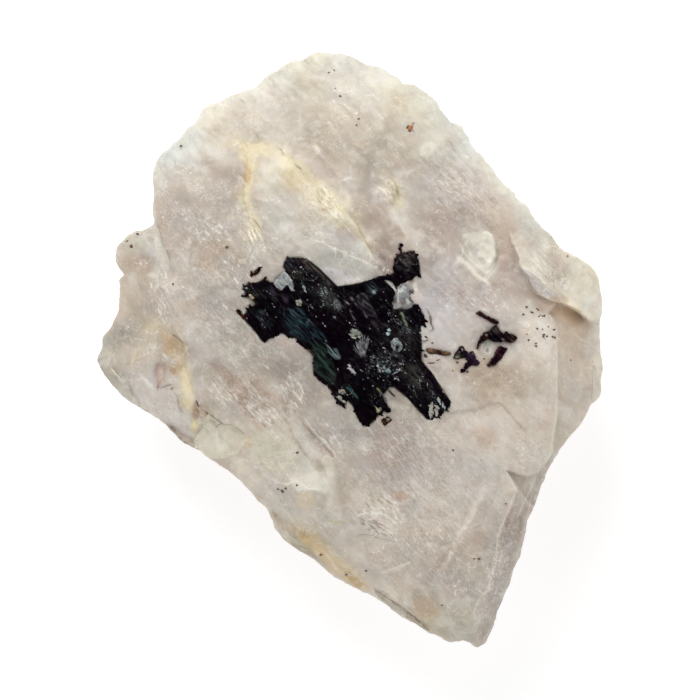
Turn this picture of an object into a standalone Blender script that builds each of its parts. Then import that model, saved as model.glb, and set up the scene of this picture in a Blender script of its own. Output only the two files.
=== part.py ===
# Rose quartz with tourmaline: a hand specimen of massive rose quartz with a
# black tourmaline crystal group and loose splinters set in its upper face.
#
# Plan coordinates (u, v) are the view from straight above, u to the right and
# v downward, in steps of 0.14 mm at the height of the rim.  The view point is
# 500 mm above that height, so a higher point lies a little nearer the middle
# for the same (u, v).  Heights are in millimetres above the resting spot.
import bpy
import bmesh
import math
import numpy as np
from mathutils import Vector
from mathutils.geometry import delaunay_2d_cdt

# ---------------------------------------------------------------- dimensions
STEP = 0.14            # mm per plan unit at rim height
VIEW_HEIGHT = 500.0    # mm from the rim height up to the view point
RIM_HEIGHT = 21.0      # mm, typical height of the rim
PLAN_MIDDLE = (350.0, 350.0)
SHIFT_X = 0.196        # mm, centres the bounding box on the origin
SHIFT_Y = 0.044
DOME_HEIGHT = 36.8     # mm, top of the dome over the resting spot
TOP_SPACING = 12.0     # plan units between points of the upper face
SEAT_GAP = 0.32        # mm between a crystal and its seat in the quartz
BASE_SCALE = 0.42      # size of the resting spot against the outline
AXIS = (350.0, 342.0)  # plan point that the underside draws in towards

# Outline of the whole stone, clockwise from the top.
OUTLINE = [
    (320, 52.3), (335.3, 53.6), (345.3, 54.4), (352.7, 57), (364.7, 64),
    (378, 67), (391.3, 74.3), (398, 77.7), (402, 84.7), (412, 84.3),
    (421.3, 89.6), (431.3, 98), (436, 101.6), (440.7, 111.3), (447.3, 120),
    (455.3, 124.3), (463.3, 131.3), (470.7, 143.3), (477.3, 152.3),
    (485.3, 160.7), (494.7, 172.7), (505.3, 185.3), (514, 195.3),
    (520.7, 203.7), (529.3, 212), (538, 223.3), (550, 234.7), (558, 246),
    (566.7, 254), (576, 256), (586.7, 263.3), (596, 272.7), (600, 287),
    (602.4, 301.3), (600.7, 317.3), (600, 336), (600.7, 354.7), (603, 368),
    (600.4, 382), (600.4, 393.3), (595.3, 402), (588.7, 408.7),
    (581.3, 423.3), (570.7, 436), (560, 448.7), (553.3, 459.7),
    (546.7, 473), (541.3, 486.7), (537.3, 498), (532, 512), (526, 525.3),
    (523.3, 540), (521.3, 552.7), (516, 564.7), (510.7, 579.3),
    (505.3, 592), (500, 605.3), (496, 615.3), (493.3, 628.7),
    (487.3, 638.7), (478, 647.7), (471.3, 644), (463, 640.3),
    (450, 642.7), (440, 637.3), (430, 633.7), (420, 626.5), (410, 621.2),
    (400, 615.7), (390.5, 608.5), (379.3, 600.4), (370, 594.4),
    (359.3, 589.3), (343.3, 581.7), (331.3, 575.3), (323.3, 568),
    (310, 556), (297.3, 550), (284.7, 540.7), (276.5, 530.2),
    (269.3, 513), (261.7, 503.7), (254.3, 495.7), (244, 484.7),
    (234.7, 475.6), (219.3, 465), (204.7, 455.3), (195.3, 448.7),
    (185.3, 444), (173.3, 432), (160, 420), (148, 412), (130, 402),
    (121.3, 395.3), (109.3, 381.3), (101.3, 369.3), (97.3, 358.7),
    (102, 348.7), (102.3, 338), (109.3, 330), (114.7, 320), (118.9, 310),
    (119.7, 300), (119, 290), (120, 282.7), (124.1, 274.5), (118.7, 267.7),
    (116, 257.3), (118, 245.7), (127.3, 235.7), (136.7, 230.1),
    (146.7, 228.5), (153.3, 224.3), (155, 220), (152.3, 212), (153.7, 197.3),
    (153.3, 187.3), (153.2, 173.3), (156.7, 162), (162, 154), (170, 147),
    (180, 138.7), (188, 128), (196, 121.6), (202.7, 112), (212.7, 104.4),
    (223.3, 99.6), (236.7, 94), (250, 89.1), (258.2, 84.7), (268.7, 74.7),
    (281.5, 67.7), (294, 61), (304.7, 58.7),
]

# Broken faces of the upper side: two plan points on the face's lower edge
# (clockwise), the heights there, and the rise inward in mm per mm.
UPPER_FACES = [
    ((150, 205), (300, 60), 23.0, 24.0, 0.62),
    ((150, 205), (300, 60), 26.2, 27.0, 0.21),
    ((300, 57), (402, 82), 22.5, 23.2, 0.72),
    ((300, 57), (402, 82), 26.2, 26.8, 0.22),
    ((415, 88), (600, 285), 22.6, 23.6, 0.80),
    ((415, 88), (600, 285), 26.0, 27.0, 0.19),
    ((602, 290), (600, 400), 20.0, 21.0, 0.85),
    ((602, 290), (600, 400), 25.6, 26.2, 0.22),
    ((600, 396), (541, 487), 20.4, 25.4, 1.10),
    ((537, 498), (502, 599), 26.6, 21.6, 1.70),
    ((470, 645), (266, 506), 21.5, 20.5, 1.35),
    ((470, 645), (266, 506), 24.2, 23.4, 0.26),
    ((262, 504), (100, 375), 19.0, 15.5, 1.15),
    ((262, 504), (100, 375), 22.4, 19.6, 0.33),
    ((98, 365), (120, 300), 16.0, 18.0, 0.80),
    ((118, 300), (117, 240), 18.4, 18.8, 0.80),
    ((117, 262), (153, 222), 20.0, 20.4, 0.50),
]
# The long lower face falls away from the crystal group towards the tip.
LOWER_FACE = (425.0, 34.2, 0.225)     # plan v, height there, fall per mm

# Region left of the crease that lies lower than the dome.
LEFT_LEDGE = [(155, 225), (163, 241), (170, 262), (172, 272), (163, 288),
              (167, 303), (173, 325), (182, 345), (190, 370), (197, 400),
              (150, 440), (60, 400), (60, 240), (130, 205)]
LEDGE_DROP = 3.2
# Region right of the raised plate.
RIGHT_STEP = [(551, 315), (557, 325), (557, 355), (557.3, 393), (558, 408),
              (554, 427), (552, 447), (545, 462), (537, 471), (526, 476),
              (515, 474), (508, 473), (519, 491), (560, 540), (660, 470),
              (660, 330), (588, 321), (573, 309), (561, 303)]
STEP_DROP = 2.2

# Underside: scale of each ring against the outline and its share of the rim
# height, from the rim down to the resting spot.
UNDER_RINGS = [(0.997, 0.88), (0.990, 0.76), (0.978, 0.64), (0.960, 0.52),
               (0.932, 0.40), (0.886, 0.28), (0.812, 0.17), (0.70, 0.08),
               (0.56, 0.025), (BASE_SCALE, 0.0)]
# Flat breaks of the sides and the underside: direction seen from above
# (degrees from +X), how far the face looks down (degrees), depth of the cut.
SIDE_FACES = [
    (40, 14, 1.9), (4, 30, 2.2), (-24, 8, 1.6), (-48, 34, 2.6),
    (-84, 44, 2.4), (-122, 18, 2.2), (-150, 44, 2.6), (176, 26, 1.9),
    (146, 12, 1.7), (112, 38, 2.6), (84, 12, 1.6), (60, 46, 2.6),
    (20, 60, 2.0), (-100, 64, 1.6), (160, 60, 1.9), (-170, 10, 1.3),
]

# Crystals, each as its plan outline, height over the quartz face and depth
# into it, both in mm.
TOURMALINE_MAIN = [
    (283, 267), (287, 257.5), (297, 260), (303, 257.5), (311, 261),
    (322, 271), (332, 281.5), (338.5, 286.5), (350, 285), (362, 282.5),
    (376, 278), (385, 276), (393, 274.5), (394, 262), (400, 251.5),
    (399.5, 243.5), (403, 250), (412, 250.5), (417, 257), (421, 277),
    (412.5, 280), (401, 285.5), (397, 289), (396.5, 294), (393.5, 302),
    (394.5, 309.5), (408, 309.5), (415.5, 304.5), (420.5, 309.5),
    (425.5, 321), (419.5, 328), (421.5, 343), (421, 358.5), (430, 370.5),
    (439, 384), (450, 401), (445, 410.5), (432.4, 420), (426, 418.5),
    (413.4, 404.6), (401, 392.5), (391, 388), (384.5, 394.5), (386.5, 404),
    (390, 411), (384, 413), (374, 422.5), (366.4, 426), (358, 419),
    (354, 408), (347.5, 402.5), (341.5, 406.5), (336, 398), (328.5, 386.5),
    (318, 379), (313.5, 370), (313, 356), (303.5, 347.5), (294.5, 338.5),
    (282, 334.5), (270, 337.5), (264.5, 342), (255, 331), (243, 318.5),
    (237, 310.5), (247.5, 312.5), (252.5, 303.5), (244.5, 294.5),
    (245, 286.5), (256, 283), (264.5, 278.8), (268, 282), (272.5, 285),
    (275, 290), (281.5, 293), (287.5, 288.5), (295, 294.5), (295.5, 286),
    (291.5, 276), (286, 270.5),
]
QUARTZ_CHIP = [(275.6, 285), (276.6, 287.8), (281, 290), (286, 285.8),
               (290.2, 287.6), (290.6, 284.5), (287.5, 278), (283.5, 273.8),
               (279, 277), (275.8, 280.5)]
SPLINTERS = {
    "tourmaline_needle": ([(475.6, 313.6), (478, 311.4), (488, 316.6),
                           (498.4, 321.2), (498, 323.8), (494, 325),
                           (486, 320.4)], 0.5, 1.2),
    "tourmaline_sheaf": ([(495, 325.5), (499, 330.5), (507, 331), (510, 334),
                          (517.3, 338), (513, 341.8), (507, 343.6),
                          (500.5, 342), (495.5, 343.6), (491, 347.5),
                          (488, 345), (488.6, 338.6), (482.5, 343),
                          (477, 348), (479, 341), (483, 335.5),
                          (489.5, 331)], 0.7, 1.8),
    "tourmaline_rod": ([(499.5, 346.6), (508.7, 348.7), (504, 355),
                        (498.7, 361.3), (489.5, 366.7), (487, 364.4),
                        (492.5, 357), (496, 350)], 0.6, 1.6),
    "tourmaline_left_splinters": ([(454.4, 358.4), (457, 351.8), (460, 346),
                                   (463.5, 347), (466, 351.4),
                                   (473.5, 352), (476.6, 358.6),
                                   (480, 362.7), (475.5, 365.8),
                                   (468.5, 366.6), (462.5, 373),
                                   (460, 371), (465, 363), (460.5, 359)],
                                  0.5, 1.3),
    "tourmaline_brown_needle": ([(427, 348), (438.5, 349.8), (450, 352.2),
                                 (451, 355.6), (440, 355), (427.5, 352.4)],
                                0.4, 1.0),
    "tourmaline_left_flake": ([(249.8, 269.6), (254.5, 267), (260.6, 267.6),
                               (260.2, 272.4), (254.6, 275.8),
                               (250.4, 274)], 0.4, 1.0),
    "tourmaline_lower_chip": ([(381.6, 419.6), (385.4, 418.2), (390.2, 418),
                               (389.2, 422.6), (384.2, 425.6),
                               (381.8, 423.6)], 0.35, 1.0),
}


# ------------------------------------------------------------------- helpers
def clear_scene():
    for ob in list(bpy.data.objects):
        bpy.data.objects.remove(ob, do_unlink=True)


def material(name, colour, roughness, metallic=0.0, transmission=0.0):
    mat = bpy.data.materials.new(name)
    mat.use_nodes = True
    shader = mat.node_tree.nodes["Principled BSDF"]
    shader.inputs["Base Color"].default_value = (*colour, 1.0)
    shader.inputs["Roughness"].default_value = roughness
    shader.inputs["Metallic"].default_value = metallic
    shader.inputs["Transmission Weight"].default_value = transmission
    mat.diffuse_color = (*colour, 1.0)
    return mat


def place(u, v, z):
    """Plan coordinates and height to metres."""
    k = STEP * (RIM_HEIGHT + VIEW_HEIGHT - z) / VIEW_HEIGHT
    return np.stack([(SHIFT_X + (u - PLAN_MIDDLE[0]) * k) * 0.001,
                     (SHIFT_Y - (v - PLAN_MIDDLE[1]) * k) * 0.001,
                     z * 0.001], axis=-1)


def lattice(ix, iy, seed):
    h = (ix.astype(np.int64) * 374761393 + iy.astype(np.int64) * 668265263
         + seed * 982451653) & 0xFFFFFFFF
    h = ((h ^ (h >> 13)) * 1274126177) & 0xFFFFFFFF
    h = (h ^ (h >> 16)) & 0xFFFFFFFF
    return h.astype(np.float64) / 4294967295.0 * 2.0 - 1.0


def ripple(x, y, seed):
    """Smooth random relief between -1 and 1 with a wavelength of about 1."""
    ix, iy = np.floor(x), np.floor(y)
    fx, fy = x - ix, y - iy
    sx = fx * fx * fx * (fx * (fx * 6 - 15) + 10)
    sy = fy * fy * fy * (fy * (fy * 6 - 15) + 10)
    a, b = lattice(ix, iy, seed), lattice(ix + 1, iy, seed)
    c, d = lattice(ix, iy + 1, seed), lattice(ix + 1, iy + 1, seed)
    return (a + (b - a) * sx) * (1 - sy) + (c + (d - c) * sx) * sy


def soft_min(a, b, k):
    h = np.clip(0.5 + 0.5 * (b - a) / k, 0.0, 1.0)
    return b * (1 - h) + a * h - k * h * (1 - h)


def signed_distance(u, v, polygon):
    """Distance to a polygon's edge, positive inside, in plan units."""
    pts = np.array(polygon, dtype=float)
    best = np.full(u.shape, 1e9)
    inside = np.zeros(u.shape, dtype=bool)
    for (x0, y0), (x1, y1) in zip(pts, np.roll(pts, -1, axis=0)):
        dx, dy = x1 - x0, y1 - y0
        t = np.clip(((u - x0) * dx + (v - y0) * dy) / (dx * dx + dy * dy),
                    0, 1)
        best = np.minimum(best, np.hypot(u - x0 - t * dx, v - y0 - t * dy))
        if y0 != y1:
            cross = (y0 > v) != (y1 > v)
            inside ^= cross & (u < (x1 - x0) * (v - y0) / (y1 - y0) + x0)
    return np.where(inside, best, -best)


def ease(t):
    t = np.clip(t, 0.0, 1.0)
    return t * t * (3 - 2 * t)


def upper_height(u, v):
    """Height of the upper face over the plan, in mm."""
    r2 = ((u - 365) ** 2 + (v - 300) ** 2) * STEP * STEP
    z = DOME_HEIGHT - 0.0035 * r2
    fall = (v - LOWER_FACE[0]) * STEP
    z = soft_min(z, LOWER_FACE[1] - LOWER_FACE[2] * fall, 1.5)
    for (u0, v0), (u1, v1), z0, z1, rise in UPPER_FACES:
        du, dv = u1 - u0, v1 - v0
        length = math.hypot(du, dv)
        along = np.clip(((u - u0) * du + (v - v0) * dv) / length ** 2,
                        -0.6, 1.6)
        inward = (-(u - u0) * dv + (v - v0) * du) / length * STEP
        z = soft_min(z, z0 + (z1 - z0) * along + rise * inward, 0.8)
    z = z - LEDGE_DROP * ease(signed_distance(u, v, LEFT_LEDGE) / 7 + 0.4) \
        * ease((400 - v) / 60)
    z = z - STEP_DROP * ease(signed_distance(u, v, RIGHT_STEP) / 6 + 0.5)
    z = z + 0.75 * ripple(u / 85, v / 85, 3) + 0.32 * ripple(u / 34, v / 34, 5)
    return z


def new_object(name, verts, faces, mat):
    mesh = bpy.data.meshes.new(name)
    mesh.from_pydata([tuple(p) for p in verts], [], faces)
    bm = bmesh.new()
    bm.from_mesh(mesh)
    bmesh.ops.triangulate(bm, faces=[f for f in bm.faces if len(f.verts) > 3])
    bmesh.ops.recalc_face_normals(bm, faces=bm.faces)
    bm.to_mesh(mesh)
    bm.free()
    mesh.materials.append(mat)
    mesh.shade_smooth()
    mesh.set_sharp_from_angle(angle=math.radians(28))
    ob = bpy.data.objects.new(name, mesh)
    bpy.context.scene.collection.objects.link(ob)
    return ob


def fill_plan(outline, spacing, margin):
    """Points and triangles filling a plan outline; the outline's points come
    first, in order."""
    ring = np.array(outline, dtype=float)
    lo, hi = ring.min(0), ring.max(0)
    rows = np.arange(lo[1] + spacing * 0.5, hi[1], spacing * 0.866)
    grid = []
    for i, row in enumerate(rows):
        cols = np.arange(lo[0] + (spacing * 0.5 if i % 2 else 0.0), hi[0],
                         spacing)
        grid += [(c, row) for c in cols]
    inner = np.zeros((0, 2))
    if grid:
        grid = np.array(grid)
        grid = grid + 0.16 * spacing * np.stack(
            [ripple(grid[:, 0] / 3.1, grid[:, 1] / 3.1, 11),
             ripple(grid[:, 0] / 3.1, grid[:, 1] / 3.1, 12)], axis=-1)
        inner = grid[signed_distance(grid[:, 0], grid[:, 1], ring) > margin]
    pts = np.vstack([ring, inner])
    n = len(ring)
    out = delaunay_2d_cdt([Vector(p) for p in pts],
                          [(i, (i + 1) % n) for i in range(n)],
                          [list(range(n))], 1, 1e-6)
    faces = [tuple(f) for f in out[2]]
    return np.array([tuple(p) for p in out[0]]), faces


def grow(outline, amount):
    """Plan outline moved outward by amount, with its corners kept blunt."""
    pts = np.array(outline, dtype=float)
    nxt, prv = np.roll(pts, -1, axis=0), np.roll(pts, 1, axis=0)
    area = 0.5 * np.sum(pts[:, 0] * nxt[:, 1] - nxt[:, 0] * pts[:, 1])
    side = 1.0 if area > 0 else -1.0
    out = []
    for p, a, b in zip(pts, prv, nxt):
        d0, d1 = p - a, b - p
        n0 = side * np.array([d0[1], -d0[0]]) / np.hypot(*d0)
        n1 = side * np.array([d1[1], -d1[0]]) / np.hypot(*d1)
        dot = float(np.dot(n0, n1))
        turn = d0[0] * d1[1] - d0[1] * d1[0]
        if side * turn > 0 and dot < 0.35:
            out += [p + n0 * amount + 0.35 * amount * d0 / np.hypot(*d0),
                    p + n1 * amount - 0.35 * amount * d1 / np.hypot(*d1)]
        else:
            m = n0 + n1
            out.append(p + m * amount / max(float(np.dot(m, m)) / 2.0, 0.45))
    return [tuple(q) for q in out]


def slab(name, outline, top_of, floor, mat, spacing, margin):
    """Closed block over a plan outline: a shaped top and a level floor."""
    plan, faces = fill_plan(outline, spacing, margin)
    n = len(outline)
    top = place(plan[:, 0], plan[:, 1], top_of(plan[:, 0], plan[:, 1]))
    low = place(plan[:n, 0], plan[:n, 1], np.full(n, floor))
    verts = np.vstack([top, low])
    base = len(top)
    faces = list(faces)
    for i in range(n):
        j = (i + 1) % n
        faces.append((i, j, base + j, base + i))
    faces.append(tuple(base + i for i in range(n)))
    return new_object(name, verts, faces, mat)


def cut(target, cutter, name):
    mod = target.modifiers.new(name, "BOOLEAN")
    mod.operation = "DIFFERENCE"
    mod.solver = "EXACT"
    mod.object = cutter
    cutter.hide_render = True
    cutter.display_type = "WIRE"


# -------------------------------------------------------------------- pieces
def build_quartz(mat):
    plan, faces = fill_plan(OUTLINE, TOP_SPACING, TOP_SPACING * 0.55)
    n = len(OUTLINE)
    height = upper_height(plan[:, 0], plan[:, 1])
    top = place(plan[:, 0], plan[:, 1], height)
    rim = top[:n]
    middle = place(np.array([AXIS[0]]), np.array([AXIS[1]]),
                   np.array([RIM_HEIGHT]))[0]
    smooth = rim[:, :2].copy()
    for _ in range(14):
        smooth = 0.25 * np.roll(smooth, 1, 0) + 0.5 * smooth \
            + 0.25 * np.roll(smooth, -1, 0)
    rings = []
    for j, (scale, share) in enumerate(UNDER_RINGS):
        w = ease(np.full(n, (j + 0.5) / 5.0))[:, None]
        xy = rim[:, :2] * (1 - w) + smooth * w
        arc = np.arctan2(xy[:, 1] - middle[1], xy[:, 0] - middle[0])
        wob = 0.018 * np.sin(3 * arc + j * 0.6) + 0.012 * np.sin(
            7 * arc - j * 0.9)
        f = scale + wob * (1 - scale) * 2.2
        p = np.empty((n, 3))
        p[:, :2] = middle[:2] + (xy - middle[:2]) * f[:, None]
        p[:, 2] = rim[:, 2] * share
        rings.append(p)
    under = np.vstack(rings)
    rim_z = np.tile(rim[:, 2], len(rings))
    centre = np.array([middle[0], middle[1], 0.012])
    for turn, dip, depth in SIDE_FACES:
        a, b = math.radians(turn), math.radians(dip)
        normal = np.array([math.cos(a) * math.cos(b),
                           math.sin(a) * math.cos(b), -math.sin(b)])
        reach = (under - centre) @ normal
        over = np.maximum(reach - (reach.max() - depth * 0.001), 0.0)
        radial = under[:, :2] - middle[:2]
        radial /= np.linalg.norm(radial, axis=1)[:, None]
        lean = np.maximum(radial @ normal[:2], 0.35)
        keep = ease((rim_z - under[:, 2]) / 0.007)
        under[:, :2] -= radial * (over / lean * keep)[:, None]
    verts = np.vstack([top, under])
    faces = list(faces)
    start = len(top)
    upper = list(range(n))
    for j in range(len(rings)):
        lower = [start + j * n + i for i in range(n)]
        for i in range(n):
            k = (i + 1) % n
            faces.append((upper[i], lower[i], lower[k], upper[k]))
        upper = lower
    faces.append(tuple(upper))
    return new_object("rose_quartz", verts, faces, mat)


def seat(quartz, name, outline, floor, mat):
    wide = grow(outline, SEAT_GAP / STEP)
    cutter = slab(name + "_seat", wide,
                  lambda u, v: np.full(u.shape, DOME_HEIGHT + 6.0),
                  floor - SEAT_GAP, mat, 1e6, 1e6)
    cut(quartz, cutter, name + "_seat")


def build():
    clear_scene()
    quartz_mat = material("rose_quartz", (0.64, 0.55, 0.49), 0.42)
    chip_mat = material("grey_quartz", (0.60, 0.60, 0.60), 0.30)
    black_mat = material("tourmaline", (0.016, 0.017, 0.020), 0.30)
    brown_mat = material("tourmaline_brown", (0.075, 0.022, 0.016), 0.34)

    quartz = build_quartz(quartz_mat)

    # The main group: crystals grown into one another, one solid.
    pts = np.array(TOURMALINE_MAIN, dtype=float)
    floor = float(upper_height(pts[:, 0], pts[:, 1]).min()) - 2.6

    def group_top(u, v):
        return upper_height(u, v) + 0.45 + 0.30 * ripple(u / 16, v / 16, 21)

    group = slab("tourmaline_group", TOURMALINE_MAIN, group_top, floor,
                 black_mat, 11.0, 4.5)
    seat(quartz, "tourmaline_group", TOURMALINE_MAIN, floor, quartz_mat)

    # A grey quartz chip in the notch of the main group.
    chip = np.array(QUARTZ_CHIP, dtype=float)
    chip_floor = float(upper_height(chip[:, 0], chip[:, 1]).min()) - 1.0
    slab("quartz_chip", QUARTZ_CHIP,
         lambda u, v: upper_height(u, v) + 0.9, chip_floor, chip_mat,
         6.0, 2.5)
    seat(quartz, "quartz_chip", QUARTZ_CHIP, chip_floor, quartz_mat)

    for name, (outline, proud, depth) in SPLINTERS.items():
        pts = np.array(outline, dtype=float)
        low = float(upper_height(pts[:, 0], pts[:, 1]).min()) - depth
        slab(name, outline,
             lambda u, v, p=proud: upper_height(u, v) + p, low,
             brown_mat, 5.0, 2.0)
        seat(quartz, name, outline, low, quartz_mat)


build()
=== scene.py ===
import bpy
import bmesh
import math
import numpy as np
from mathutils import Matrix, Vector
from mathutils.geometry import delaunay_2d_cdt
from mathutils.kdtree import KDTree


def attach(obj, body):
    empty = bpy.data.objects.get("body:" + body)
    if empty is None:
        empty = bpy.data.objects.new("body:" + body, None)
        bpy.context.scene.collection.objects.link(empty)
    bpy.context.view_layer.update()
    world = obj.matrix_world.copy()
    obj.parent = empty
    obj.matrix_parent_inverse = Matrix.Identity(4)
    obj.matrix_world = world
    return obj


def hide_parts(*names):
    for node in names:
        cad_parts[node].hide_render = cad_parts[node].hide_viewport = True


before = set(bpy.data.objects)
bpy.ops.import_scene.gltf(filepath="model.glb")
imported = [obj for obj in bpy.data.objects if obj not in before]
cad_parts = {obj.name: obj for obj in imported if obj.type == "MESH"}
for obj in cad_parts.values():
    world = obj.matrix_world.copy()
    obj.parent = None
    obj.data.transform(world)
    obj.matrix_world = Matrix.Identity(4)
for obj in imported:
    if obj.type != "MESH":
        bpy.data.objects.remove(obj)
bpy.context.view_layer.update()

# Plan coordinates (u, v): the stone seen from straight above, u to the right
# and v downward, in steps of 0.14 mm at rim height, from a view point 500 mm
# above that height.  Heights are in millimetres over the resting spot.
STEP = 0.14
VIEW_HEIGHT = 500.0
RIM_HEIGHT = 21.0
PLAN_MIDDLE = (350.0, 350.0)
SHIFT_X = 0.196
SHIFT_Y = 0.044
DOME_HEIGHT = 36.8
BASE_SCALE = 0.42
AXIS = (350.0, 342.0)

TOP_SPACING = 2.0      # plan units between points of the upper face
RIM_SPACING = 1.9
GROUP_SPACING = 0.75

OUTLINE = [
    (320, 52.3), (327.3, 52.7), (335.3, 53.6), (345.3, 54.4), (352.7, 57),
    (360, 61), (364.7, 64), (370, 65.3), (378, 67), (384.7, 70),
    (391.3, 74.3), (398, 77.7), (400.4, 80.7), (402, 84.7), (405.3, 84.4),
    (412, 84.3), (416, 85.7), (421.3, 89.6), (426.7, 93.3), (431.3, 98),
    (436, 101.6), (438, 106.7), (440.7, 111.3), (444.7, 115.3),
    (447.3, 120), (451.3, 123.3), (455.3, 124.3), (460, 127),
    (463.3, 131.3), (466.7, 136.7), (470.7, 143.3), (474.7, 149.3),
    (477.3, 152.3), (482, 156), (485.3, 160.7), (490.7, 166.7),
    (494.7, 172.7), (500, 179.7), (505.3, 185.3), (510, 190), (514, 195.3),
    (518.7, 200.7), (520.7, 203.7), (524.7, 206.7), (529.3, 212),
    (533.3, 218), (538, 223.3), (542.7, 228.7), (550, 234.7), (554, 239.3),
    (558, 246), (562, 250.7), (566.7, 254), (571.3, 255.7), (576, 256),
    (581.3, 259), (586.7, 263.3), (592, 267.3), (596, 272.7),
    (598.7, 278.7), (600, 287), (601.3, 296), (602.4, 301.3), (602, 308),
    (600.7, 317.3), (600, 326.7), (600, 336), (600.4, 346.7),
    (600.7, 354.7), (602, 361.3), (603, 368), (602, 374.7), (600.4, 382),
    (601.6, 387.3), (600.4, 393.3), (598.7, 398), (595.3, 402),
    (590.7, 404.7), (588.7, 408.7), (586, 414.7), (581.3, 423.3),
    (576, 429.3), (570.7, 436), (565.3, 442.7), (560, 448.7),
    (557.3, 454.7), (553.3, 459.7), (550.3, 466), (546.7, 473), (544, 480),
    (541.3, 486.7), (539.3, 491.3), (537.3, 498), (534.7, 504.7),
    (532, 512), (528, 518), (526, 525.3), (526, 532), (523.3, 540),
    (521.3, 548.7), (521.3, 552.7), (519.3, 558.7), (516, 564.7),
    (513.3, 570.7), (510.7, 579.3), (509.3, 584.7), (505.3, 592),
    (502.7, 598.7), (500, 605.3), (498.7, 608.7), (496, 615.3),
    (494.4, 621.3), (493.3, 628.7), (490, 634), (487.3, 638.7),
    (485.3, 642.7), (480.7, 646), (478, 647.7), (475.3, 646.7),
    (471.3, 644), (467.3, 641.3), (463, 640.3), (459.3, 641.6),
    (454.7, 642), (450, 642.7), (445.3, 640.3), (440, 637.3),
    (435.3, 634.5), (430, 633.7), (424.9, 630.5), (420, 626.5),
    (415.3, 623.2), (410, 621.2), (405.3, 619), (400, 615.7),
    (395.5, 612.3), (390.5, 608.5), (384, 603), (379.3, 600.4),
    (374, 596.7), (370, 594.4), (364, 593), (359.3, 589.3), (350, 585),
    (343.3, 581.7), (338, 579), (331.3, 575.3), (327.3, 571.3),
    (323.3, 568), (320, 564), (316, 560), (310, 556), (304, 553.3),
    (297.3, 550), (291.3, 545.3), (284.7, 540.7), (280, 535.3),
    (276.5, 530.2), (272.7, 521), (269.3, 513), (266.3, 508),
    (261.7, 503.7), (257, 500.7), (254.3, 495.7), (250, 490.7),
    (244, 484.7), (239.3, 480), (234.7, 475.6), (227.3, 470.3),
    (219.3, 465), (211.3, 460), (204.7, 455.3), (200, 450.7),
    (195.3, 448.7), (190.7, 446.7), (185.3, 444), (180, 439.3),
    (173.3, 432), (166, 424.7), (160, 420), (154, 416.7), (148, 412),
    (139.3, 407.6), (130, 402), (121.3, 395.3), (114.7, 387.3),
    (109.3, 381.3), (104.7, 374.7), (101.3, 369.3), (98, 362.7),
    (97.3, 358.7), (98.7, 353.3), (102, 348.7), (103, 343.3), (102.3, 338),
    (106, 334.7), (109.3, 330), (112, 325), (114.7, 320), (116.3, 316),
    (118, 312.3), (118.9, 310), (119.2, 304), (119.7, 300), (119.3, 294),
    (119, 290), (119.7, 286), (120, 282.7), (119.3, 279.7), (120.7, 278),
    (122.7, 276.3), (124.1, 274.5), (122.7, 272.3), (120.7, 270.3),
    (118.7, 267.7), (116.9, 264.3), (116, 261.3), (116, 257.3), (116, 252),
    (116.5, 248.7), (118, 245.7), (120, 243), (123.3, 240), (127.3, 235.7),
    (130, 234), (134, 231.5), (136.7, 230.1), (139.3, 230.5),
    (141.7, 230.7), (144, 229.9), (146.7, 228.5), (149.3, 227),
    (151.7, 226), (153.3, 224.3), (154.5, 222), (155, 220), (153.3, 216),
    (152.3, 212), (153, 204), (153.7, 197.3), (154.3, 192), (153.3, 187.3),
    (153, 181.3), (153.2, 173.3), (154, 168.7), (156.7, 162), (158.7, 158),
    (162, 154), (166.7, 150), (170, 147), (175.3, 142.3), (180, 138.7),
    (183.3, 134), (185.7, 130.7), (188, 128), (192.7, 126), (196, 121.6),
    (200, 117.7), (200.7, 116), (202.7, 112), (204.7, 109.3), (208.7, 107),
    (212.7, 104.4), (216.7, 103), (220.7, 102), (223.3, 99.6),
    (227.3, 97.3), (231.3, 95.3), (236.7, 94), (240, 93), (244.7, 91),
    (250, 89.1), (254.7, 87.6), (258.2, 84.7), (263.3, 79.5),
    (268.7, 74.7), (272, 72.4), (277.5, 70.5), (281.5, 67.7),
    (285.5, 65.5), (289.5, 62.2), (294, 61), (300, 60.3), (304.7, 58.7),
    (309.3, 55.6), (315.3, 53),
]

UPPER_FACES = [
    ((150, 205), (300, 60), 23.0, 24.0, 0.62),
    ((150, 205), (300, 60), 26.2, 27.0, 0.21),
    ((300, 57), (402, 82), 22.5, 23.2, 0.72),
    ((300, 57), (402, 82), 26.2, 26.8, 0.22),
    ((415, 88), (600, 285), 22.6, 23.6, 0.80),
    ((415, 88), (600, 285), 26.0, 27.0, 0.19),
    ((602, 290), (600, 400), 20.0, 21.0, 0.85),
    ((602, 290), (600, 400), 25.6, 26.2, 0.22),
    ((600, 396), (541, 487), 20.4, 25.4, 1.10),
    ((537, 498), (502, 599), 26.6, 21.6, 1.70),
    ((470, 645), (266, 506), 21.5, 20.5, 1.35),
    ((470, 645), (266, 506), 24.2, 23.4, 0.26),
    ((262, 504), (100, 375), 19.0, 15.5, 1.15),
    ((262, 504), (100, 375), 22.4, 19.6, 0.33),
    ((98, 365), (120, 300), 16.0, 18.0, 0.80),
    ((118, 300), (117, 240), 18.4, 18.8, 0.80),
    ((117, 262), (153, 222), 20.0, 20.4, 0.50),
]
LOWER_FACE = (425.0, 34.2, 0.225)

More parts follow.
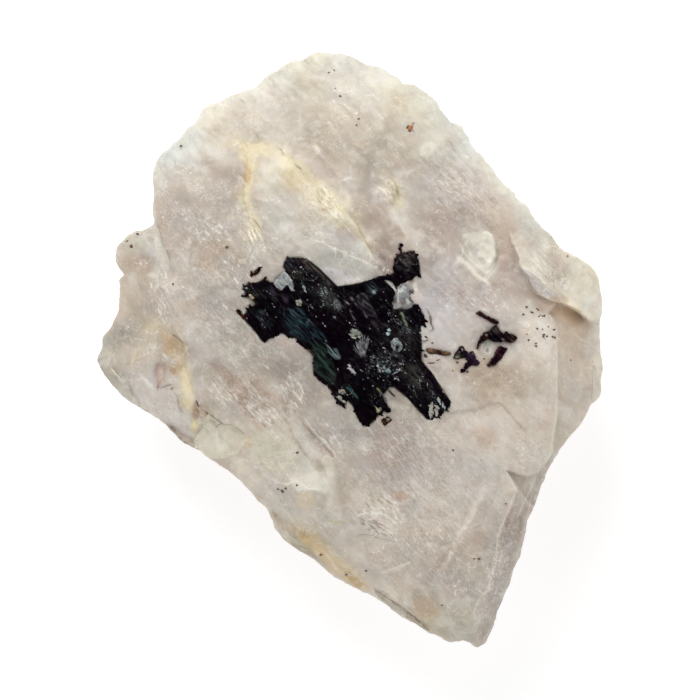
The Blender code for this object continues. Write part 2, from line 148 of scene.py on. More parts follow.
LEFT_LEDGE = [(155, 222), (158, 232), (163, 243), (167, 254), (171, 264),
              (175, 272), (172, 280), (163, 287), (166, 298), (170, 310),
              (175, 326), (179, 338), (184, 346), (186, 356), (188, 370),
              (194, 388), (198, 404), (150, 440), (60, 400), (60, 240),
              (130, 205)]
LEDGE_DROP = 3.2
RIGHT_STEP = [(549, 313), (553, 317.5), (555.5, 323), (557, 332),
              (557.3, 355), (557.3, 393), (558, 408), (556, 418.7),
              (554, 427), (552.7, 437.3), (552, 446.7), (550, 454.7),
              (545.3, 462), (540, 466.7), (537.3, 471.3), (532, 474),
              (526.7, 476.3), (520, 475.3), (513.3, 473), (508, 471.5),
              (519, 491), (560, 540), (660, 470), (660, 330), (588, 321),
              (578, 312.5), (568, 306), (556, 302.5)]
STEP_DROP = 2.2

UNDER_RINGS = [(1.0, 1.0), (0.997, 0.88), (0.990, 0.76), (0.978, 0.64),
               (0.960, 0.52), (0.932, 0.40), (0.886, 0.28), (0.812, 0.17),
               (0.70, 0.08), (0.56, 0.025), (BASE_SCALE, 0.0)]
SIDE_FACES = [
    (40, 14, 1.9), (4, 30, 2.2), (-24, 8, 1.6), (-48, 34, 2.6),
    (-84, 44, 2.4), (-122, 18, 2.2), (-150, 44, 2.6), (176, 26, 1.9),
    (146, 12, 1.7), (112, 38, 2.6), (84, 12, 1.6), (60, 46, 2.6),
    (20, 60, 2.0), (-100, 64, 1.6), (160, 60, 1.9), (-170, 10, 1.3),
]


# ------------------------------------------------------------ number helpers
def place(u, v, z):
    k = STEP * (RIM_HEIGHT + VIEW_HEIGHT - z) / VIEW_HEIGHT
    return np.stack([(SHIFT_X + (u - PLAN_MIDDLE[0]) * k) * 0.001,
                     (SHIFT_Y - (v - PLAN_MIDDLE[1]) * k) * 0.001,
                     z * 0.001], axis=-1)


def lattice(ix, iy, seed):
    h = (ix.astype(np.int64) * 374761393 + iy.astype(np.int64) * 668265263
         + seed * 982451653) & 0xFFFFFFFF
    h = ((h ^ (h >> 13)) * 1274126177) & 0xFFFFFFFF
    h = (h ^ (h >> 16)) & 0xFFFFFFFF
    return h.astype(np.float64) / 4294967295.0 * 2.0 - 1.0


def ripple(x, y, seed):
    ix, iy = np.floor(x), np.floor(y)
    fx, fy = x - ix, y - iy
    sx = fx * fx * fx * (fx * (fx * 6 - 15) + 10)
    sy = fy * fy * fy * (fy * (fy * 6 - 15) + 10)
    a, b = lattice(ix, iy, seed), lattice(ix + 1, iy, seed)
    c, d = lattice(ix, iy + 1, seed), lattice(ix + 1, iy + 1, seed)
    return (a + (b - a) * sx) * (1 - sy) + (c + (d - c) * sx) * sy


def lattice3(ix, iy, iz, seed):
    return lattice(ix + iz * 57.0, iy - iz * 131.0, seed)


def ripple3(x, y, z, seed):
    ix, iy, iz = np.floor(x), np.floor(y), np.floor(z)
    f = [x - ix, y - iy, z - iz]
    s = [t * t * t * (t * (t * 6 - 15) + 10) for t in f]
    out = 0.0
    for dx in (0, 1):
        for dy in (0, 1):
            for dz in (0, 1):
                w = (s[0] if dx else 1 - s[0]) * (s[1] if dy else 1 - s[1]) \
                    * (s[2] if dz else 1 - s[2])
                out = out + w * lattice3(ix + dx, iy + dy, iz + dz, seed)
    return out


def turn(u, v, degrees, along=1.0, across=1.0):
    """Coordinates along and across a direction in the plan (v downward)."""
    a = math.radians(degrees)
    return ((u * math.cos(a) + v * math.sin(a)) / along,
            (-u * math.sin(a) + v * math.cos(a)) / across)


def soft_min(a, b, k):
    h = np.clip(0.5 + 0.5 * (b - a) / k, 0.0, 1.0)
    return b * (1 - h) + a * h - k * h * (1 - h)


def signed_distance(u, v, polygon):
    pts = np.array(polygon, dtype=float)
    best = np.full(u.shape, 1e9)
    inside = np.zeros(u.shape, dtype=bool)
    for (x0, y0), (x1, y1) in zip(pts, np.roll(pts, -1, axis=0)):
        dx, dy = x1 - x0, y1 - y0
        t = np.clip(((u - x0) * dx + (v - y0) * dy) / (dx * dx + dy * dy),
                    0, 1)
        best = np.minimum(best, (u - x0 - t * dx) ** 2
                          + (v - y0 - t * dy) ** 2)
        if y0 != y1:
            cross = (y0 > v) != (y1 > v)
            inside ^= cross & (u < (x1 - x0) * (v - y0) / (y1 - y0) + x0)
    best = np.sqrt(best)
    return np.where(inside, best, -best)


def path_distance(u, v, path):
    """Distance to a path, which side (positive on its right going along it
    with v downward), and how far along it the nearest point lies (0 to 1)."""
    pts = np.array(path, dtype=float)
    best = np.full(u.shape, 1e9)
    side = np.zeros(u.shape)
    part = np.zeros(u.shape)
    lengths = np.hypot(*(pts[1:] - pts[:-1]).T)
    total, run = lengths.sum(), 0.0
    for (x0, y0), (x1, y1), size in zip(pts[:-1], pts[1:], lengths):
        dx, dy = x1 - x0, y1 - y0
        t = np.clip(((u - x0) * dx + (v - y0) * dy) / (dx * dx + dy * dy),
                    0, 1)
        d = (u - x0 - t * dx) ** 2 + (v - y0 - t * dy) ** 2
        hit = d < best
        best = np.where(hit, d, best)
        side = np.where(hit, np.sign(-(u - x0) * dy + (v - y0) * dx), side)
        part = np.where(hit, (run + t * size) / total, part)
        run += size
    return np.sqrt(best), side, part


def ease(t):
    t = np.clip(t, 0.0, 1.0)
    return t * t * (3 - 2 * t)


def terrace(x, steps, soft):
    y = x * steps
    low = np.floor(y)
    return (low + ease((y - low - 0.5) / soft + 0.5)) / steps


def linear(c):
    c = np.asarray(c, dtype=float) / 255.0
    return np.where(c <= 0.04045, c / 12.92, ((c + 0.055) / 1.055) ** 2.4)


# -------------------------------------------------------------- upper relief
def base_height(u, v):
    r2 = ((u - 365) ** 2 + (v - 300) ** 2) * STEP * STEP
    z = DOME_HEIGHT - 0.0035 * r2
    fall = (v - LOWER_FACE[0]) * STEP
    z = soft_min(z, LOWER_FACE[1] - LOWER_FACE[2] * fall, 1.5)
    for (u0, v0), (u1, v1), z0, z1, rise in UPPER_FACES:
        du, dv = u1 - u0, v1 - v0
        length = math.hypot(du, dv)
        along = np.clip(((u - u0) * du + (v - v0) * dv) / length ** 2,
                        -0.6, 1.6)
        inward = (-(u - u0) * dv + (v - v0) * du) / length * STEP
        z = soft_min(z, z0 + (z1 - z0) * along + rise * inward, 0.8)
    wob = 1.2 * ripple(u / 9, v / 9, 61)
    z = z - LEDGE_DROP * ease((signed_distance(u, v, LEFT_LEDGE)
                               + wob * 0.3) / 3.2 + 0.5) \
        * ease((400 - v) / 60)
    z = z - STEP_DROP * ease((signed_distance(u, v, RIGHT_STEP)
                              + wob * 0.3) / 2.8 + 0.5)
    z = z + 0.75 * ripple(u / 85, v / 85, 3) + 0.32 * ripple(u / 34, v / 34, 5)
    return z


# Steps, grooves and ridges of the upper face: path, height in mm, width in
# plan units, kind.  A step lifts the right-hand side of its path.
RELIEF = [
    # rim of the wedge face above the crystal group
    ([(296, 250), (318, 236), (338, 241), (352, 251), (366, 259),
      (378, 266), (386, 277)], 0.50, 10, "step"),
    # bright scar on the right: oval shell of a chipped flake
    ([(480, 231), (488, 232), (492, 236), (495, 245), (497, 255),
      (488, 272)], 0.35, 3, "step"),
    ([(458, 256), (466, 263), (472, 269), (478, 276), (487, 282)],
     0.55, 3, "step"),
    ([(461, 240), (464, 252), (459, 259)], 0.25, 3, "groove"),
    # ledge along the right rim
    ([(511, 231), (512, 240), (515, 248), (518, 258), (519, 266),
      (528, 277), (531, 287), (538.7, 294.7), (546.7, 299.3),
      (553.3, 300.7), (561.3, 303.3), (568, 306), (573.3, 308.7),
      (578.7, 312.7), (584, 317.3), (588, 321.3)], -0.6, 3, "step"),
    ([(519, 267), (528, 271), (538, 279), (549, 290), (556, 297)],
     0.35, 3, "ridge"),
    # lower rim of the raised plate
    ([(425, 427), (438, 419), (450, 412.5), (462, 411), (473.3, 409.3),
      (484, 406), (493.3, 402.5), (499, 402.5), (503, 405), (506.7, 410),
      (512, 416), (517.3, 422), (526.7, 433.3), (532, 435.3)],
     -0.20, 2.0, "step"),
    # long ridge between the lower face and the right side
    ([(540, 467), (519.3, 490.7), (512.7, 509.3), (504.7, 520),
      (502, 526.7), (498, 538.7), (494, 552), (488.7, 566.7),
      (486, 585.3), (475.3, 601.3), (471.3, 610.7)], 0.28, 5, "ridge"),
    ([(592.5, 366), (593.5, 378), (594.7, 390)], 0.35, 2, "step"),
    # lower left: shell-shaped scars
    ([(193, 437), (201, 426), (210, 418), (219, 421), (228, 425),
      (240, 430), (246, 438), (241, 450)], -0.45, 3, "step"),
    ([(150, 300), (158, 318), (166, 332), (171, 340)], 0.25, 4, "groove"),
    ([(130, 232), (140, 250), (150, 266)], 0.22, 5, "groove"),
    ([(110.7, 366.7), (118, 374), (124.7, 380.7), (128.7, 387.3),
      (134, 396.7), (143, 407)], 0.35, 3, "step"),
    ([(166, 423.3), (172.7, 429.3), (180.7, 435.3), (190, 440),
      (195.3, 444.7), (199.3, 450)], 0.35, 3, "step"),
    ([(269.3, 510), (274.7, 515.3), (282.7, 522), (290.7, 526),
      (298.7, 532.7)], 0.28, 3, "step"),
    ([(196, 400), (204, 410), (210, 418), (222, 440), (240, 458),
      (262, 480), (280, 500), (300, 528)], 0.35, 8, "step"),
    ([(300, 418), (312, 434), (325, 450), (336, 470), (342, 500),
      (344, 540)], 0.30, 9, "step"),
    ([(373.3, 587.3), (380, 592), (390.7, 598.7), (400, 606), (408, 612.7),
      (416, 618), (424, 624), (429.3, 630)], 0.26, 3, "step"),
    ([(490, 480), (476, 505), (462, 532), (446, 562), (425, 600)],
     -0.30, 9, "step"),
    ([(245, 145), (248, 170), (246, 195), (254, 225), (262, 250)],
     0.30, 6, "groove"),
    ([(280, 148), (303, 172), (330, 200), (352, 222), (372, 246)],
     0.35, 5, "step"),
    ([(396, 186), (392, 205), (404, 226), (412, 244)], 0.30, 6, "step"),
    ([(420, 100), (446, 140), (470, 172), (500, 205), (512, 230)],
     0.35, 9, "ridge"),
    ([(196, 160), (214, 172), (240, 188)], 0.22, 8, "groove"),
    ([(212, 360), (232, 378), (252, 398), (274, 420)], 0.25, 8, "groove"),
    ([(350, 420), (372, 440), (398, 470), (420, 500)], 0.20, 9, "groove"),
]

# Shell-shaped hollows: middle, radii and direction of the oval, depth in mm.
HOLLOWS = [
    (478, 252, 17, 22, 0, 0.45), (405, 130, 26, 16, 30, 0.30),
    (350, 235, 26, 12, 42, 0.35), (180, 205, 24, 16, 40, 0.30),
    (226, 132, 26, 14, 140, 0.30), (300, 105, 30, 18, 160, 0.30),
    (228, 322, 40, 22, 50, 0.40), (268, 378, 30, 18, 48, 0.30),
    (222, 440, 22, 14, 30, 0.45), (290, 465, 34, 22, 50, 0.35),
    (520, 372, 34, 22, 70, 0.30), (470, 380, 30, 14, 20, 0.30),
    (430, 470, 40, 26, 60, 0.25), (400, 545, 30, 18, 55, 0.30),
    (450, 560, 26, 14, 70, 0.20), (562, 276, 20, 12, 40, 0.30),
    (150, 270, 16, 20, 0, 0.35), (140, 330, 18, 26, 20, 0.35),
    (160, 372, 7, 11, 0, 0.45), (444, 176, 30, 18, 45, 0.30),
    (520, 455, 24, 12, 130, 0.25), (575, 345, 10, 26, 0, 0.35),
]


def rough(u, v):
    """Fine broken grain of the quartz, in mm: short slivers that run down to
    the right, over a soft uneven ground."""
    a, b = turn(u, v, 47 + 9 * np.mean(ripple(u / 90, v / 90, 71)), 1, 1)
    bend = 2.0 * ripple(u / 26, v / 26, 72)
    patch = ease(0.45 + 0.9 * ripple(u / 38, v / 38, 34))
    g = 0.100 * ripple(u / 15, v / 15, 31)
    g = g + 0.075 * (1 - 2 * np.abs(ripple(a / 26, (b + bend) / 9, 32)))
    g = g + 0.034 * (0.4 + 0.6 * patch) \
        * (1 - 2 * np.abs(ripple(a / 13, (b + bend) / 4.6, 33)))
    g = g + 0.018 * patch * (1 - 2 * np.abs(ripple(a / 8, (b + bend) / 2.8,
                                                   35)))
    # low shell-shaped plates with sharp lips
    shell = ripple(u / 27 + 0.4 * ripple(u / 9, v / 9, 37), v / 21, 38)
    g = g + 0.09 * terrace(shell, 2.0, 0.12)
    g = g + 0.010 * ripple(u / 3.1, v / 3.1, 36)
    return g


def quartz_height(u, v):
    z = base_height(u, v)
    for path, height, width, kind in RELIEF:
        lo, hi = np.min(path, 0) - 40, np.max(path, 0) + 40
        m = (u > lo[0]) & (u < hi[0]) & (v > lo[1]) & (v < hi[1])
        if not m.any():
            continue
        uu, vv = u[m], v[m]
        jag = width * 0.35 * ripple(uu / 5, vv / 5, 41)
        d, side, part = path_distance(uu, vv, path)
        d = d + jag * 0.4
        ends = ease(part * 6) * ease((1 - part) * 6)
        if kind == "step":
            s = ease(0.5 + side * np.maximum(d, 0) / width) - 0.5
            add = height * s * np.clip(1 - np.maximum(d, 0) / 36, 0, 1) ** 2 \
                * 2 * ends
        else:
            add = height * np.exp(-(d / width) ** 2 * 1.4) * ends
            add = -add if kind == "groove" else add
        z[m] += add
    for x, y, rx, ry, degrees, depth in HOLLOWS:
        a, b = turn(u - x, v - y, degrees, rx, ry)
        r = np.hypot(a, b) + 0.16 * ripple(u / 9, v / 9, 51)
        z = z - depth * np.where(r < 1, 1 - r * r, 0.0)
    return z + rough(u, v)


# ------------------------------------------------------------ colour painting
# Soft marks of colour: middle or path, half width, direction (ovals only),
# colour, strength.  Colours are plain 0-255 tones, judged one by one.
GROUND = (206, 196, 185)
QUARTZ_MARKS = [
    # pale rims of clearer quartz: painted light shining through the thin edges
    ("path", [(118, 250), (137, 233), (153, 224)], 9, (214, 210, 198), .7),
    ("path", [(154, 196), (156, 166), (180, 142), (204, 113), (240, 96),
              (262, 82), (296, 63), (330, 55), (360, 62), (396, 78),
              (430, 100)], 15, (220, 219, 208), .75),
    ("path", [(430, 100), (452, 126), (478, 158), (520, 206), (556, 246)],
     20, (217, 217, 208), .85),
    ("path", [(556, 246), (576, 260), (594, 276), (599, 310), (598, 330)],
     14, (221, 217, 202), .8),
    ("path", [(597, 345), (598, 372), (597, 396)], 7, (207, 204, 192), .9),
    ("path", [(160, 160), (186, 146), (206, 152)], 20, (217, 218, 210), .7),
    ("path", [(108, 336), (100, 356), (106, 372), (120, 390)], 10,
     (206, 202, 184), .6),
    ("path", [(124, 392), (150, 404), (176, 424), (186, 432)], 13,
     (207, 203, 196), .7),
    # upper left: grey mauve under the pale rim
    ("oval", (192, 206), 44, 28, 30, (198, 187, 177), .75),
    ("oval", (168, 196), 18, 24, 0, (200, 188, 178), .6),
    ("path", [(198, 158), (216, 170), (243, 190)], 8, (198, 181, 170), .6),
    ("oval", (222, 146), 24, 13, 30, (216, 208, 199), .6),
    ("oval", (248, 118), 40, 16, 150, (214, 205, 194), .6),
    ("oval", (300, 118), 40, 24, 20, (208, 197, 183), .55),
    ("oval", (312, 88), 46, 16, 170, (216, 210, 197), .6),
    ("oval", (372, 92), 34, 16, 20, (221, 216, 202), .7),
    ("oval", (336, 118), 20, 12, 20, (214, 201, 184), .5),
    ("oval", (400, 105), 22, 11, 40, (214, 203, 178), .6),
    ("oval", (306, 158), 28, 20, 30, (200, 184, 172), .6),
    ("oval", (352, 155), 34, 22, 20, (199, 187, 174), .6),
    ("oval", (388, 138), 26, 12, 10, (196, 189, 175), .55),
    ("oval", (434, 148), 20, 13, 150, (219, 217, 202), .65),
    ("oval", (446, 168), 36, 18, 40, (199, 190, 180), .55),
    ("oval", (480, 196), 36, 20, 48, (196, 182, 172), .6),
    ("oval", (420, 206), 22, 30, 160, (205, 197, 187), .55),
    ("oval", (452, 218), 28, 16, 40, (196, 181, 170), .55),
    ("oval", (440, 236), 24, 14, 40, (193, 178, 164), .5),
    # yellow stained cleavage
    ("oval", (256, 150), 13, 8, 0, (226, 213, 178), .8),
    ("path", [(246, 150), (252, 168), (249, 184), (245, 200), (250, 216),
              (256, 232)], 6.5, (228, 212, 172), .75),
    ("oval", (247, 174), 4.5, 12, 8, (212, 184, 136), .75),
    ("oval", (243, 146), 14, 9, 20, (222, 206, 174), .5),
    ("path", [(272, 150), (290, 166), (308, 182), (326, 198), (340, 212)],
     9, (226, 216, 190), .65),
    ("oval", (291, 182), 9, 12, 160, (213, 196, 170), .65),
    ("oval", (270, 178), 15, 20, 20, (223, 218, 203), .7),
    ("oval", (276, 214), 26, 18, 40, (217, 211, 197), .65),
    ("path", [(330, 196), (342, 210), (356, 226), (370, 246)], 7,
     (229, 222, 198), .7),
    ("path", [(352, 226), (362, 240), (372, 250)], 4, (206, 190, 150), .5),
    ("path", [(392, 184), (396, 196), (400, 206)], 6, (226, 216, 180), .7),
    ("oval", (386, 180), 10, 9, 40, (205, 188, 160), .55),
    ("path", [(374, 216), (384, 236), (392, 258)], 12, (197, 180, 163), .7),
    ("path", [(362, 196), (376, 222)], 10, (200, 185, 172), .5),
    ("path", [(398, 214), (408, 232), (416, 246)], 8, (221, 214, 200), .7),
    ("oval", (306, 252), 26, 9, 20, (214, 210, 200), .6),
    ("oval", (318, 232), 24, 12, 30, (213, 210, 198), .6),
    ("path", [(288, 166), (306, 185), (326, 202), (346, 216)], 12,
     (228, 215, 180), .7),
    ("oval", (296, 182), 14, 12, 40, (212, 194, 162), .5),
    ("path", [(484, 158), (498, 176), (512, 192), (526, 209)], 8,
     (217, 216, 206), .85),
    ("oval", (582, 360), 20, 52, 4, (202, 199, 191), .4),
    # bluish grey wedge face above the crystal group
    ("oval", (346, 264), 32, 13, 28, (196, 196, 186), .85),
    ("oval", (330, 276), 16, 8, 30, (197, 195, 190), .7),
    ("oval", (364, 268), 14, 9, 20, (205, 203, 188), .6),
    ("oval", (334, 271), 24, 10, 32, (190, 190, 188), .6),
    ("path", [(333, 247), (352, 257), (378, 266)], 2.4, (228, 222, 206), .6),
    ("oval", (382, 262), 9, 12, 0, (178, 164, 150), .6),
    ("oval", (360, 246), 9, 4, 30, (222, 222, 214), .7),
    # right: mauve zone with the chipped pale flake
    ("oval", (470, 230), 40, 40, 0, (195, 181, 170), .55),
    ("oval", (503, 262), 14, 30, 170, (191, 172, 157), .7),
    ("oval", (508, 240), 12, 20, 160, (196, 178, 160), .6),
    ("oval", (479, 252), 15, 22, 160, (221, 219, 202), .95),
    ("oval", (487, 268), 9, 10, 160, (216, 213, 198), .7),
    ("path", [(458, 257), (468, 264), (476, 274), (488, 283)], 2.2,
     (232, 228, 212), .9),
    ("oval", (480, 250), 3, 3, 0, (205, 198, 184), .7),
    ("oval", (556, 262), 24, 16, 40, (203, 191, 174), .6),
    ("oval", (580, 288), 17, 22, 0, (217, 213, 199), .7),
    ("path", [(522, 262), (534, 278), (552, 292), (574, 304), (590, 318)],
     8, (219, 213, 194), .75),
    ("oval", (528, 256), 12, 16, 150, (209, 201, 186), .6),
    ("path", [(534, 284), (546, 292), (560, 300)], 3.5, (198, 193, 190), .8),
    ("oval", (546, 308), 14, 6, 25, (186, 163, 140), .7),
    ("path", [(556, 300), (572, 312), (584, 324)], 7, (187, 164, 139), .75),
    ("oval", (572, 334), 20, 24, 160, (192, 171, 148), .8),
    ("oval", (580, 352), 12, 16, 0, (194, 177, 158), .6),
    ("oval", (520, 292), 26, 13, 30, (198, 184, 172), .7),
    ("oval", (478, 300), 26, 9, 25, (193, 177, 165), .6),
    ("oval", (500, 316), 26, 12, 160, (210, 204, 196), .7),
    ("oval", (446, 270), 20, 16, 30, (206, 198, 190), .6),
    ("oval", (440, 300), 22, 18, 30, (207, 202, 197), .7),
    ("oval", (448, 334), 24, 16, 20, (208, 203, 196), .7),
    ("oval", (532, 340), 24, 32, 0, (216, 210, 200), .8),
    ("oval", (528, 384), 26, 34, 0, (209, 201, 191), .7),
    ("oval", (484, 382), 36, 20, 20, (193, 176, 158), .7),
    ("oval", (500, 372), 26, 12, 20, (196, 180, 163), .5),
    ("oval", (452, 388), 16, 14, 20, (207, 197, 187), .6),
    ("path", [(561, 340), (562, 380), (563, 420)], 4, (214, 204, 190), .7),
    ("path", [(571, 366), (573, 392), (572, 416)], 8, (198, 188, 180), .7),
    ("path", [(586, 350), (588, 380), (585, 400)], 8, (197, 188, 180), .7),
    ("path", [(594, 366), (594, 392)], 1.2, (176, 166, 156), .6),
    ("path", [(560, 420), (556, 440), (552, 458)], 6, (207, 203, 190), .7),
    ("oval", (474, 418), 28, 9, 165, (213, 204, 194), .7),
    ("oval", (530, 452), 20, 20, 0, (199, 191, 180), .6),
    ("oval", (500, 440), 22, 16, 20, (205, 194, 184), .6),
    # lower face
    ("oval", (400, 452), 46, 26, 50, (198, 184, 177), .7),
    ("oval", (362, 470), 26, 36, 150, (200, 189, 182), .6),
    ("oval", (430, 500), 40, 40, 0, (203, 195, 189), .6),
    ("oval", (470, 500), 26, 44, 20, (207, 201, 195), .6),
    ("oval", (400, 496), 26, 10, 20, (214, 205, 195), .6),
    ("oval", (398, 498), 7, 4, 0, (196, 162, 144), .5),
    ("oval", (380, 524), 14, 7, 20, (212, 202, 190), .6),
    ("oval", (426, 560), 34, 30, 60, (200, 189, 178), .6),
    ("oval", (428, 606), 16, 13, 40, (193, 173, 148), .7),
    ("oval", (448, 622), 22, 12, 30, (208, 203, 190), .7),
    ("oval", (470, 626), 12, 16, 0, (206, 202, 190), .6),
    ("oval", (480, 540), 10, 22, 15, (203, 190, 180), .5),
    ("path", [(530, 500), (520, 530), (508, 566), (496, 600), (486, 630)],
     10, (184, 171, 162), .75),
    ("path", [(536, 500), (526, 526), (520, 556)], 3.5, (205, 198, 190), .6),
    ("path", [(503, 528), (492, 566), (478, 604)], 2.2, (220, 212, 203),
     .6),
    ("oval", (548, 480), 8, 14, 20, (196, 186, 174), .6),
    # centre below the crystal group
    ("oval", (300, 400), 34, 26, 40, (196, 183, 174), .65),
    ("oval", (330, 430), 30, 20, 50, (205, 197, 187), .6),
    ("oval", (268, 424), 34, 15, 40, (207, 198, 189), .6),
    ("oval", (296, 462), 42, 32, 50, (216, 212, 200), .75),
    ("oval", (270, 450), 22, 18, 40, (211, 206, 192), .6),
    ("oval", (300, 500), 30, 26, 60, (211, 205, 195), .6),
    ("oval", (222, 438), 20, 13, 40, (212, 208, 192), .85),
    ("path", [(298, 530), (318, 546), (338, 566), (358, 582)], 7,
     (214, 196, 158), .75),
    ("oval", (308, 536), 9, 5, 20, (212, 188, 138), .7),
    ("oval", (340, 540), 20, 16, 50, (208, 199, 188), .6),
    # left of the crystal group
    ("oval", (216, 300), 34, 40, 20, (203, 195, 188), .6),
    ("oval", (248, 330), 26, 24, 40, (201, 194, 185), .5),
    ("oval", (204, 354), 22, 22, 0, (208, 200, 191), .5),
    ("path", [(216, 366), (232, 380), (246, 396)], 7, (192, 168, 152), .7),
    ("path", [(205, 368), (214, 378)], 7, (196, 186, 168), .6),
    ("oval", (258, 392), 22, 12, 45, (194, 178, 166), .6),
    ("oval", (202, 258), 26, 12, 30, (196, 176, 156), .7),
    ("oval", (220, 248), 12, 7, 30, (190, 164, 134), .7),
    ("oval", (236, 262), 12, 14, 30, (200, 184, 166), .6),
    ("oval", (186, 240), 18, 12, 30, (200, 184, 172), .6),
    ("oval", (252, 250), 9, 12, 20, (205, 204, 196), .7),
    ("oval", (250, 232), 8, 8, 40, (228, 218, 198), .7),
    ("oval", (190, 286), 14, 20, 20, (200, 186, 174), .6),
    # left ledge
    ("oval", (140, 264), 13, 17, 160, (199, 179, 160), .8),
    ("oval", (136, 244), 13, 9, 150, (209, 204, 190), .6),
    ("path", [(152, 232), (156, 250), (160, 270), (158, 284)], 6,
     (212, 206, 195), .6),
    ("oval", (140, 300), 15, 26, 160, (202, 188, 172), .6),
    ("oval", (154, 320), 12, 14, 20, (199, 182, 162), .5),
    ("oval", (151, 325), 9, 6, 20, (212, 196, 158), .6),
    ("oval", (132, 344), 20, 18, 0, (203, 193, 178), .5),
    ("oval", (178, 346), 9, 13, 140, (193, 164, 128), .75),
    ("oval", (170, 338), 10, 8, 20, (201, 180, 148), .6),
    ("path", [(183, 364), (186, 384), (188, 404)], 6, (217, 203, 166), .8),
    ("oval", (172, 368), 4, 6, 160, (190, 160, 116), .6),
    ("oval", (161, 371), 5, 10, 0, (182, 157, 146), .95),
    ("oval", (148, 388), 16, 10, 40, (205, 199, 193), .7),
    ("oval", (160, 402), 22, 9, 35, (204, 199, 196), .7),
    ("oval", (197, 413), 7, 8, 30, (176, 148, 116), .7),
    ("oval", (195, 427), 5, 6, 0, (220, 205, 150), .8),
    ("oval", (134, 360), 9, 4, 150, (194, 176, 154), .5),
    ("path", [(170, 427), (182, 436), (194, 444)], 3, (178, 163, 148), .7),
    ("path", [(272, 514), (284, 526), (296, 538)], 3, (190, 176, 158), .6),
    ("path", [(384, 598), (404, 612), (426, 628)], 3, (188, 176, 160), .6),
]


def paint(u, v, marks, ground, wobble=4.0):
    """Blend the marks over the ground.  Their edges wander, less on small
    marks.  oval: middle, two radii, direction.  path: a stroke of a half
    width.  poly: a filled outline with a soft edge.  shade: a band that
    lies on the right-hand side of its path only and fades away from it."""
    colour = np.empty(u.shape + (3,))
    colour[:] = ground
    wide = ripple(u / 11, v / 11, 91), ripple(u / 11, v / 11, 92)
    fine = ripple(u / 4.5, v / 4.5, 93), ripple(u / 4.5, v / 4.5, 94)
    tiny = ripple(u / 2.1, v / 2.1, 95), ripple(u / 2.1, v / 2.1, 96)
    for mark in marks:
        kind, size = mark[0], mark[2]
        if kind == "oval":
            size = min(mark[2], mark[3])
        big, mid = min(wobble, 0.30 * size), min(wobble * 0.6, 0.22 * size)
        if kind in ("poly", "shade"):
            big, mid = min(wobble * 0.35, 1.4), min(wobble * 0.3, 1.0)
        uu = u + big * wide[0] + mid * fine[0] + 0.4 * mid * tiny[0]
        vv = v + big * wide[1] + mid * fine[1] + 0.4 * mid * tiny[1]
        tone, strength = mark[-2], mark[-1]
        if kind == "oval":
            _, (x, y), rx, ry, degrees = mark[:5]
            reach = max(rx, ry) * 2.2
            m = (np.abs(uu - x) < reach) & (np.abs(vv - y) < reach)
            if not m.any():
                continue
            a, b = turn(uu[m] - x, vv[m] - y, degrees, rx, ry)
            w = np.exp(-(a * a + b * b) ** 1.3 * 0.9)
        else:
            path, width = mark[1], mark[2]
            lo = np.min(path, 0) - width * 2.4
            hi = np.max(path, 0) + width * 2.4
            m = (uu > lo[0]) & (uu < hi[0]) & (vv > lo[1]) & (vv < hi[1])
            if not m.any():
                continue
            if kind == "poly":
                d = signed_distance(uu[m], vv[m], path)
                w = ease(d / width + 0.5)
            else:
                d, side, part = path_distance(uu[m], vv[m], path)
                if kind == "shade":
                    d = d * side
                    w = np.where(d > -0.8, np.exp(-np.maximum(d, 0)
                                                  / width * 1.6), 0.0)
                    w = w * ease((d + 1.0) / 1.2)
                    w = w * ease(part * 9) * ease((1 - part) * 9)
                else:
                    w = np.exp(-(d / width) ** 2.4 * 0.9)
        w = (w * strength)[:, None]
        colour[m] = colour[m] * (1 - w) + np.array(tone) * w
    return colour


# Crisp marks of the quartz.  line: a thin stroke of a half width.  cut: a
# filled outline with a sharp edge.  side: a band on the right-hand side of its
# path, sharp at the path and fading away from it.
SHOULDER = [(155.4, 222), (158.8, 229), (163, 242), (167, 252), (171, 262)]
BODY_EDGE = [(184.5, 344.4), (186.2, 356), (189.5, 371), (191.2, 385.9),
             (194.5, 395.8)]
TAN_TOP = [(171.3, 333.6), (174.6, 335.6), (177.9, 338.6), (181.4, 341.4),
           (184.5, 344.4)]
WEDGE_EDGE = [(343, 207.2), (348.6, 214.6), (354, 222), (357.4, 227),
              (360.5, 232.2), (367, 244.2), (374.4, 257), (380, 266.4)]
RIDGE = [(489, 466), (484, 490), (473.4, 518.6), (456, 540), (437.8, 558),
         (428, 578)]
SIDE_RIDGE = [(520.9, 479), (513, 498.9), (505, 518.6), (497, 538.4),
              (497, 558), (487.2, 587.8), (473.4, 607.6)]
OUTER_RIDGE = [(534.7, 483), (526.8, 518.6), (515, 568), (503, 597.7)]
PLATE_SIDE = [(554.3, 313), (557, 324.6), (557.5, 337), (557.3, 369),
              (557.2, 387), (557.5, 396), (556.4, 419.3), (553, 440.7),
              (552.5, 451.4), (545.4, 463.9), (538.2, 471), (527.5, 476),
              (518.6, 474.6), (507.9, 471)]
STEP_EDGE = [(529.3, 288.9), (534, 292.6), (540, 296), (547, 299),
             (554.3, 301.4), (562, 304), (570.4, 307.7), (579.3, 314),
             (588.2, 322)]
STEP_TOP = [(510.3, 231.2), (511.2, 242.3), (515.9, 249.7), (519.6, 259),
            (518.6, 266.4), (526, 272), (533.4, 279.3), (539, 288.6)]
PLATE_TOP = [(423.9, 426.4), (429.3, 421), (438, 417.4), (450.7, 413.9),
             (460, 411.6), (468.6, 410.4), (477, 408), (486.4, 405),
             (494, 402.6), (500.7, 403.2), (507.9, 412), (516.8, 422.9),
             (527.5, 435.4)]


def shifted(path, du, dv):
    return [(x + du, y + dv) for x, y in path]


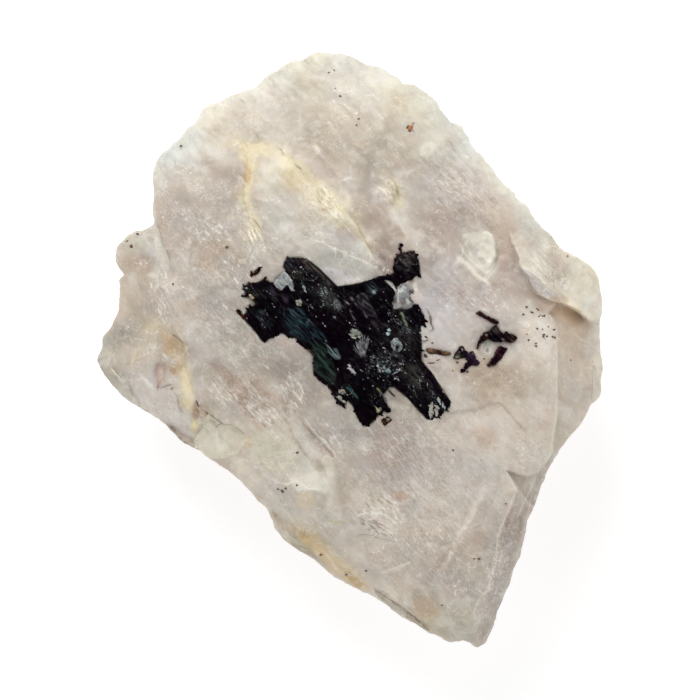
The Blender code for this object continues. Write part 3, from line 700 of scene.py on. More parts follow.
CRISP = [
    # upper left
    ("line", [(304, 60), (307, 62), (309.7, 65.3)], .6, (176, 170, 146), .6),
    ("line", [(240, 99.4), (242.4, 101.2), (244.2, 104)], .5,
     (168, 160, 136), .7),
    ("line", [(311.4, 82.3), (316, 85.4), (321, 90), (327, 94)], 1.5,
     (192, 184, 162), .6),
    ("line", [(323.8, 118.8), (326, 123), (328, 128)], .8,
     (186, 170, 140), .6),
    ("cut", [(241.7, 143.7), (250, 145.4), (255.8, 143.7), (262.5, 142),
             (266.6, 146.2), (268.3, 154.5), (259.2, 153.6), (255.6, 160),
             (254.2, 168), (254.4, 178), (251, 188), (250.6, 198),
             (252, 206), (257, 214), (262, 224), (260, 232), (252, 222),
             (247.5, 209.2), (244.6, 199), (245, 190), (247.6, 182),
             (249, 170), (247, 158)], 1.6, (227, 216, 184), .55),
    ("cut", [(246.4, 169.4), (249.4, 167.4), (251.2, 172), (250.4, 180),
             (247.6, 185), (246, 178)], 1.6, (212, 186, 138), .75),
    ("line", [(252.5, 129.6), (255.5, 133.5), (259, 139.6)], .8,
     (176, 158, 128), .7),
    ("line", [(279, 147.8), (282, 151), (284.9, 155.3)], .7,
     (170, 156, 116), .75),
    ("line", [(294, 164.4), (297.5, 166.6), (301.4, 169.4)], .5,
     (120, 108, 78), .8),
    ("line", [(311, 185.4), (313.5, 187)], .5, (150, 132, 104), .7),
    ("line", [(241.7, 197.6), (245, 204), (249.2, 213.4)], .7,
     (196, 176, 128), .7),
    ("line", [(253.4, 219), (257.5, 224), (260, 229)], .6,
     (150, 134, 98), .7),
    ("line", [(248.4, 230), (250.6, 236), (253.4, 243)], .9,
     (238, 231, 210), .85),
    ("line", [(251.4, 229), (254, 234.6), (256.4, 240.4)], .7,
     (236, 229, 208), .8),
    ("line", [(255, 227.6), (258, 233), (260.6, 237)], .7,
     (232, 224, 200), .75),
    ("line", [(246, 231), (248.4, 238), (251.4, 244.6)], .45,
     (160, 144, 112), .7),
    ("line", [(250, 229.4), (252.6, 236), (255, 242)], .4,
     (162, 146, 116), .7),
    ("line", [(253.4, 228), (256.6, 234.6), (259, 239.6)], .4,
     (158, 142, 112), .7),
    # left shoulder
    ("cut", [(153.5, 224), (157.6, 230), (162, 242), (166, 252), (171, 262),
             (164, 268), (158, 262), (156, 246), (152, 234)], 3,
     (211, 205, 193), .5),
    # painted shade on the body side of the shoulder crease, and a dark painted
    # shadow line in the crease
    ("side", SHOULDER[::-1], 11, (180, 160, 150), .8),
    ("line", SHOULDER, .6, (152, 132, 120), .85),
    ("line", [(162, 289.7), (165, 295), (168, 299.7)], .5,
     (170, 150, 136), .6),
    ("line", [(156.3, 322.9), (159, 327), (161.3, 331.2)], .6,
     (180, 160, 140), .5),
    ("line", [(150.5, 282.2), (151.4, 285), (152.2, 288.9)], .7,
     (232, 226, 216), .8),
    ("cut", [(161.3, 331.2), (171.3, 333.6), (177.9, 338.6),
             (184.5, 344.4), (185.4, 356), (182.9, 367.6), (176.2, 377.6),
             (171.3, 371), (177.9, 361), (168, 356), (163, 352.7),
             (163.8, 342.8)], 1.3, (198, 174, 142), .8),
    # dark painted shadow line along the step edge above the tan facet
    ("line", TAN_TOP, .6, (138, 116, 84), .85),
    ("side", BODY_EDGE, 5, (196, 180, 156), .4),
    ("cut", [(182, 367.6), (187.8, 367.6), (190.3, 384.2), (193.7, 395.8),
             (192.8, 405.8), (187.8, 409.9), (182.9, 402.5),
             (183.7, 389.2), (182, 377.6)], 2.0, (219, 205, 170), .75),
    ("cut", [(171, 367.6), (175.6, 368.4), (176.6, 373), (173, 374.6),
             (170.4, 371)], 1.4, (174, 148, 106), .75),
    ("cut", [(156.3, 364.3), (161.3, 363.5), (165.5, 367.6),
             (165.5, 375.9), (161.3, 382.6), (159.7, 389.2),
             (157.2, 384.2), (156, 374.3)], 1.2, (183, 159, 149), .9),
    ("line", [(157.2, 385), (157.6, 388.6), (158.3, 392.5)], .7,
     (112, 92, 80), .85),
    ("line", [(160.5, 390), (163, 387), (165.5, 385.9), (169, 385.6),
              (172, 384.2)], .5, (140, 118, 102), .8),
    ("line", [(172.9, 390.9), (175.4, 394.4), (177, 397.5),
              (178.7, 405.8), (182.9, 412.4)], .5, (150, 128, 110), .75),
    ("cut", [(193, 409), (198, 405.8), (206, 411), (208, 414.6),
             (203, 418), (197, 419), (192.6, 417.4)], 2.0,
     (174, 148, 120), .8),
    ("line", [(196, 400.8), (197.4, 403.4), (198.8, 406.2)], .7,
     (74, 52, 42), .9),
    ("line", [(199.4, 406.6), (203, 409.6), (206.6, 412.8)], .4,
     (120, 92, 70), .8),
    ("line", [(197, 410), (200.4, 416), (203.6, 422)], .5,
     (132, 108, 84), .7),
    ("cut", [(191.4, 422.4), (196, 421), (198.4, 425), (195, 429.6),
             (191.6, 428)], 1.6, (221, 203, 150), .8),
    ("cut", [(192.8, 440.6), (204.4, 425.7), (209.4, 414), (222.7, 424),
             (232.6, 425.7), (240.9, 430.7), (245.9, 437.3),
             (239.3, 452.2), (222.7, 458.9), (206, 460), (197.8, 448.9)],
     1.4, (215, 210, 192), .75),
    ("cut", [(216, 431), (221, 428), (226, 430), (227, 441), (224, 452),
             (217, 452), (214.6, 441)], 2.4, (226, 222, 206), .7),
    ("line", [(209.4, 414), (216, 419), (222.7, 424)], .5,
     (120, 104, 80), .85),
    ("line", [(222.7, 424), (232.6, 425.7), (240.9, 430.7),
              (245.9, 437.3)], .6, (170, 154, 132), .7),
    ("line", [(215.4, 428), (219, 424.6), (223, 424.4)], .5,
     (150, 136, 112), .6),
    ("cut", [(245.9, 437.3), (250, 434.6), (255, 439), (253, 446),
             (247, 450), (244, 444)], 2, (210, 189, 156), .7),
    ("cut", [(161, 420.4), (167, 423.6), (173, 428.4), (180, 438),
             (189.5, 444.6), (199.5, 450), (197, 455), (188, 450.6),
             (178, 442.6), (170, 434), (163, 425)], 1.4,
     (177, 160, 148), .75),
    ("line", [(161, 420), (167, 423.2), (173, 428), (180, 437.6),
              (189.5, 444.2), (199.5, 449.6)], .45, (120, 100, 84), .6),
    ("cut", [(129.8, 379.3), (144.7, 375.9), (156.3, 387.5),
             (172.9, 389.2), (177.9, 409), (182.9, 425.7), (169.6, 425.7),
             (153, 415.7), (136.4, 402.5)], 3.0, (205, 198, 194), .6),
    ("line", [(140.6, 375.9), (146.4, 381), (153, 387.5)], 1.1,
     (230, 225, 216), .75),
    ("line", [(110.7, 367.6), (113.4, 371), (116.5, 375), (120, 379),
              (124, 383.4)], .5, (226, 216, 200), .8),
    ("line", [(112, 366.4), (115, 370.6), (118, 374.2)], .5,
     (168, 146, 124), .7),
    ("line", [(129, 387.5), (132, 394), (139.8, 405.8), (151.4, 415.7)],
     .5, (178, 164, 148), .6),
    ("line", [(129.8, 362.7), (136, 358), (143, 354.4)], 1.8,
     (195, 177, 154), .7),
    ("line", [(187.8, 327.5), (188.8, 333.4)], .6, (226, 220, 210), .7),
    ("line", [(162.4, 353), (165, 356), (168, 358.8)], .6,
     (232, 226, 214), .8),
    # between the left shoulder and the crystal group
    ("side", [(221, 363), (232, 374), (240, 384), (248, 396)], 6,
     (188, 163, 146), .75),
    ("line", [(247.5, 379.3), (254, 385), (260.8, 392.5)], .45,
     (164, 146, 130), .7),
    ("line", [(249.2, 375.9), (256, 382.6), (262.5, 390.9)], .4,
     (176, 158, 142), .6),
    # grey patch under the group's left knob, darker than the quartz around it
    ("cut", [(264.5, 345), (270, 341), (278, 338), (286, 340), (290, 346),
             (286, 356), (276, 362), (266, 356)], 5, (181, 173, 166), .6),
    ("cut", [(279, 336), (286, 338), (290, 341), (288, 347), (281, 345)],
     2, (197, 178, 162), .6),
    # painted highlight: a thin light rim on the quartz along the group's
    # lower-left edge
    ("line", [(238, 315.4), (250, 329), (263.4, 345.6)], .7,
     (207, 212, 193), .75),
    ("line", [(295.6, 379.3), (300, 384), (302.3, 390.9),
              (300.6, 399.2)], .8, (232, 228, 216), .75),
    # steps below the group: painted shadow beside the creases and a dark
    # painted shadow line
    ("side", [(325, 471), (315, 465), (306, 457), (299.4, 449.4),
              (294, 441), (290, 428), (287.6, 415.8)], 6,
     (182, 166, 152), .65),
    ("side", [(303.4, 423.7), (315.2, 435.6), (327, 449.4),
              (335, 459.3)], 5, (180, 160, 146), .6),
    ("line", [(303.4, 423.7), (315.2, 435.6), (327, 449.4),
              (335, 459.3)], .5, (150, 130, 114), .6),
    ("cut", [(311, 458), (318, 461), (325, 466), (328, 476), (323, 479),
             (316, 470), (310, 464)], 1.6, (182, 169, 154), .75),
    ("cut", [(289, 480), (300, 476), (314, 474), (326, 478), (330, 486),
             (326, 494), (312, 490), (298, 492)], 3, (223, 223, 213), .6),
    ("line", [(329, 462), (332, 478), (331, 494), (328, 510)], 4.0,
     (217, 216, 206), .55),
    ("cut", [(293.5, 494), (305, 491.4), (313.3, 494), (315, 503),
             (309, 511), (298, 508)], 3, (205, 191, 168), .7),
    ("line", [(329, 521.6), (334, 523), (339, 523.6)], .7,
     (202, 196, 152), .8),
    ("line", [(282, 487), (292, 482), (300, 481)], .6,
     (196, 190, 160), .6),
    ("cut", [(297, 533), (303, 534), (309.3, 538.4), (306, 543),
             (299, 539)], 1.6, (202, 180, 130), .75),
    ("cut", [(312, 543), (320, 547), (332, 556), (342, 565), (350, 572),
             (362, 581), (358, 584), (346, 577), (334, 570), (322, 560),
             (313, 551)], 3.5, (213, 189, 150), .65),
    ("cut", [(374.6, 588.6), (388.4, 597.6), (400.3, 606), (412, 614),
             (424, 624), (431, 631), (425, 629.6), (412, 621.6),
             (399, 613), (386, 603.6), (375, 594)], 1.2,
     (170, 156, 143), .8),
    ("line", [(374.6, 587.8), (388.4, 596.8), (400.3, 605.2),
              (412, 613.2), (424, 623)], .6, (222, 212, 196), .6),
    ("cut", [(422, 597.7), (433, 600), (437, 612), (432, 625), (424, 620),
             (412, 610), (410, 602)], 2.5, (195, 178, 153), .7),
    # lower face; along its ridges, painted shade on one side and a painted
    # highlight on the other side or along the crest
    ("side", RIDGE[::-1], 16, (194, 181, 170), .45),
    ("side", RIDGE, 12, (210, 201, 195), .4),
    ("side", SIDE_RIDGE[::-1], 14, (184, 170, 161), .6),
    ("line", SIDE_RIDGE, .7, (222, 214, 205), .7),
    ("side", OUTER_RIDGE[::-1], 6, (178, 164, 154), .5),
    ("line", OUTER_RIDGE, .6, (212, 203, 194), .6),
    ("line", [(497, 540), (502, 552), (499, 566)], .5, (218, 210, 200),
     .6),
    ("line", [(500, 544), (496, 560), (490, 574), (488, 588)], .5,
     (214, 206, 196), .5),
    ("line", [(465.5, 587.8), (468, 593), (472.4, 596.7)], .8,
     (180, 176, 158), .6),
    ("line", [(480.3, 594.7), (483, 592), (485.3, 588.8)], .5,
     (170, 160, 140), .6),
    ("line", [(476, 620), (474, 612), (478, 602), (485, 594)], .5,
     (222, 216, 204), .6),
    ("line", [(376.5, 572), (386, 572), (396.3, 570), (404, 566),
              (412, 562)], .9, (217, 209, 198), .65),
    ("cut", [(360.7, 558), (372, 551), (388, 552), (397, 560), (394, 569),
             (380, 571), (366, 568)], 3.5, (199, 182, 170), .55),
    ("cut", [(474, 528), (479, 524), (484, 530), (484, 544), (478, 552),
             (473.4, 542)], 3, (191, 172, 162), .6),
    ("cut", [(393, 493), (401, 491), (408, 494), (410, 499), (402, 501),
             (395, 499)], 3.0, (200, 167, 151), .65),
    ("cut", [(368, 498), (376, 493), (388, 494), (396, 503), (401, 511),
             (392, 513), (380, 517), (371, 518), (366, 508)], 3.0,
     (213, 204, 190), .5),
    ("line", [(384, 495), (388, 500), (393, 507)], .5, (240, 236, 226),
     .8),
    ("line", [(372, 511), (380, 508), (392, 509.6)], .5,
     (238, 233, 224), .7),
    ("line", [(370, 515), (378, 513), (390, 516)], .5,
     (236, 231, 222), .7),
    # the right-hand plate and its steps: painted shade beside their edges,
    # painted highlights along their lips
    ("side", PLATE_SIDE[::-1], 7, (187, 172, 158), .6),
    ("line", PLATE_SIDE, .6, (224, 218, 206), .6),
    ("side", PLATE_TOP, 8, (217, 211, 201), .55),
    ("side", PLATE_TOP[::-1], 7, (196, 180, 162), .25),
    ("line", [(497, 412), (500, 424), (503, 440), (506, 458)], 3.5,
     (214, 206, 195), .45),
    ("side", STEP_EDGE, 7, (184, 160, 138), .45),
    ("line", shifted(STEP_EDGE, 0.3, -0.8), .6, (232, 224, 208), .75),
    ("side", STEP_TOP, 8, (178, 158, 142), .6),
    ("line", shifted(STEP_TOP, 0.8, -0.2), .6, (228, 222, 208), .7),
    ("cut", [(519, 268), (527, 270), (536, 277), (546, 286), (556, 296),
             (549, 298), (541, 293), (533, 286), (526, 277)], 1.4,
     (199, 194, 190), .7),
    ("line", [(520, 268), (530, 275), (541, 284), (552, 294)], .5,
     (232, 226, 216), .7),
    ("cut", [(561, 279), (566, 277), (571, 280), (570, 287), (565, 290),
             (560, 286)], 1.4, (222, 218, 204), .7),
    ("line", [(562, 288), (564, 282), (568, 279)], .4, (170, 158, 144),
     .7),
    ("line", [(592.7, 369.3), (592.4, 384), (591.8, 401.4)], .5,
     (170, 158, 148), .6),
    ("cut", [(593, 368), (597, 370), (598, 385), (596, 397),
             (592.4, 401)], 1.2, (206, 203, 190), .7),
    ("cut", [(558, 407), (566, 405), (572, 410), (570, 418), (562, 420),
             (558, 416)], 2.5, (211, 209, 199), .6),
    # upper right
    ("line", [(446.5, 140.6), (450, 142), (453, 147), (455.8, 152.6)],
     .5, (160, 150, 136), .75),
    ("cut", [(419, 150), (424, 143), (432, 141), (435.4, 146),
             (433, 153), (426, 157.3), (420, 156)], 3, (223, 221, 205),
     .6),
    ("line", [(364, 142.5), (366.4, 143.4), (368.4, 144)], .6,
     (244, 240, 226), .9),
    ("cut", [(354, 142), (362, 140.6), (372, 144), (374, 149),
             (366, 151), (358, 148)], 2.5, (198, 184, 167), .6),
    ("line", [(379, 186), (382, 189.6), (385.5, 193.3)], .8,
     (238, 231, 208), .85),
    ("line", [(393.8, 181.3), (396.6, 185.6), (398.8, 190.6)], .8,
     (172, 158, 110), .8),
    ("line", [(396, 190), (398, 195), (399.4, 200)], .5,
     (180, 166, 120), .7),
    ("side", [(398.4, 222), (402, 229.4), (405.8, 236.8)], 8,
     (192, 173, 152), .6),
    ("side", [(405.8, 236.8), (402, 229.4), (398.4, 222)], 6,
     (226, 221, 206), .6),
    ("cut", [(462.2, 235), (470.6, 232.2), (483.5, 230.3), (491.8, 233.1),
             (494.6, 240.5), (494.6, 249.7), (497.4, 255.3),
             (494.6, 264.5), (489, 272), (485.4, 274.7), (478, 266.4),
             (470.6, 262.7), (466.9, 255.3), (471.5, 248.8),
             (464.1, 244.2), (466.9, 239.6)], 1.4, (222, 220, 204), .8),
    ("cut", [(470, 244), (476, 247), (479, 252), (476, 258), (471, 254)],
     1.4, (205, 198, 186), .7),
    ("line", [(460.4, 243.3), (463.2, 251.6), (460.4, 258),
              (470.6, 265.5), (478, 274.7), (487.2, 282.1)], .8,
     (237, 231, 215), .85),
    ("side", [(487.2, 282.1), (478, 274.7), (470.6, 265.5),
              (460.4, 258)], 5, (206, 198, 186), .5),
    ("line", [(494, 234), (496.4, 244), (499, 256), (495.6, 266),
              (487, 276)], .6, (176, 160, 146), .5),
    # around the crystal group
    ("side", WEDGE_EDGE, 9, (224, 220, 203), .55),
    ("side", WEDGE_EDGE[::-1], 9, (194, 177, 157), .55),
    ("line", WEDGE_EDGE[3:7], .6, (178, 156, 114), .6),
    ("cut", [(373.5, 252), (377, 252.6), (380.4, 258), (379.6, 263),
             (376, 261)], 1, (177, 165, 153), .8),
    ("cut", [(300, 240), (316, 239), (334, 248), (352, 257), (366, 262),
             (378, 268), (384, 276), (369, 280), (354.7, 284), (338, 287),
             (322, 272), (306, 259), (300, 250)], 2.0,
     (199, 199, 190), .5),
    ("line", [(306.4, 236.6), (315, 240), (323, 243), (333.8, 248.2),
              (344, 253), (354, 257.4), (366, 262), (378, 268)], .6,
     (233, 228, 213), .6),
    ("cut", [(322, 268), (330, 266), (340, 270), (352, 276), (356, 281),
             (340, 285), (334, 282)], 2.5, (207, 203, 207), .6),
    ("line", [(335.4, 260.4), (338.6, 262)], 1.0, (160, 160, 160), .55),
    ("line", [(329.6, 271.4), (332.4, 273)], 1.0, (150, 148, 158), .6),
    ("line", [(331.6, 278.4), (334.4, 279.8)], 0.8, (140, 138, 150), .6),
    ("line", [(343.6, 273.2), (346.6, 275)], 0.9, (150, 150, 160), .6),
    ("line", [(347.6, 277), (350.4, 278.2)], 0.8, (150, 150, 160), .6),
    # painted highlight: a light rim on the quartz along the group's upper edge
    ("line", [(303.8, 257.4), (319, 266), (338, 284.8)], .6,
     (226, 224, 218), .6),
    ("line", [(381, 276.4), (388, 282.6), (396, 291)], 1.0,
     (238, 238, 230), .9),
    ("cut", [(397, 287), (401, 285), (405, 283.4), (409, 285),
             (411, 290), (410, 296), (414, 302), (415, 306), (411, 309),
             (406, 311), (400.5, 310), (393, 311), (391.6, 303),
             (393.4, 297.6), (395.4, 293)], 1.2, (134, 140, 138), .9),
    ("cut", [(400, 300), (404, 297), (407, 300), (405, 305), (401, 305)],
     1.0, (104, 108, 108), .8),
    ("cut", [(398, 289), (402, 287), (404, 291), (400, 294)], 1.0,
     (202, 204, 196), .8),
    ("line", [(394.6, 300), (399, 302), (402, 308)], .5, (110, 114, 114),
     .6),
    ("line", [(408, 286), (407, 292), (411, 298), (412.6, 303)], .5,
     (66, 60, 56), .7),
    ("line", [(397, 309.5), (401, 307), (405, 309.6)], .6, (86, 88, 84),
     .6),
    ("line", [(399, 288), (397.6, 296), (399, 304)], .5,
     (226, 230, 228), .7),
    ("cut", [(392.4, 299), (395.4, 297.6), (396.8, 301), (394.4, 304.6),
             (391.4, 304)], .7, (30, 24, 28), .85),
    ("cut", [(407.6, 291), (409.6, 290), (411, 293), (409.4, 295.4)], .6,
     (52, 44, 42), .85),
    ("cut", [(401.6, 286.6), (404, 285), (406.4, 287.6), (404, 289.6)],
     .8, (206, 206, 196), .85),
    ("cut", [(405.6, 299), (409, 298), (411.4, 302), (408, 305)], .9,
     (186, 190, 184), .75),
    ("cut", [(396.6, 304.6), (399.6, 303.6), (401.4, 307), (398, 308.6)],
     .8, (160, 166, 160), .8),
    ("line", [(392.6, 309.6), (399, 308.4), (405, 310.6), (411, 308)],
     .5, (44, 38, 40), .7),
    ("cut", [(413, 284), (416, 282), (418.6, 287), (417, 293),
             (414, 290)], 1.0, (214, 208, 196), .7),
    ("cut", [(466.6, 242), (470, 240.6), (473, 244), (471, 248.6),
             (467.4, 247)], 1.6, (203, 196, 182), .7),
    ("cut", [(476.6, 247), (480, 249), (479, 253), (475.4, 252)], 1.2,
     (196, 190, 178), .75),
    ("cut", [(484.6, 238), (489, 240), (490, 246), (486.6, 244)], 1.4,
     (208, 200, 188), .6),
    ("cut", [(477.6, 258), (484, 257.6), (487, 262), (482, 266)], 1.6,
     (204, 197, 184), .65),
    ("line", [(462.6, 247), (464.6, 253), (468.4, 258), (473, 262),
              (480, 269)], .5, (238, 236, 224), .7),
    # a painted glint
    ("line", [(478, 251), (480.6, 253.4)], .5, (248, 248, 240), .9),
    ("line", [(411.4, 288.6), (413.4, 291), (412.6, 294)], .5,
     (48, 34, 30), .8),
    ("line", [(408, 296.6), (411, 298), (413, 301.4)], .5, (56, 42, 36),
     .7),
    ("line", [(404, 286), (405, 294), (409, 300)], .5,
     (122, 128, 126), .6),
    ("line", [(426.8, 309.5), (429.3, 313.9), (432, 318.4),
              (430.4, 322.6), (433.8, 329), (430, 331)], .45,
     (50, 36, 34), .85),
    ("cut", [(423, 326), (429, 324), (432, 329), (428, 333), (429, 338),
             (423, 339), (420.6, 332)], 1.0, (198, 198, 188), .7),
    ("line", [(421, 340), (425, 341.4), (429, 339.4)], .6,
     (70, 54, 48), .75),
    ("cut", [(484, 340), (489, 339.6), (491.6, 343), (489, 349),
             (486, 351.6), (483.6, 347)], 1.0, (172, 177, 162), .85),
    ("line", [(486.6, 352), (488, 348)], .6, (110, 108, 96), .7),
    # painted highlight: a light rim on the quartz along the group's right edge
    ("line", [(425.6, 363), (437, 378), (447, 393), (452.4, 401.4)], .6,
     (222, 214, 203), .6),
    ("cut", [(298, 532), (306, 531), (312, 536), (320, 541), (330, 548),
             (340, 558), (350, 567), (360, 577), (374, 590), (366, 591),
             (352, 586), (338, 575), (326, 563), (312, 551), (302, 542)],
     5.0, (209, 186, 152), .6),
    ("cut", [(298, 533), (305, 531), (310, 535), (309, 539), (301, 539)],
     2.4, (180, 156, 120), .6),
    ("cut", [(344, 572), (350, 571), (358, 578), (364, 585), (358, 588),
             (349, 581)], 1.6, (192, 160, 104), .6),
    ("cut", [(290, 478), (297, 472), (306, 473), (316, 470), (327, 470),
             (333, 473), (331, 480), (322, 487), (308, 490), (296, 487)],
     7.0, (222, 219, 208), .55),
    # painted shadow in the crevices below the group: dark lines and a shaded
    # band, with a bright line beside them
    ("line", [(300, 418), (306, 428), (314, 436), (322, 443), (331, 452),
              (334, 459)], .7, (160, 138, 122), .6),
    ("line", [(303, 416), (311, 428), (320, 437), (329, 446)], .6,
     (236, 230, 220), .6),
    ("side", [(288, 424), (292, 434), (300, 444), (306, 452), (313, 462)],
     5, (176, 158, 144), .5),
    ("line", [(268, 476), (276, 482), (286, 484), (297, 481), (309, 489),
              (324, 489)], .8, (236, 233, 222), .6),
    ("line", [(354, 518), (362, 514), (372, 512), (383, 515), (392, 520)],
     .8, (240, 236, 230), .7),
    ("line", [(367, 516), (376, 522), (386, 527)], .5, (112, 98, 90), .6),
    ("line", [(372, 520), (380, 528), (386, 531)], .5, (118, 104, 96),
     .6),
    ("line", [(382, 498), (388, 504), (394, 512), (397, 520)], .6,
     (238, 234, 226), .7),
    ("line", [(358, 536), (366, 534), (378, 538), (392, 541)], .5,
     (136, 120, 110), .5),
    ("line", [(384, 571), (394, 568), (405, 564), (414, 561)], .6,
     (232, 226, 216), .6),
    ("line", [(330, 521), (338, 523), (345, 522)], .5, (190, 178, 120),
     .6),
    ("side", [(504, 470), (497, 492), (488, 512), (478, 534), (470, 556)],
     7, (184, 168, 158), .35),
    ("line", [(476, 589), (483, 594), (489, 590), (492, 582)], .7,
     (232, 226, 218), .6),
    ("line", [(497, 560), (493, 574), (487, 592), (480, 604)], .6,
     (234, 228, 220), .5),
    ("line", [(535, 476), (531, 488), (524, 503), (516, 520)], .6,
     (232, 226, 218), .5),
    ("line", [(518, 494), (514, 506), (508, 520), (505, 534)], .5,
     (140, 122, 112), .6),
    ("line", [(374, 588), (386, 597), (402, 607), (416, 619), (430, 630)],
     .5, (128, 108, 94), .7),
    ("cut", [(248, 440), (258, 433), (272, 430), (284, 434), (292, 444),
             (296, 458), (290, 470), (276, 476), (262, 470), (252, 456)],
     4.0, (209, 205, 188), .5),
    ("cut", [(427, 424), (438, 419), (450, 413), (473, 409), (493, 403),
             (499, 403), (507, 410), (517, 422), (527, 433), (533, 436),
             (545, 432), (553, 424), (552, 448), (541, 466), (524, 477),
             (508, 472), (490, 462), (470, 455), (450, 446),
             (436, 436)], 1.6, (215, 204, 192), .4),
    ("cut", [(413, 602), (420, 597), (430, 599), (437, 608), (434, 616),
             (426, 618), (417, 611)], 6.0, (188, 166, 146), .65),
    ("cut", [(441, 588), (448, 584), (458, 583), (464, 590), (460, 600),
             (450, 606), (442, 600)], 2.4, (206, 194, 186), .5),
    ("cut", [(374, 443), (386, 438), (398, 441), (405, 450), (404, 462),
             (392, 470), (378, 466), (370, 455)], 9.0, (182, 162, 152),
     .6),
    ("cut", [(472, 430), (482, 425), (494, 430), (498, 440), (490, 449),
             (478, 447)], 9.0, (199, 176, 158), .5),
    ("cut", [(390, 386.6), (397, 391), (404, 397.6), (400, 402),
             (393, 401), (388, 403), (385, 396)], 2.2, (166, 159, 150),
     .6),
    ("cut", [(355, 412), (358, 419), (362, 425), (367, 428), (361, 430),
             (352, 424), (349, 414)], 2.5, (196, 192, 184), .5),
]

# Bands of short fibres: middle, radii, direction of the band, direction of
# the fibres, how many, pale tone, dark tone, how broad they are.
FIBRES = [
    (252, 402, 34, 17, 40, 44, 9, (206, 178, 157), (178, 152, 133), 3.4),
    (290, 404, 12, 22, 0, 56, 5, (204, 180, 162), (174, 152, 136), 3.0),
    (236, 330, 34, 30, 40, 46, 9, (212, 202, 192), (186, 172, 160), 3.2),
    (420, 470, 60, 40, 40, 40, 12, (212, 200, 192), (180, 162, 152), 3.4),
    (460, 186, 40, 20, 45, 40, 8, (216, 206, 194), (184, 166, 154), 3.0),
    (258, 408, 26, 13, 40, 44, 34, (241, 236, 226), (150, 131, 114), 1.0),
    (292, 396, 12, 18, 0, 58, 20, (238, 233, 222), (152, 134, 118), 1.0),
    (330, 204, 20, 9, 46, 52, 18, (240, 234, 214), (170, 152, 112), 1.0),
    (390, 193, 9, 9, 0, 56, 8, (240, 232, 206), (170, 152, 100), 1.0),
    (384, 508, 22, 13, 20, 40, 22, (242, 238, 230), (158, 140, 128), 1.0),
    (374, 524, 22, 8, 30, 34, 18, (234, 230, 226), (124, 114, 110), 1.0),
    (452, 184, 26, 12, 45, 34, 16, (228, 222, 212), (162, 144, 132), 1.0),
    (545, 272, 16, 12, 40, 50, 12, (236, 232, 216), (168, 150, 132), 1.0),
    (222, 392, 16, 12, 40, 44, 14, (232, 226, 216), (166, 148, 132), 1.0),
    (206, 228, 26, 12, 30, 40, 12, (240, 235, 228), (168, 150, 140), 1.0),
    (330, 440, 16, 16, 0, 46, 12, (232, 228, 220), (156, 138, 124), 1.0),
    (500, 560, 10, 40, 16, 106, 14, (224, 216, 208), (156, 140, 130), 1.0),
    (470, 300, 30, 10, 20, 40, 12, (234, 228, 218), (164, 144, 130), 1.0),
    (162, 296, 9, 26, 0, 62, 10, (230, 222, 212), (164, 144, 130), 1.0),
    (240, 290, 26, 24, 40, 50, 10, (228, 222, 214), (172, 156, 146), 1.0),
    (430, 540, 40, 30, 40, 40, 12, (226, 218, 210), (166, 150, 140), 1.0),
]

# Tiny painted glints on the quartz, short bright strokes: place and direction.
QUARTZ_GLINTS = [
    (186.2, 219, 40), (182.9, 214.2, 40), (207.7, 224, 50), (212.7, 228.3, 50),
    (176.2, 202.6, 45), (163, 217, 60), (198, 233, 40), (225, 262, 45),
    (437.3, 201.7, 0), (437.3, 211.8, 70), (306.4, 236.6, 30),
    (323, 241.5, 30), (416.9, 244.2, 60), (464, 142, 20), (478, 253, 50),
    (383.6, 270, 120), (183, 287, 30), (335, 248, 40), (384.6, 268, 40),
    (467, 157, 30), (454, 308, 0), (447, 306, 20), (456.4, 314, 60),
    (441, 309, 40), (493, 302, 40), (497, 306, 20), (545, 283, 40),
    (572, 289, 30), (565, 294, 60), (517, 372, 20), (474, 383, 50),
    (401, 522, 30), (388, 517, 40), (372, 514, 20), (416, 528, 30),
    (440, 530, 40), (278, 437, 30), (300.6, 399, 80), (158, 280, 70),
    (196, 447, 50), (463, 591, 30), (500, 594, 60), (455, 586, 20),
    (333, 226, 45), (349, 230, 45),
]


def roughen(path, amount, seed, closed=False):
    """A path at close steps whose points wander a little."""
    pts = np.array(path, dtype=float)
    if closed:
        pts = np.vstack([pts, pts[:1]])
    seg = np.hypot(*(pts[1:] - pts[:-1]).T)
    run = np.concatenate([[0], np.cumsum(seg)])
    n = max(int(round(run[-1] / 1.5)), 2)
    at = np.linspace(0, run[-1], n + 1)
    out = np.stack([np.interp(at, run, pts[:, 0]),
                    np.interp(at, run, pts[:, 1])], -1)
    out += amount * np.stack(
        [ripple(out[:, 0] / 2.7, out[:, 1] / 2.7, seed),
         ripple(out[:, 0] / 2.7, out[:, 1] / 2.7, seed + 1)], -1)
    return out[:-1] if closed else out


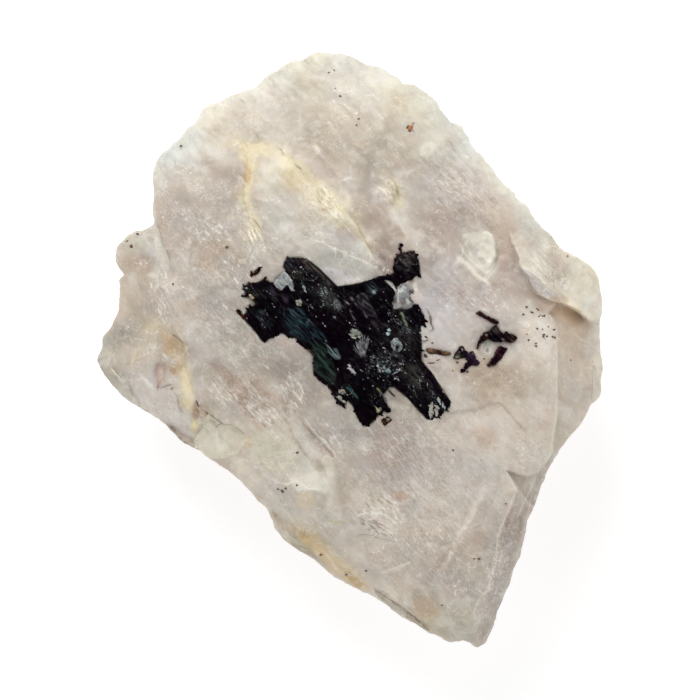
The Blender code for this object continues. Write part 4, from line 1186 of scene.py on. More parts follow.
def make_crisp():
    marks = []
    for index, (kind, path, size, colour, strength) in enumerate(CRISP):
        amount = 0.7 if kind != "line" else min(0.5, 0.35 + size * 0.2)
        marks.append((kind, roughen(path, amount, 1001 + index * 2,
                                    kind == "cut"), size, colour, strength))
    count = 0
    for x, y, rx, ry, band, lean, number, pale, dark, broad in FIBRES:
        for i in range(number):
            count += 1
            r = math.sqrt((i + 0.5) / number)
            t = i * 2.39996 + x
            px, py = r * math.cos(t) * rx, r * math.sin(t) * ry
            a = math.radians(band)
            cx = x + px * math.cos(a) - py * math.sin(a)
            cy = y + px * math.sin(a) + py * math.cos(a)
            d = math.radians(lean + 9 * math.sin(count * 2.1))
            h = (2.2 + 1.8 * (0.5 + 0.5 * math.sin(count * 3.7))) \
                * (0.6 + 0.4 * broad)
            path = [(cx - h * math.cos(d), cy - h * math.sin(d)), (cx, cy),
                    (cx + h * math.cos(d), cy + h * math.sin(d))]
            marks.append(("line", roughen(path, 0.35, 1500 + count),
                          (0.42 + 0.22 * math.sin(count * 1.3) ** 2) * broad,
                          dark if count % 5 in (1, 3) else pale,
                          0.55 + 0.3 * math.sin(count * 0.9) ** 2))
    # painted glints: short bright strokes
    for index, (x, y, degrees) in enumerate(QUARTZ_GLINTS):
        d = math.radians(degrees)
        h = 0.8 + 0.5 * math.sin(index * 1.9) ** 2
        path = [(x - h * math.cos(d), y - h * math.sin(d)),
                (x + h * math.cos(d), y + h * math.sin(d))]
        marks.append(("line", roughen(path, 0.0, 1), 0.62, (248, 246, 238),
                      0.9))
    return marks


CRISP_MARKS = make_crisp()


def crisp_paint(u, v, colour):
    for kind, path, size, shade, strength in CRISP_MARKS:
        reach = size * (2.6 if kind == "side" else 1.6) + 1.5
        lo, hi = path.min(0) - reach, path.max(0) + reach
        m = (u > lo[0]) & (u < hi[0]) & (v > lo[1]) & (v < hi[1])
        if not m.any():
            continue
        if kind == "cut":
            w = ease(signed_distance(u[m], v[m], path) / size + 0.5)
        else:
            d, side, part = path_distance(u[m], v[m], path)
            if kind == "line":
                w = np.exp(-(d / size) ** 2 * 0.8)
                w = w * (0.35 + 0.65 * ease(part * 5) * ease((1 - part) * 5))
            else:
                d = d * side
                w = np.exp(-np.maximum(d, 0) / size * 1.6) \
                    * ease((d + 0.55) / 0.75) * ease(part * 7) \
                    * ease((1 - part) * 7)
        w = np.minimum(w * strength * 1.15, 1.0)[:, None]
        shade = np.clip(stronger(np.array(shade) - np.array([198.0, 188, 175]),
                                 1.35, 0.95) + [198, 188, 175], 8, 250)
        colour[m] = colour[m] * (1 - w) + shade * w
    return colour


def crisp_points():
    """Points of the upper face that follow the crisp marks and the steps, so
    that their edges come out sharp."""
    rows = []
    for kind, path, size, _, _ in CRISP_MARKS:
        closed = kind == "cut"
        gap = 0.45 if kind != "line" else min(size + 0.30, 1.1)
        if (closed and size > 2.6) or (kind == "line" and size > 1.3):
            continue
        rows.append(both_sides(path, gap, closed, kind == "line"
                               and size < 1.3))
    for path, height, width, kind in RELIEF:
        if width <= 4:
            rows.append(both_sides(roughen(path, 0.0, 1), width * 0.5,
                                   False, True))
    for outline in (LEFT_LEDGE, RIGHT_STEP):
        rows.append(both_sides(roughen(outline, 0.0, 1, True), 1.2, True,
                               True))
    pts = np.vstack(rows)
    inside = signed_distance(pts[:, 0], pts[:, 1], OUTLINE) > 1.6
    pts = pts[inside]
    keep, taken = [], set()
    for i, (x, y) in enumerate(pts):
        key = (int(x / 0.62), int(y / 0.62))
        if key not in taken:
            taken.add(key)
            keep.append(i)
    return pts[keep]


def both_sides(path, gap, closed, centre):
    if closed:
        along = np.roll(path, -1, 0) - np.roll(path, 1, 0)
    else:
        along = np.gradient(path, axis=0)
    out = np.stack([along[:, 1], -along[:, 0]], -1)
    out /= np.maximum(np.linalg.norm(out, axis=1), 1e-9)[:, None]
    parts = [path + out * gap, path - out * gap]
    if centre:
        parts.append(path)
    return np.vstack(parts)


# Broad zones of painted shade on the quartz, with a few of painted light
# (share above one): middle, radii, direction, share of light kept.
SHADE_AND_LIGHT_ZONES = [
    (136, 305, 26, 66, 0, 0.91), (306, 380, 22, 36, 0, 0.88),
    (528, 505, 13, 34, 18, 0.88), (325, 478, 34, 30, 0, 0.95),
    (170, 400, 34, 24, 35, 0.94), (205, 432, 24, 18, 0, 0.96),
    (270, 245, 112, 58, 8, 0.905), (385, 150, 62, 44, 20, 0.93),
    (205, 320, 60, 60, 0, 0.945), (392, 282, 46, 26, 0, 0.94),
    (270, 345, 44, 36, 0, 0.93), (398, 418, 46, 26, 0, 0.89),
    (108, 352, 18, 34, 0, 0.93), (310, 520, 60, 40, 35, 0.94),
    (470, 596, 52, 46, 0, 0.905), (508, 530, 18, 56, 18, 0.94),
    (542, 236, 34, 20, 45, 0.94), (200, 190, 60, 50, 0, 0.955),
    (372, 470, 40, 22, 0, 0.95), (300, 120, 70, 34, 0, 0.965),
    (365, 262, 70, 22, 0, 0.93), (112, 360, 26, 36, 0, 0.93),
    (300, 410, 60, 24, 20, 0.94), (500, 548, 14, 30, 18, 0.92),
    (430, 620, 30, 18, 30, 0.92), (300, 545, 22, 18, 30, 0.93),
    (200, 184, 34, 30, 0, 1.055), (482, 186, 40, 22, 35, 1.05),
    (220, 462, 20, 12, 30, 0.95), (260, 340, 30, 16, 30, 0.96),
    (564, 311, 17, 9, 28, 1.30), (519, 484, 9, 12, 40, 1.10),
    (392, 455, 24, 18, 20, 0.95), (386, 372, 90, 60, 0, 0.97),
    (222, 262, 26, 24, 0, 0.93), (320, 254, 40, 24, 20, 0.94),
    (104, 376, 16, 20, 0, 0.92), (250, 348, 34, 22, 20, 0.94),
    (388, 398, 40, 30, 0, 0.95), (542, 236, 26, 18, 45, 0.94),
    (502, 548, 12, 26, 18, 0.93), (300, 548, 20, 16, 20, 0.94),
    (104, 300, 16, 26, 0, 1.06), (340, 422, 30, 12, 0, 0.94),
    (200, 186, 26, 16, 0, 1.03),
    (336, 276, 30, 12, 30, 0.95), (362, 276, 18, 12, 0, 0.95),
    (460, 278, 36, 20, 0, 0.95), (118, 318, 13, 20, 0, 1.05),
    (160, 360, 18, 18, 0, 0.95), (284, 362, 18, 20, 0, 0.93),
    (578, 350, 22, 40, 0, 1.035), (122, 392, 16, 14, 0, 0.93),
    (160, 404, 20, 16, 20, 0.95), (200, 436, 22, 16, 20, 0.95),
    (240, 400, 24, 16, 20, 0.96), (360, 438, 20, 16, 0, 0.95),
    (378, 84, 26, 22, 30, 0.96), (252, 150, 14, 10, 0, 0.965),
    (474, 612, 28, 26, 0, 0.96), (320, 560, 16, 12, 0, 0.96),
    (440, 118, 18, 16, 40, 0.965), (400, 158, 18, 14, 0, 0.96),
]


def quartz_fibre(u, v):
    """How fibrous the quartz is, from 0 to 1."""
    out = np.zeros(u.shape)
    for x, y, rx, ry, degrees, *_ in FIBRES:
        a, b = turn(u - x, v - y, degrees, rx * 1.25, ry * 1.25)
        out = np.maximum(out, 0.78 * np.exp(-(a * a + b * b) * 0.8))
    return np.clip(0.02 + 1.1 * out + 0.16 * ripple(u / 20, v / 20, 241),
                   0, 1)


def stronger(change, light, hue):
    """A change of colour with its lightness and its hue scaled apart."""
    grey = change.mean(-1, keepdims=True)
    return grey * light + (change - grey) * hue


def quartz_colour(u, v):
    c = paint(u, v, QUARTZ_MARKS, GROUND)
    c = stronger(c - np.array(GROUND), 1.6, 1.15) + np.array(GROUND)
    # painted shade, and painted light where the share is above one
    for x, y, rx, ry, degrees, share in SHADE_AND_LIGHT_ZONES:
        a, b = turn(u - x, v - y, degrees, rx, ry)
        w = np.exp(-(a * a + b * b) ** 1.5 * 0.7) * (1 - share)
        c = c * (1 - w)[:, None]
    a, b = turn(u, v, 46)
    bend = 3.0 * ripple(u / 30, v / 30, 72)
    cloud = ripple(u / 24, v / 24, 81) * 6.5 \
        + ripple(u / 11, v / 11, 87) * 4.5 \
        + ripple(a / 18, (b + bend) / 8, 82) * 4.0 \
        + ripple(a / 9, (b + bend) / 3.4, 83) * 3.5 \
        + ripple(u / 5, v / 5, 84) * 3.0
    # soft-edged plates of slightly different tone
    plates = terrace(ripple(u / 30 + 3, v / 22, 88)
                     + 0.4 * ripple(u / 9, v / 9, 89), 2.0, 0.18) * 10
    warm = ripple(u / 31, v / 31, 85) * 4.5 + ripple(u / 9, v / 9, 86) * 2.5
    c = c + (cloud + plates)[:, None]
    c[:, 0] += warm * 0.6
    c[:, 2] -= warm
    c = crisp_paint(u, v, c) * np.array([0.972, 0.965, 0.943])
    # cooler near the crystals, stained with tan along the lower left edge
    cool = np.exp(-((u - 440) / 110) ** 2 - ((v - 300) / 80) ** 2)
    tan = np.exp(-((u - 305) / 34) ** 2 - ((v - 545) / 22) ** 2) \
        + 0.7 * np.exp(-((u - 440) / 44) ** 2 - ((v - 622) / 20) ** 2) \
        + 0.5 * np.exp(-((u - 320) / 70) ** 2 - ((v - 140) / 40) ** 2)
    c[:, 2] += 8 * cool - 12 * tan
    c[:, 0] += 3 * tan
    return c


# -------------------------------------------------------------- mesh helpers
def fill_plan(ring, spacing, margin, test_ring=None, extra=None):
    ring = np.array(ring, dtype=float)
    lo, hi = ring.min(0), ring.max(0)
    rows = np.arange(lo[1] + spacing * 0.5, hi[1], spacing * 0.866)
    grid = []
    for i, row in enumerate(rows):
        cols = np.arange(lo[0] + (spacing * 0.5 if i % 2 else 0.0), hi[0],
                         spacing)
        grid.append(np.stack([cols, np.full(len(cols), row)], -1))
    inner = np.zeros((0, 2))
    if grid:
        grid = np.vstack(grid)
        grid = grid + 0.18 * spacing * np.stack(
            [ripple(grid[:, 0] * 3.1, grid[:, 1] * 3.1, 11),
             ripple(grid[:, 0] * 3.1, grid[:, 1] * 3.1, 12)], axis=-1)
        shape = ring if test_ring is None else test_ring
        inner = grid[signed_distance(grid[:, 0], grid[:, 1], shape) > margin]
    if extra is not None:
        near = KDTree(len(extra))
        for i, (x, y) in enumerate(extra):
            near.insert((x, y, 0.0), i)
        near.balance()
        clear = [near.find((x, y, 0.0))[2] > spacing * 0.48
                 for x, y in inner]
        inner = np.vstack([inner[np.array(clear)], extra])
    pts = np.vstack([ring, inner])
    n = len(ring)
    out = delaunay_2d_cdt([Vector(p) for p in pts],
                          [(i, (i + 1) % n) for i in range(n)],
                          [list(range(n))], 1, 1e-7)
    return np.array([tuple(p) for p in out[0]]), [tuple(f) for f in out[2]]


def resample(ring, spacing, curve=True):
    """Points at even distances along a closed plan outline, rounded through
    its corners when curve is set."""
    pts = np.array(ring, dtype=float)
    if curve:
        for _ in range(2):
            nxt = np.roll(pts, -1, axis=0)
            pts = np.stack([pts * 0.75 + nxt * 0.25,
                            pts * 0.25 + nxt * 0.75], 1).reshape(-1, 2)
    closed = np.vstack([pts, pts[:1]])
    seg = np.hypot(*(closed[1:] - closed[:-1]).T)
    run = np.concatenate([[0], np.cumsum(seg)])
    n = int(round(run[-1] / spacing))
    at = np.arange(n) / n * run[-1]
    return np.stack([np.interp(at, run, closed[:, 0]),
                     np.interp(at, run, closed[:, 1])], -1)


def crossings(ring):
    """Which sides of a closed outline cross another of its sides."""
    a, b = ring, np.roll(ring, -1, 0)

    def turned(p, q, r):
        return (q[..., 0] - p[..., 0]) * (r[..., 1] - p[..., 1]) \
            - (q[..., 1] - p[..., 1]) * (r[..., 0] - p[..., 0])

    pa, pb = a[:, None], b[:, None]
    qa, qb = a[None], b[None]
    hit = (turned(pa, pb, qa) * turned(pa, pb, qb) < 0) \
        & (turned(qa, qb, pa) * turned(qa, qb, pb) < 0)
    return hit.any(1)


def jagged(points, spacing, amount, seed, calm=()):
    """An outline with a broken, splintery edge.  It stays straight near the
    calm paths, and it never crosses itself."""
    ring = resample(points, spacing, curve=False)
    n = len(ring)
    along = np.roll(ring, -1, 0) - np.roll(ring, 1, 0)
    out = np.stack([along[:, 1], -along[:, 0]], -1)
    out /= np.maximum(np.linalg.norm(out, axis=1), 1e-9)[:, None]
    # most splinters point along the crystals
    axis = np.array([0.719, 0.695])
    out = out + 0.8 * (out @ axis)[:, None] * axis
    arc = np.arange(n) * spacing
    zero = np.zeros(n)
    push = 0.8 * ripple(arc / 2.6, zero, seed) \
        + 0.6 * ripple(arc / 1.2, zero, seed + 1)
    push = np.sign(push) * np.abs(push) ** 0.8 * amount
    push = push * (0.35 + 0.95 * ease(0.5 + 1.2 * ripple(arc / 6, zero,
                                                         seed + 3)))
    for path in calm:
        d, _, _ = path_distance(ring[:, 0], ring[:, 1], path)
        push = push * (1 - 0.88 * np.exp(-(d / 3.0) ** 2))
    for _ in range(30):
        bent = ring + out * push[:, None]
        bad = crossings(bent)
        if not bad.any():
            return bent
        for shift in (-3, -2, -1, 0, 1, 2, 3):
            push = np.where(np.roll(bad, shift), push * 0.55, push)
    return ring


def make_mesh(name, verts, faces, colours=None, grit=None):
    mesh = bpy.data.meshes.new(name)
    mesh.from_pydata(np.asarray(verts).tolist(), [], faces)
    if grit is not None:
        extra = mesh.attributes.new("grit", "FLOAT", "POINT")
        extra.data.foreach_set("value", np.asarray(grit, dtype=np.float32))
    if colours is not None:
        attr = mesh.color_attributes.new("tint", "FLOAT_COLOR", "POINT")
        rgba = np.ones((len(verts), 4), dtype=np.float32)
        rgba[:, :3] = linear(np.clip(colours, 0, 255))
        attr.data.foreach_set("color", rgba.ravel())
    bm = bmesh.new()
    bm.from_mesh(mesh)
    bmesh.ops.recalc_face_normals(bm, faces=bm.faces)
    bm.to_mesh(mesh)
    bm.free()
    mesh.shade_smooth()
    ob = bpy.data.objects.new(name, mesh)
    bpy.context.scene.collection.objects.link(ob)
    return ob


class Lumps:
    """Closed bodies that share one mesh: each is a plan outline with its own
    upper surface, a wall and a floor."""

    def __init__(self):
        self.verts, self.faces, self.colours, self.count = [], [], [], 0
        self.plans = []

    def add(self, ring, spacing, top, floor, colour, walls=2):
        plan, faces = fill_plan(ring, spacing, spacing * 0.55)
        n = len(ring)
        u, v = plan[:, 0], plan[:, 1]
        z = top(u, v)
        tint = colour(u, v)
        self._push(place(u, v, z), tint)
        self.plans.append(plan)
        base = self.count - len(plan)
        self.faces += [tuple(base + i for i in f) for f in faces]
        upper = [base + i for i in range(n)]
        low = floor(u[:n], v[:n]) if callable(floor) else np.full(n, floor)
        for j in range(1, walls + 1):
            t = j / walls
            # painted shade: the wall's colour darkens towards its foot
            self._push(place(u[:n], v[:n], z[:n] * (1 - t) + low * t),
                       tint[:n] * (1 - 0.25 * t))
            self.plans.append(plan[:n])
            lower = [self.count - n + i for i in range(n)]
            for i in range(n):
                k = (i + 1) % n
                self.faces.append((upper[i], lower[i], lower[k], upper[k]))
            upper = lower
        _, under = fill_plan(ring, 1e6, 1e6)
        self.faces += [tuple(upper[i] for i in reversed(f)) for f in under
                       if max(f) < n]

    def _push(self, points, tint):
        self.verts.append(points)
        self.colours.append(tint)
        self.count += len(points)

    def build(self, name, grit=None):
        plan = np.vstack(self.plans)
        return make_mesh(name, np.vstack(self.verts), self.faces,
                         np.vstack(self.colours),
                         None if grit is None else grit(plan[:, 0],
                                                        plan[:, 1]))


# ----------------------------------------------------------------- materials
class Nodes:
    """A few short words for building node materials."""

    def __init__(self, name):
        self.mat = bpy.data.materials.new(name)
        self.mat.use_nodes = True
        self.tree = self.mat.node_tree
        self.bsdf = self.tree.nodes["Principled BSDF"]
        self.at = self.new("ShaderNodeTexCoord").outputs["Object"]

    def new(self, kind, **settings):
        node = self.tree.nodes.new(kind)
        for key, value in settings.items():
            setattr(node, key, value)
        return node

    def link(self, a, b):
        self.tree.links.new(a, b)

    def tint(self):
        node = self.new("ShaderNodeAttribute", attribute_name="tint")
        return node.outputs["Color"]

    def noise(self, scale, detail=4.0, rough=0.55, stretch=None, spin=0.0,
              distortion=0.0):
        at = self.at
        if stretch:
            first = self.new("ShaderNodeMapping", vector_type="POINT")
            first.inputs["Rotation"].default_value = (0, 0,
                                                      math.radians(spin))
            self.link(at, first.inputs["Vector"])
            second = self.new("ShaderNodeMapping", vector_type="POINT")
            second.inputs["Scale"].default_value = stretch
            self.link(first.outputs[0], second.inputs["Vector"])
            at = second.outputs[0]
        node = self.new("ShaderNodeTexNoise")
        node.inputs["Scale"].default_value = scale
        node.inputs["Detail"].default_value = detail
        node.inputs["Roughness"].default_value = rough
        node.inputs["Distortion"].default_value = distortion
        self.link(at, node.inputs["Vector"])
        return node.outputs["Fac"]

    def cells(self, scale, feature="F1", stretch=None, spin=0.0,
              output="Distance"):
        at = self.at
        if stretch:
            first = self.new("ShaderNodeMapping", vector_type="POINT")
            first.inputs["Rotation"].default_value = (0, 0,
                                                      math.radians(spin))
            self.link(at, first.inputs["Vector"])
            second = self.new("ShaderNodeMapping", vector_type="POINT")
            second.inputs["Scale"].default_value = stretch
            self.link(first.outputs[0], second.inputs["Vector"])
            at = second.outputs[0]
        node = self.new("ShaderNodeTexVoronoi", feature=feature)
        node.inputs["Scale"].default_value = scale
        self.link(at, node.inputs["Vector"])
        return node.outputs[output]

    def span(self, value, a, b, c=0.0, d=1.0):
        node = self.new("ShaderNodeMapRange", interpolation_type="SMOOTHSTEP")
        self.link(value, node.inputs["Value"])
        for key, number in (("From Min", a), ("From Max", b), ("To Min", c),
                            ("To Max", d)):
            node.inputs[key].default_value = number
        return node.outputs["Result"]

    def math(self, operation, a, b):
        node = self.new("ShaderNodeMath", operation=operation)
        for socket, value in zip(node.inputs, (a, b)):
            if isinstance(value, (int, float)):
                socket.default_value = value
            else:
                self.link(value, socket)
        return node.outputs[0]

    def mix(self, factor, a, b, blend="MIX"):
        node = self.new("ShaderNodeMix", data_type="RGBA", blend_type=blend)
        for socket, value in ((node.inputs["Factor"], factor),
                              (node.inputs[6], a), (node.inputs[7], b)):
            if isinstance(value, (int, float)):
                socket.default_value = value
            elif isinstance(value, tuple):
                socket.default_value = (*value, 1.0)
            else:
                self.link(value, socket)
        return node.outputs[2]

    def bump(self, height, strength, distance, normal=None):
        node = self.new("ShaderNodeBump")
        node.inputs["Strength"].default_value = strength
        node.inputs["Distance"].default_value = distance
        self.link(height, node.inputs["Height"])
        if normal is not None:
            self.link(normal, node.inputs["Normal"])
        return node.outputs["Normal"]

    def set(self, **values):
        for key, value in values.items():
            self.bsdf.inputs[key.replace("_", " ")].default_value = value


def tone(r, g, b):
    return tuple(float(x) for x in linear((r, g, b)))


def rose_quartz_material():
    m = Nodes("rose_quartz")
    fibre = m.new("ShaderNodeAttribute", attribute_name="grit").outputs["Fac"]
    # slivers of the broken grain run down to the right of the plan
    slivers = m.noise(1100, 5, 0.58, (0.28, 1.0, 0.6), 46)
    fibres = m.noise(3600, 3, 0.6, (0.16, 1.0, 0.6), 50)
    veil = m.noise(330, 8, 0.62, distortion=0.8)
    mottle = m.noise(900, 5, 0.62, distortion=0.4)
    crumbs = m.noise(4300, 3, 0.7, (0.75, 1.0, 0.9), 46, 0.3)
    broken = m.noise(1900, 4, 0.66, (0.6, 1.0, 0.8), 40, 0.8)
    # the grain is broken in patches, milky and smooth between them
    field = m.noise(190, 4, 0.6, (0.7, 1.0, 0.8), 46, 0.8)
    patch = m.math("MAXIMUM", m.span(field, 0.54, 0.64, 0.12, 0.80), fibre)
    colour = m.mix(m.math("MULTIPLY", patch,
                          m.span(slivers, 0.50, 0.70, 0, 0.18)), m.tint(),
                   tone(240, 236, 228))
    colour = m.mix(m.math("MULTIPLY", patch,
                          m.span(slivers, 0.50, 0.32, 0, 0.18)), colour,
                   tone(164, 145, 131))
    colour = m.mix(m.math("MULTIPLY", patch,
                          m.span(broken, 0.53, 0.66, 0, 0.36)), colour,
                   tone(242, 238, 230))
    colour = m.mix(m.math("MULTIPLY", patch,
                          m.span(broken, 0.47, 0.34, 0, 0.40)), colour,
                   tone(160, 140, 126))
    colour = m.mix(m.math("MULTIPLY", patch,
                          m.span(crumbs, 0.52, 0.64, 0, 0.30)), colour,
                   tone(246, 242, 232))
    colour = m.mix(m.math("MULTIPLY", patch,
                          m.span(crumbs, 0.48, 0.36, 0, 0.34)), colour,
                   tone(154, 135, 120))
    colour = m.mix(m.span(veil, 0.52, 0.64, 0, 0.26), colour,
                   tone(186, 163, 151))
    colour = m.mix(m.span(veil, 0.48, 0.36, 0, 0.26), colour,
                   tone(229, 225, 214))
    colour = m.mix(m.span(mottle, 0.54, 0.68, 0, 0.18), colour,
                   tone(240, 237, 229))
    colour = m.mix(m.span(mottle, 0.46, 0.32, 0, 0.16), colour,
                   tone(162, 144, 131))
    # fibrous patches
    colour = m.mix(m.math("MULTIPLY", fibre,
                          m.span(fibres, 0.52, 0.70, 0, 0.36)), colour,
                   tone(246, 243, 234))
    colour = m.mix(m.math("MULTIPLY", fibre,
                          m.span(fibres, 0.48, 0.32, 0, 0.32)), colour,
                   tone(152, 134, 120))
    # fine veins and hair cracks
    for scale, stretch, spin, width, strength, shade in (
            (150, (0.5, 1.0, 0.8), 50, 0.0034, 0.62, (246, 243, 234)),
            (230, (0.7, 1.0, 0.8), 30, 0.0034, 0.52, (142, 124, 110)),
            (420, (0.5, 1.0, 0.8), 58, 0.0080, 0.44, (246, 243, 235))):
        field = m.noise(scale, 4, 0.55, stretch, spin, 0.4)
        off = m.math("ABSOLUTE", m.math("SUBTRACT", field, 0.5), 0.0)
        line = m.math("MULTIPLY", m.span(off, width, 0.0, 0, strength),
                      m.span(m.noise(scale * 0.9, 2), 0.48, 0.62))
        colour = m.mix(line, colour, tone(*shade))
    pin = m.math("MULTIPLY", m.span(m.cells(1500), 0.11, 0.04, 0, 1),
                 m.span(m.noise(110, 3), 0.60, 0.66, 0, 0.7))
    colour = m.mix(pin, colour, tone(110, 88, 72))
    m.link(colour, m.bsdf.inputs["Base Color"])
    m.link(m.span(m.noise(900, 4, 0.6, (0.3, 1.0, 0.6), 46), 0.3, 0.7,
                  0.32, 0.60), m.bsdf.inputs["Roughness"])
    fine = m.bump(mottle, 0.28, 0.00016)
    fine = m.bump(m.math("MULTIPLY", broken, patch), 0.40, 0.00016, fine)
    fine = m.bump(m.math("MULTIPLY", fibres, fibre), 0.40, 0.00014, fine)
    m.link(m.bump(slivers, 0.18, 0.00026, fine), m.bsdf.inputs["Normal"])
    m.set(IOR=1.544, Subsurface_Weight=0.22, Subsurface_Scale=0.0022,
          Subsurface_Radius=(1.0, 0.78, 0.62))
    return m.mat


def grey_quartz_material():
    m = Nodes("grey_quartz")
    lines = m.noise(2600, 4, 0.55, (0.10, 1.0, 0.5), 48)
    colour = m.mix(m.span(lines, 0.50, 0.68, 0, 0.55), m.tint(),
                   tone(226, 230, 228))
    colour = m.mix(m.span(lines, 0.48, 0.34, 0, 0.40), colour,
                   tone(104, 108, 108))
    m.link(colour, m.bsdf.inputs["Base Color"])
    m.link(m.span(m.noise(900, 3), 0.35, 0.65, 0.16, 0.42),
           m.bsdf.inputs["Roughness"])
    m.link(m.bump(lines, 0.5, 0.0002), m.bsdf.inputs["Normal"])
    m.set(IOR=1.544, Transmission_Weight=0.25, Subsurface_Weight=0.2,
          Subsurface_Scale=0.0015, Subsurface_Radius=(1.0, 1.0, 1.0))
    return m.mat


def tourmaline_material(name, sheen, gritty=False):
    m = Nodes(name)
    lines = m.noise(3200, 4, 0.6, (0.10, 1.0, 0.5), 46)
    specks = m.noise(2200, 5, 0.68)
    colour = m.mix(m.span(lines, 0.60, 0.76, 0, 0.22), m.tint(), sheen)
    cuts = m.noise(2300, 4, 0.64, (0.13, 1.0, 0.5), 44, 0.5)
    chips = m.noise(1300, 5, 0.70, (0.45, 1.0, 0.7), 46, 0.8)
    colour = m.mix(m.span(cuts, 0.53, 0.42, 0, 0.90), colour,
                   tone(7, 0, 9))
    colour = m.mix(m.span(chips, 0.48, 0.40, 0, 0.75), colour,
                   tone(7, 0, 9))
    height = m.math("ADD", specks, cuts)
    if gritty:
        amount = m.new("ShaderNodeAttribute",
                       attribute_name="grit").outputs["Fac"]
        dust = m.noise(2300, 4, 0.78, (0.45, 1.0, 0.8), 46, 0.4)
        dull = m.mix(m.noise(260, 2), tone(84, 76, 70), tone(64, 76, 76))
        colour = m.mix(m.math("MULTIPLY", amount,
                              m.span(dust, 0.49, 0.66, 0, 0.82)), colour,
                       dull)
        for scale, stretch, least, reach in (
                (1500, (0.55, 1.0, 0.8), 0.80, 0.23),
                (3000, (0.70, 1.0, 0.8), 0.80, 0.27)):
            crumbs = m.noise(scale, 2, 0.8, stretch, 46, 0.3)
            limit = m.math("SUBTRACT", least,
                           m.math("MULTIPLY", amount, reach))
            pick = m.span(m.math("SUBTRACT", crumbs, limit), 0.0, 0.03)
            pale = m.span(m.noise(scale * 0.6, 3, 0.7), 0.40, 0.68)
            body = m.mix(m.noise(300, 2), tone(66, 66, 66),
                         tone(58, 76, 76))
            body = m.mix(pale, body, tone(150, 154, 156))
            colour = m.mix(m.math("MULTIPLY", pick, 0.75), colour, body)
            height = m.math("ADD", height, m.math("MULTIPLY", pick, 0.35))
    m.link(colour, m.bsdf.inputs["Base Color"])
    m.link(m.span(m.noise(800, 5, 0.6), 0.34, 0.66, 0.24, 0.55),
           m.bsdf.inputs["Roughness"])
    fine = m.bump(height, 0.40, 0.00012)
    m.link(m.bump(lines, 0.55, 0.00020, fine), m.bsdf.inputs["Normal"])
    m.set(IOR=1.63, Specular_IOR_Level=0.01)
    return m.mat


def grain_material():
    m = Nodes("quartz_grains")
    cloud = m.noise(2100, 5, 0.70, (0.34, 1.0, 0.8), 46, 0.8)
    colour = m.mix(m.span(cloud, 0.54, 0.66, 0, 0.55), m.tint(),
                   tone(222, 224, 216))
    colour = m.mix(m.span(cloud, 0.50, 0.42, 0, 0.80), colour,
                   tone(38, 37, 40))
    m.link(colour, m.bsdf.inputs["Base Color"])
    m.link(m.span(m.noise(1100, 3), 0.35, 0.65, 0.18, 0.45),
           m.bsdf.inputs["Roughness"])
    m.link(m.bump(cloud, 0.5, 0.00014), m.bsdf.inputs["Normal"])
    m.set(IOR=1.544, Transmission_Weight=0.10)
    return m.mat


def speck_material():
    m = Nodes("dark_specks")
    cloud = m.noise(1800, 4, 0.6)
    colour = m.mix(m.span(cloud, 0.5, 0.75, 0, 0.5), m.tint(),
                   tone(120, 96, 84))
    m.link(colour, m.bsdf.inputs["Base Color"])
    m.link(m.span(cloud, 0.3, 0.7, 0.28, 0.6), m.bsdf.inputs["Roughness"])
    m.link(m.bump(cloud, 0.4, 0.0001), m.bsdf.inputs["Normal"])
    m.set(IOR=1.6)
    return m.mat


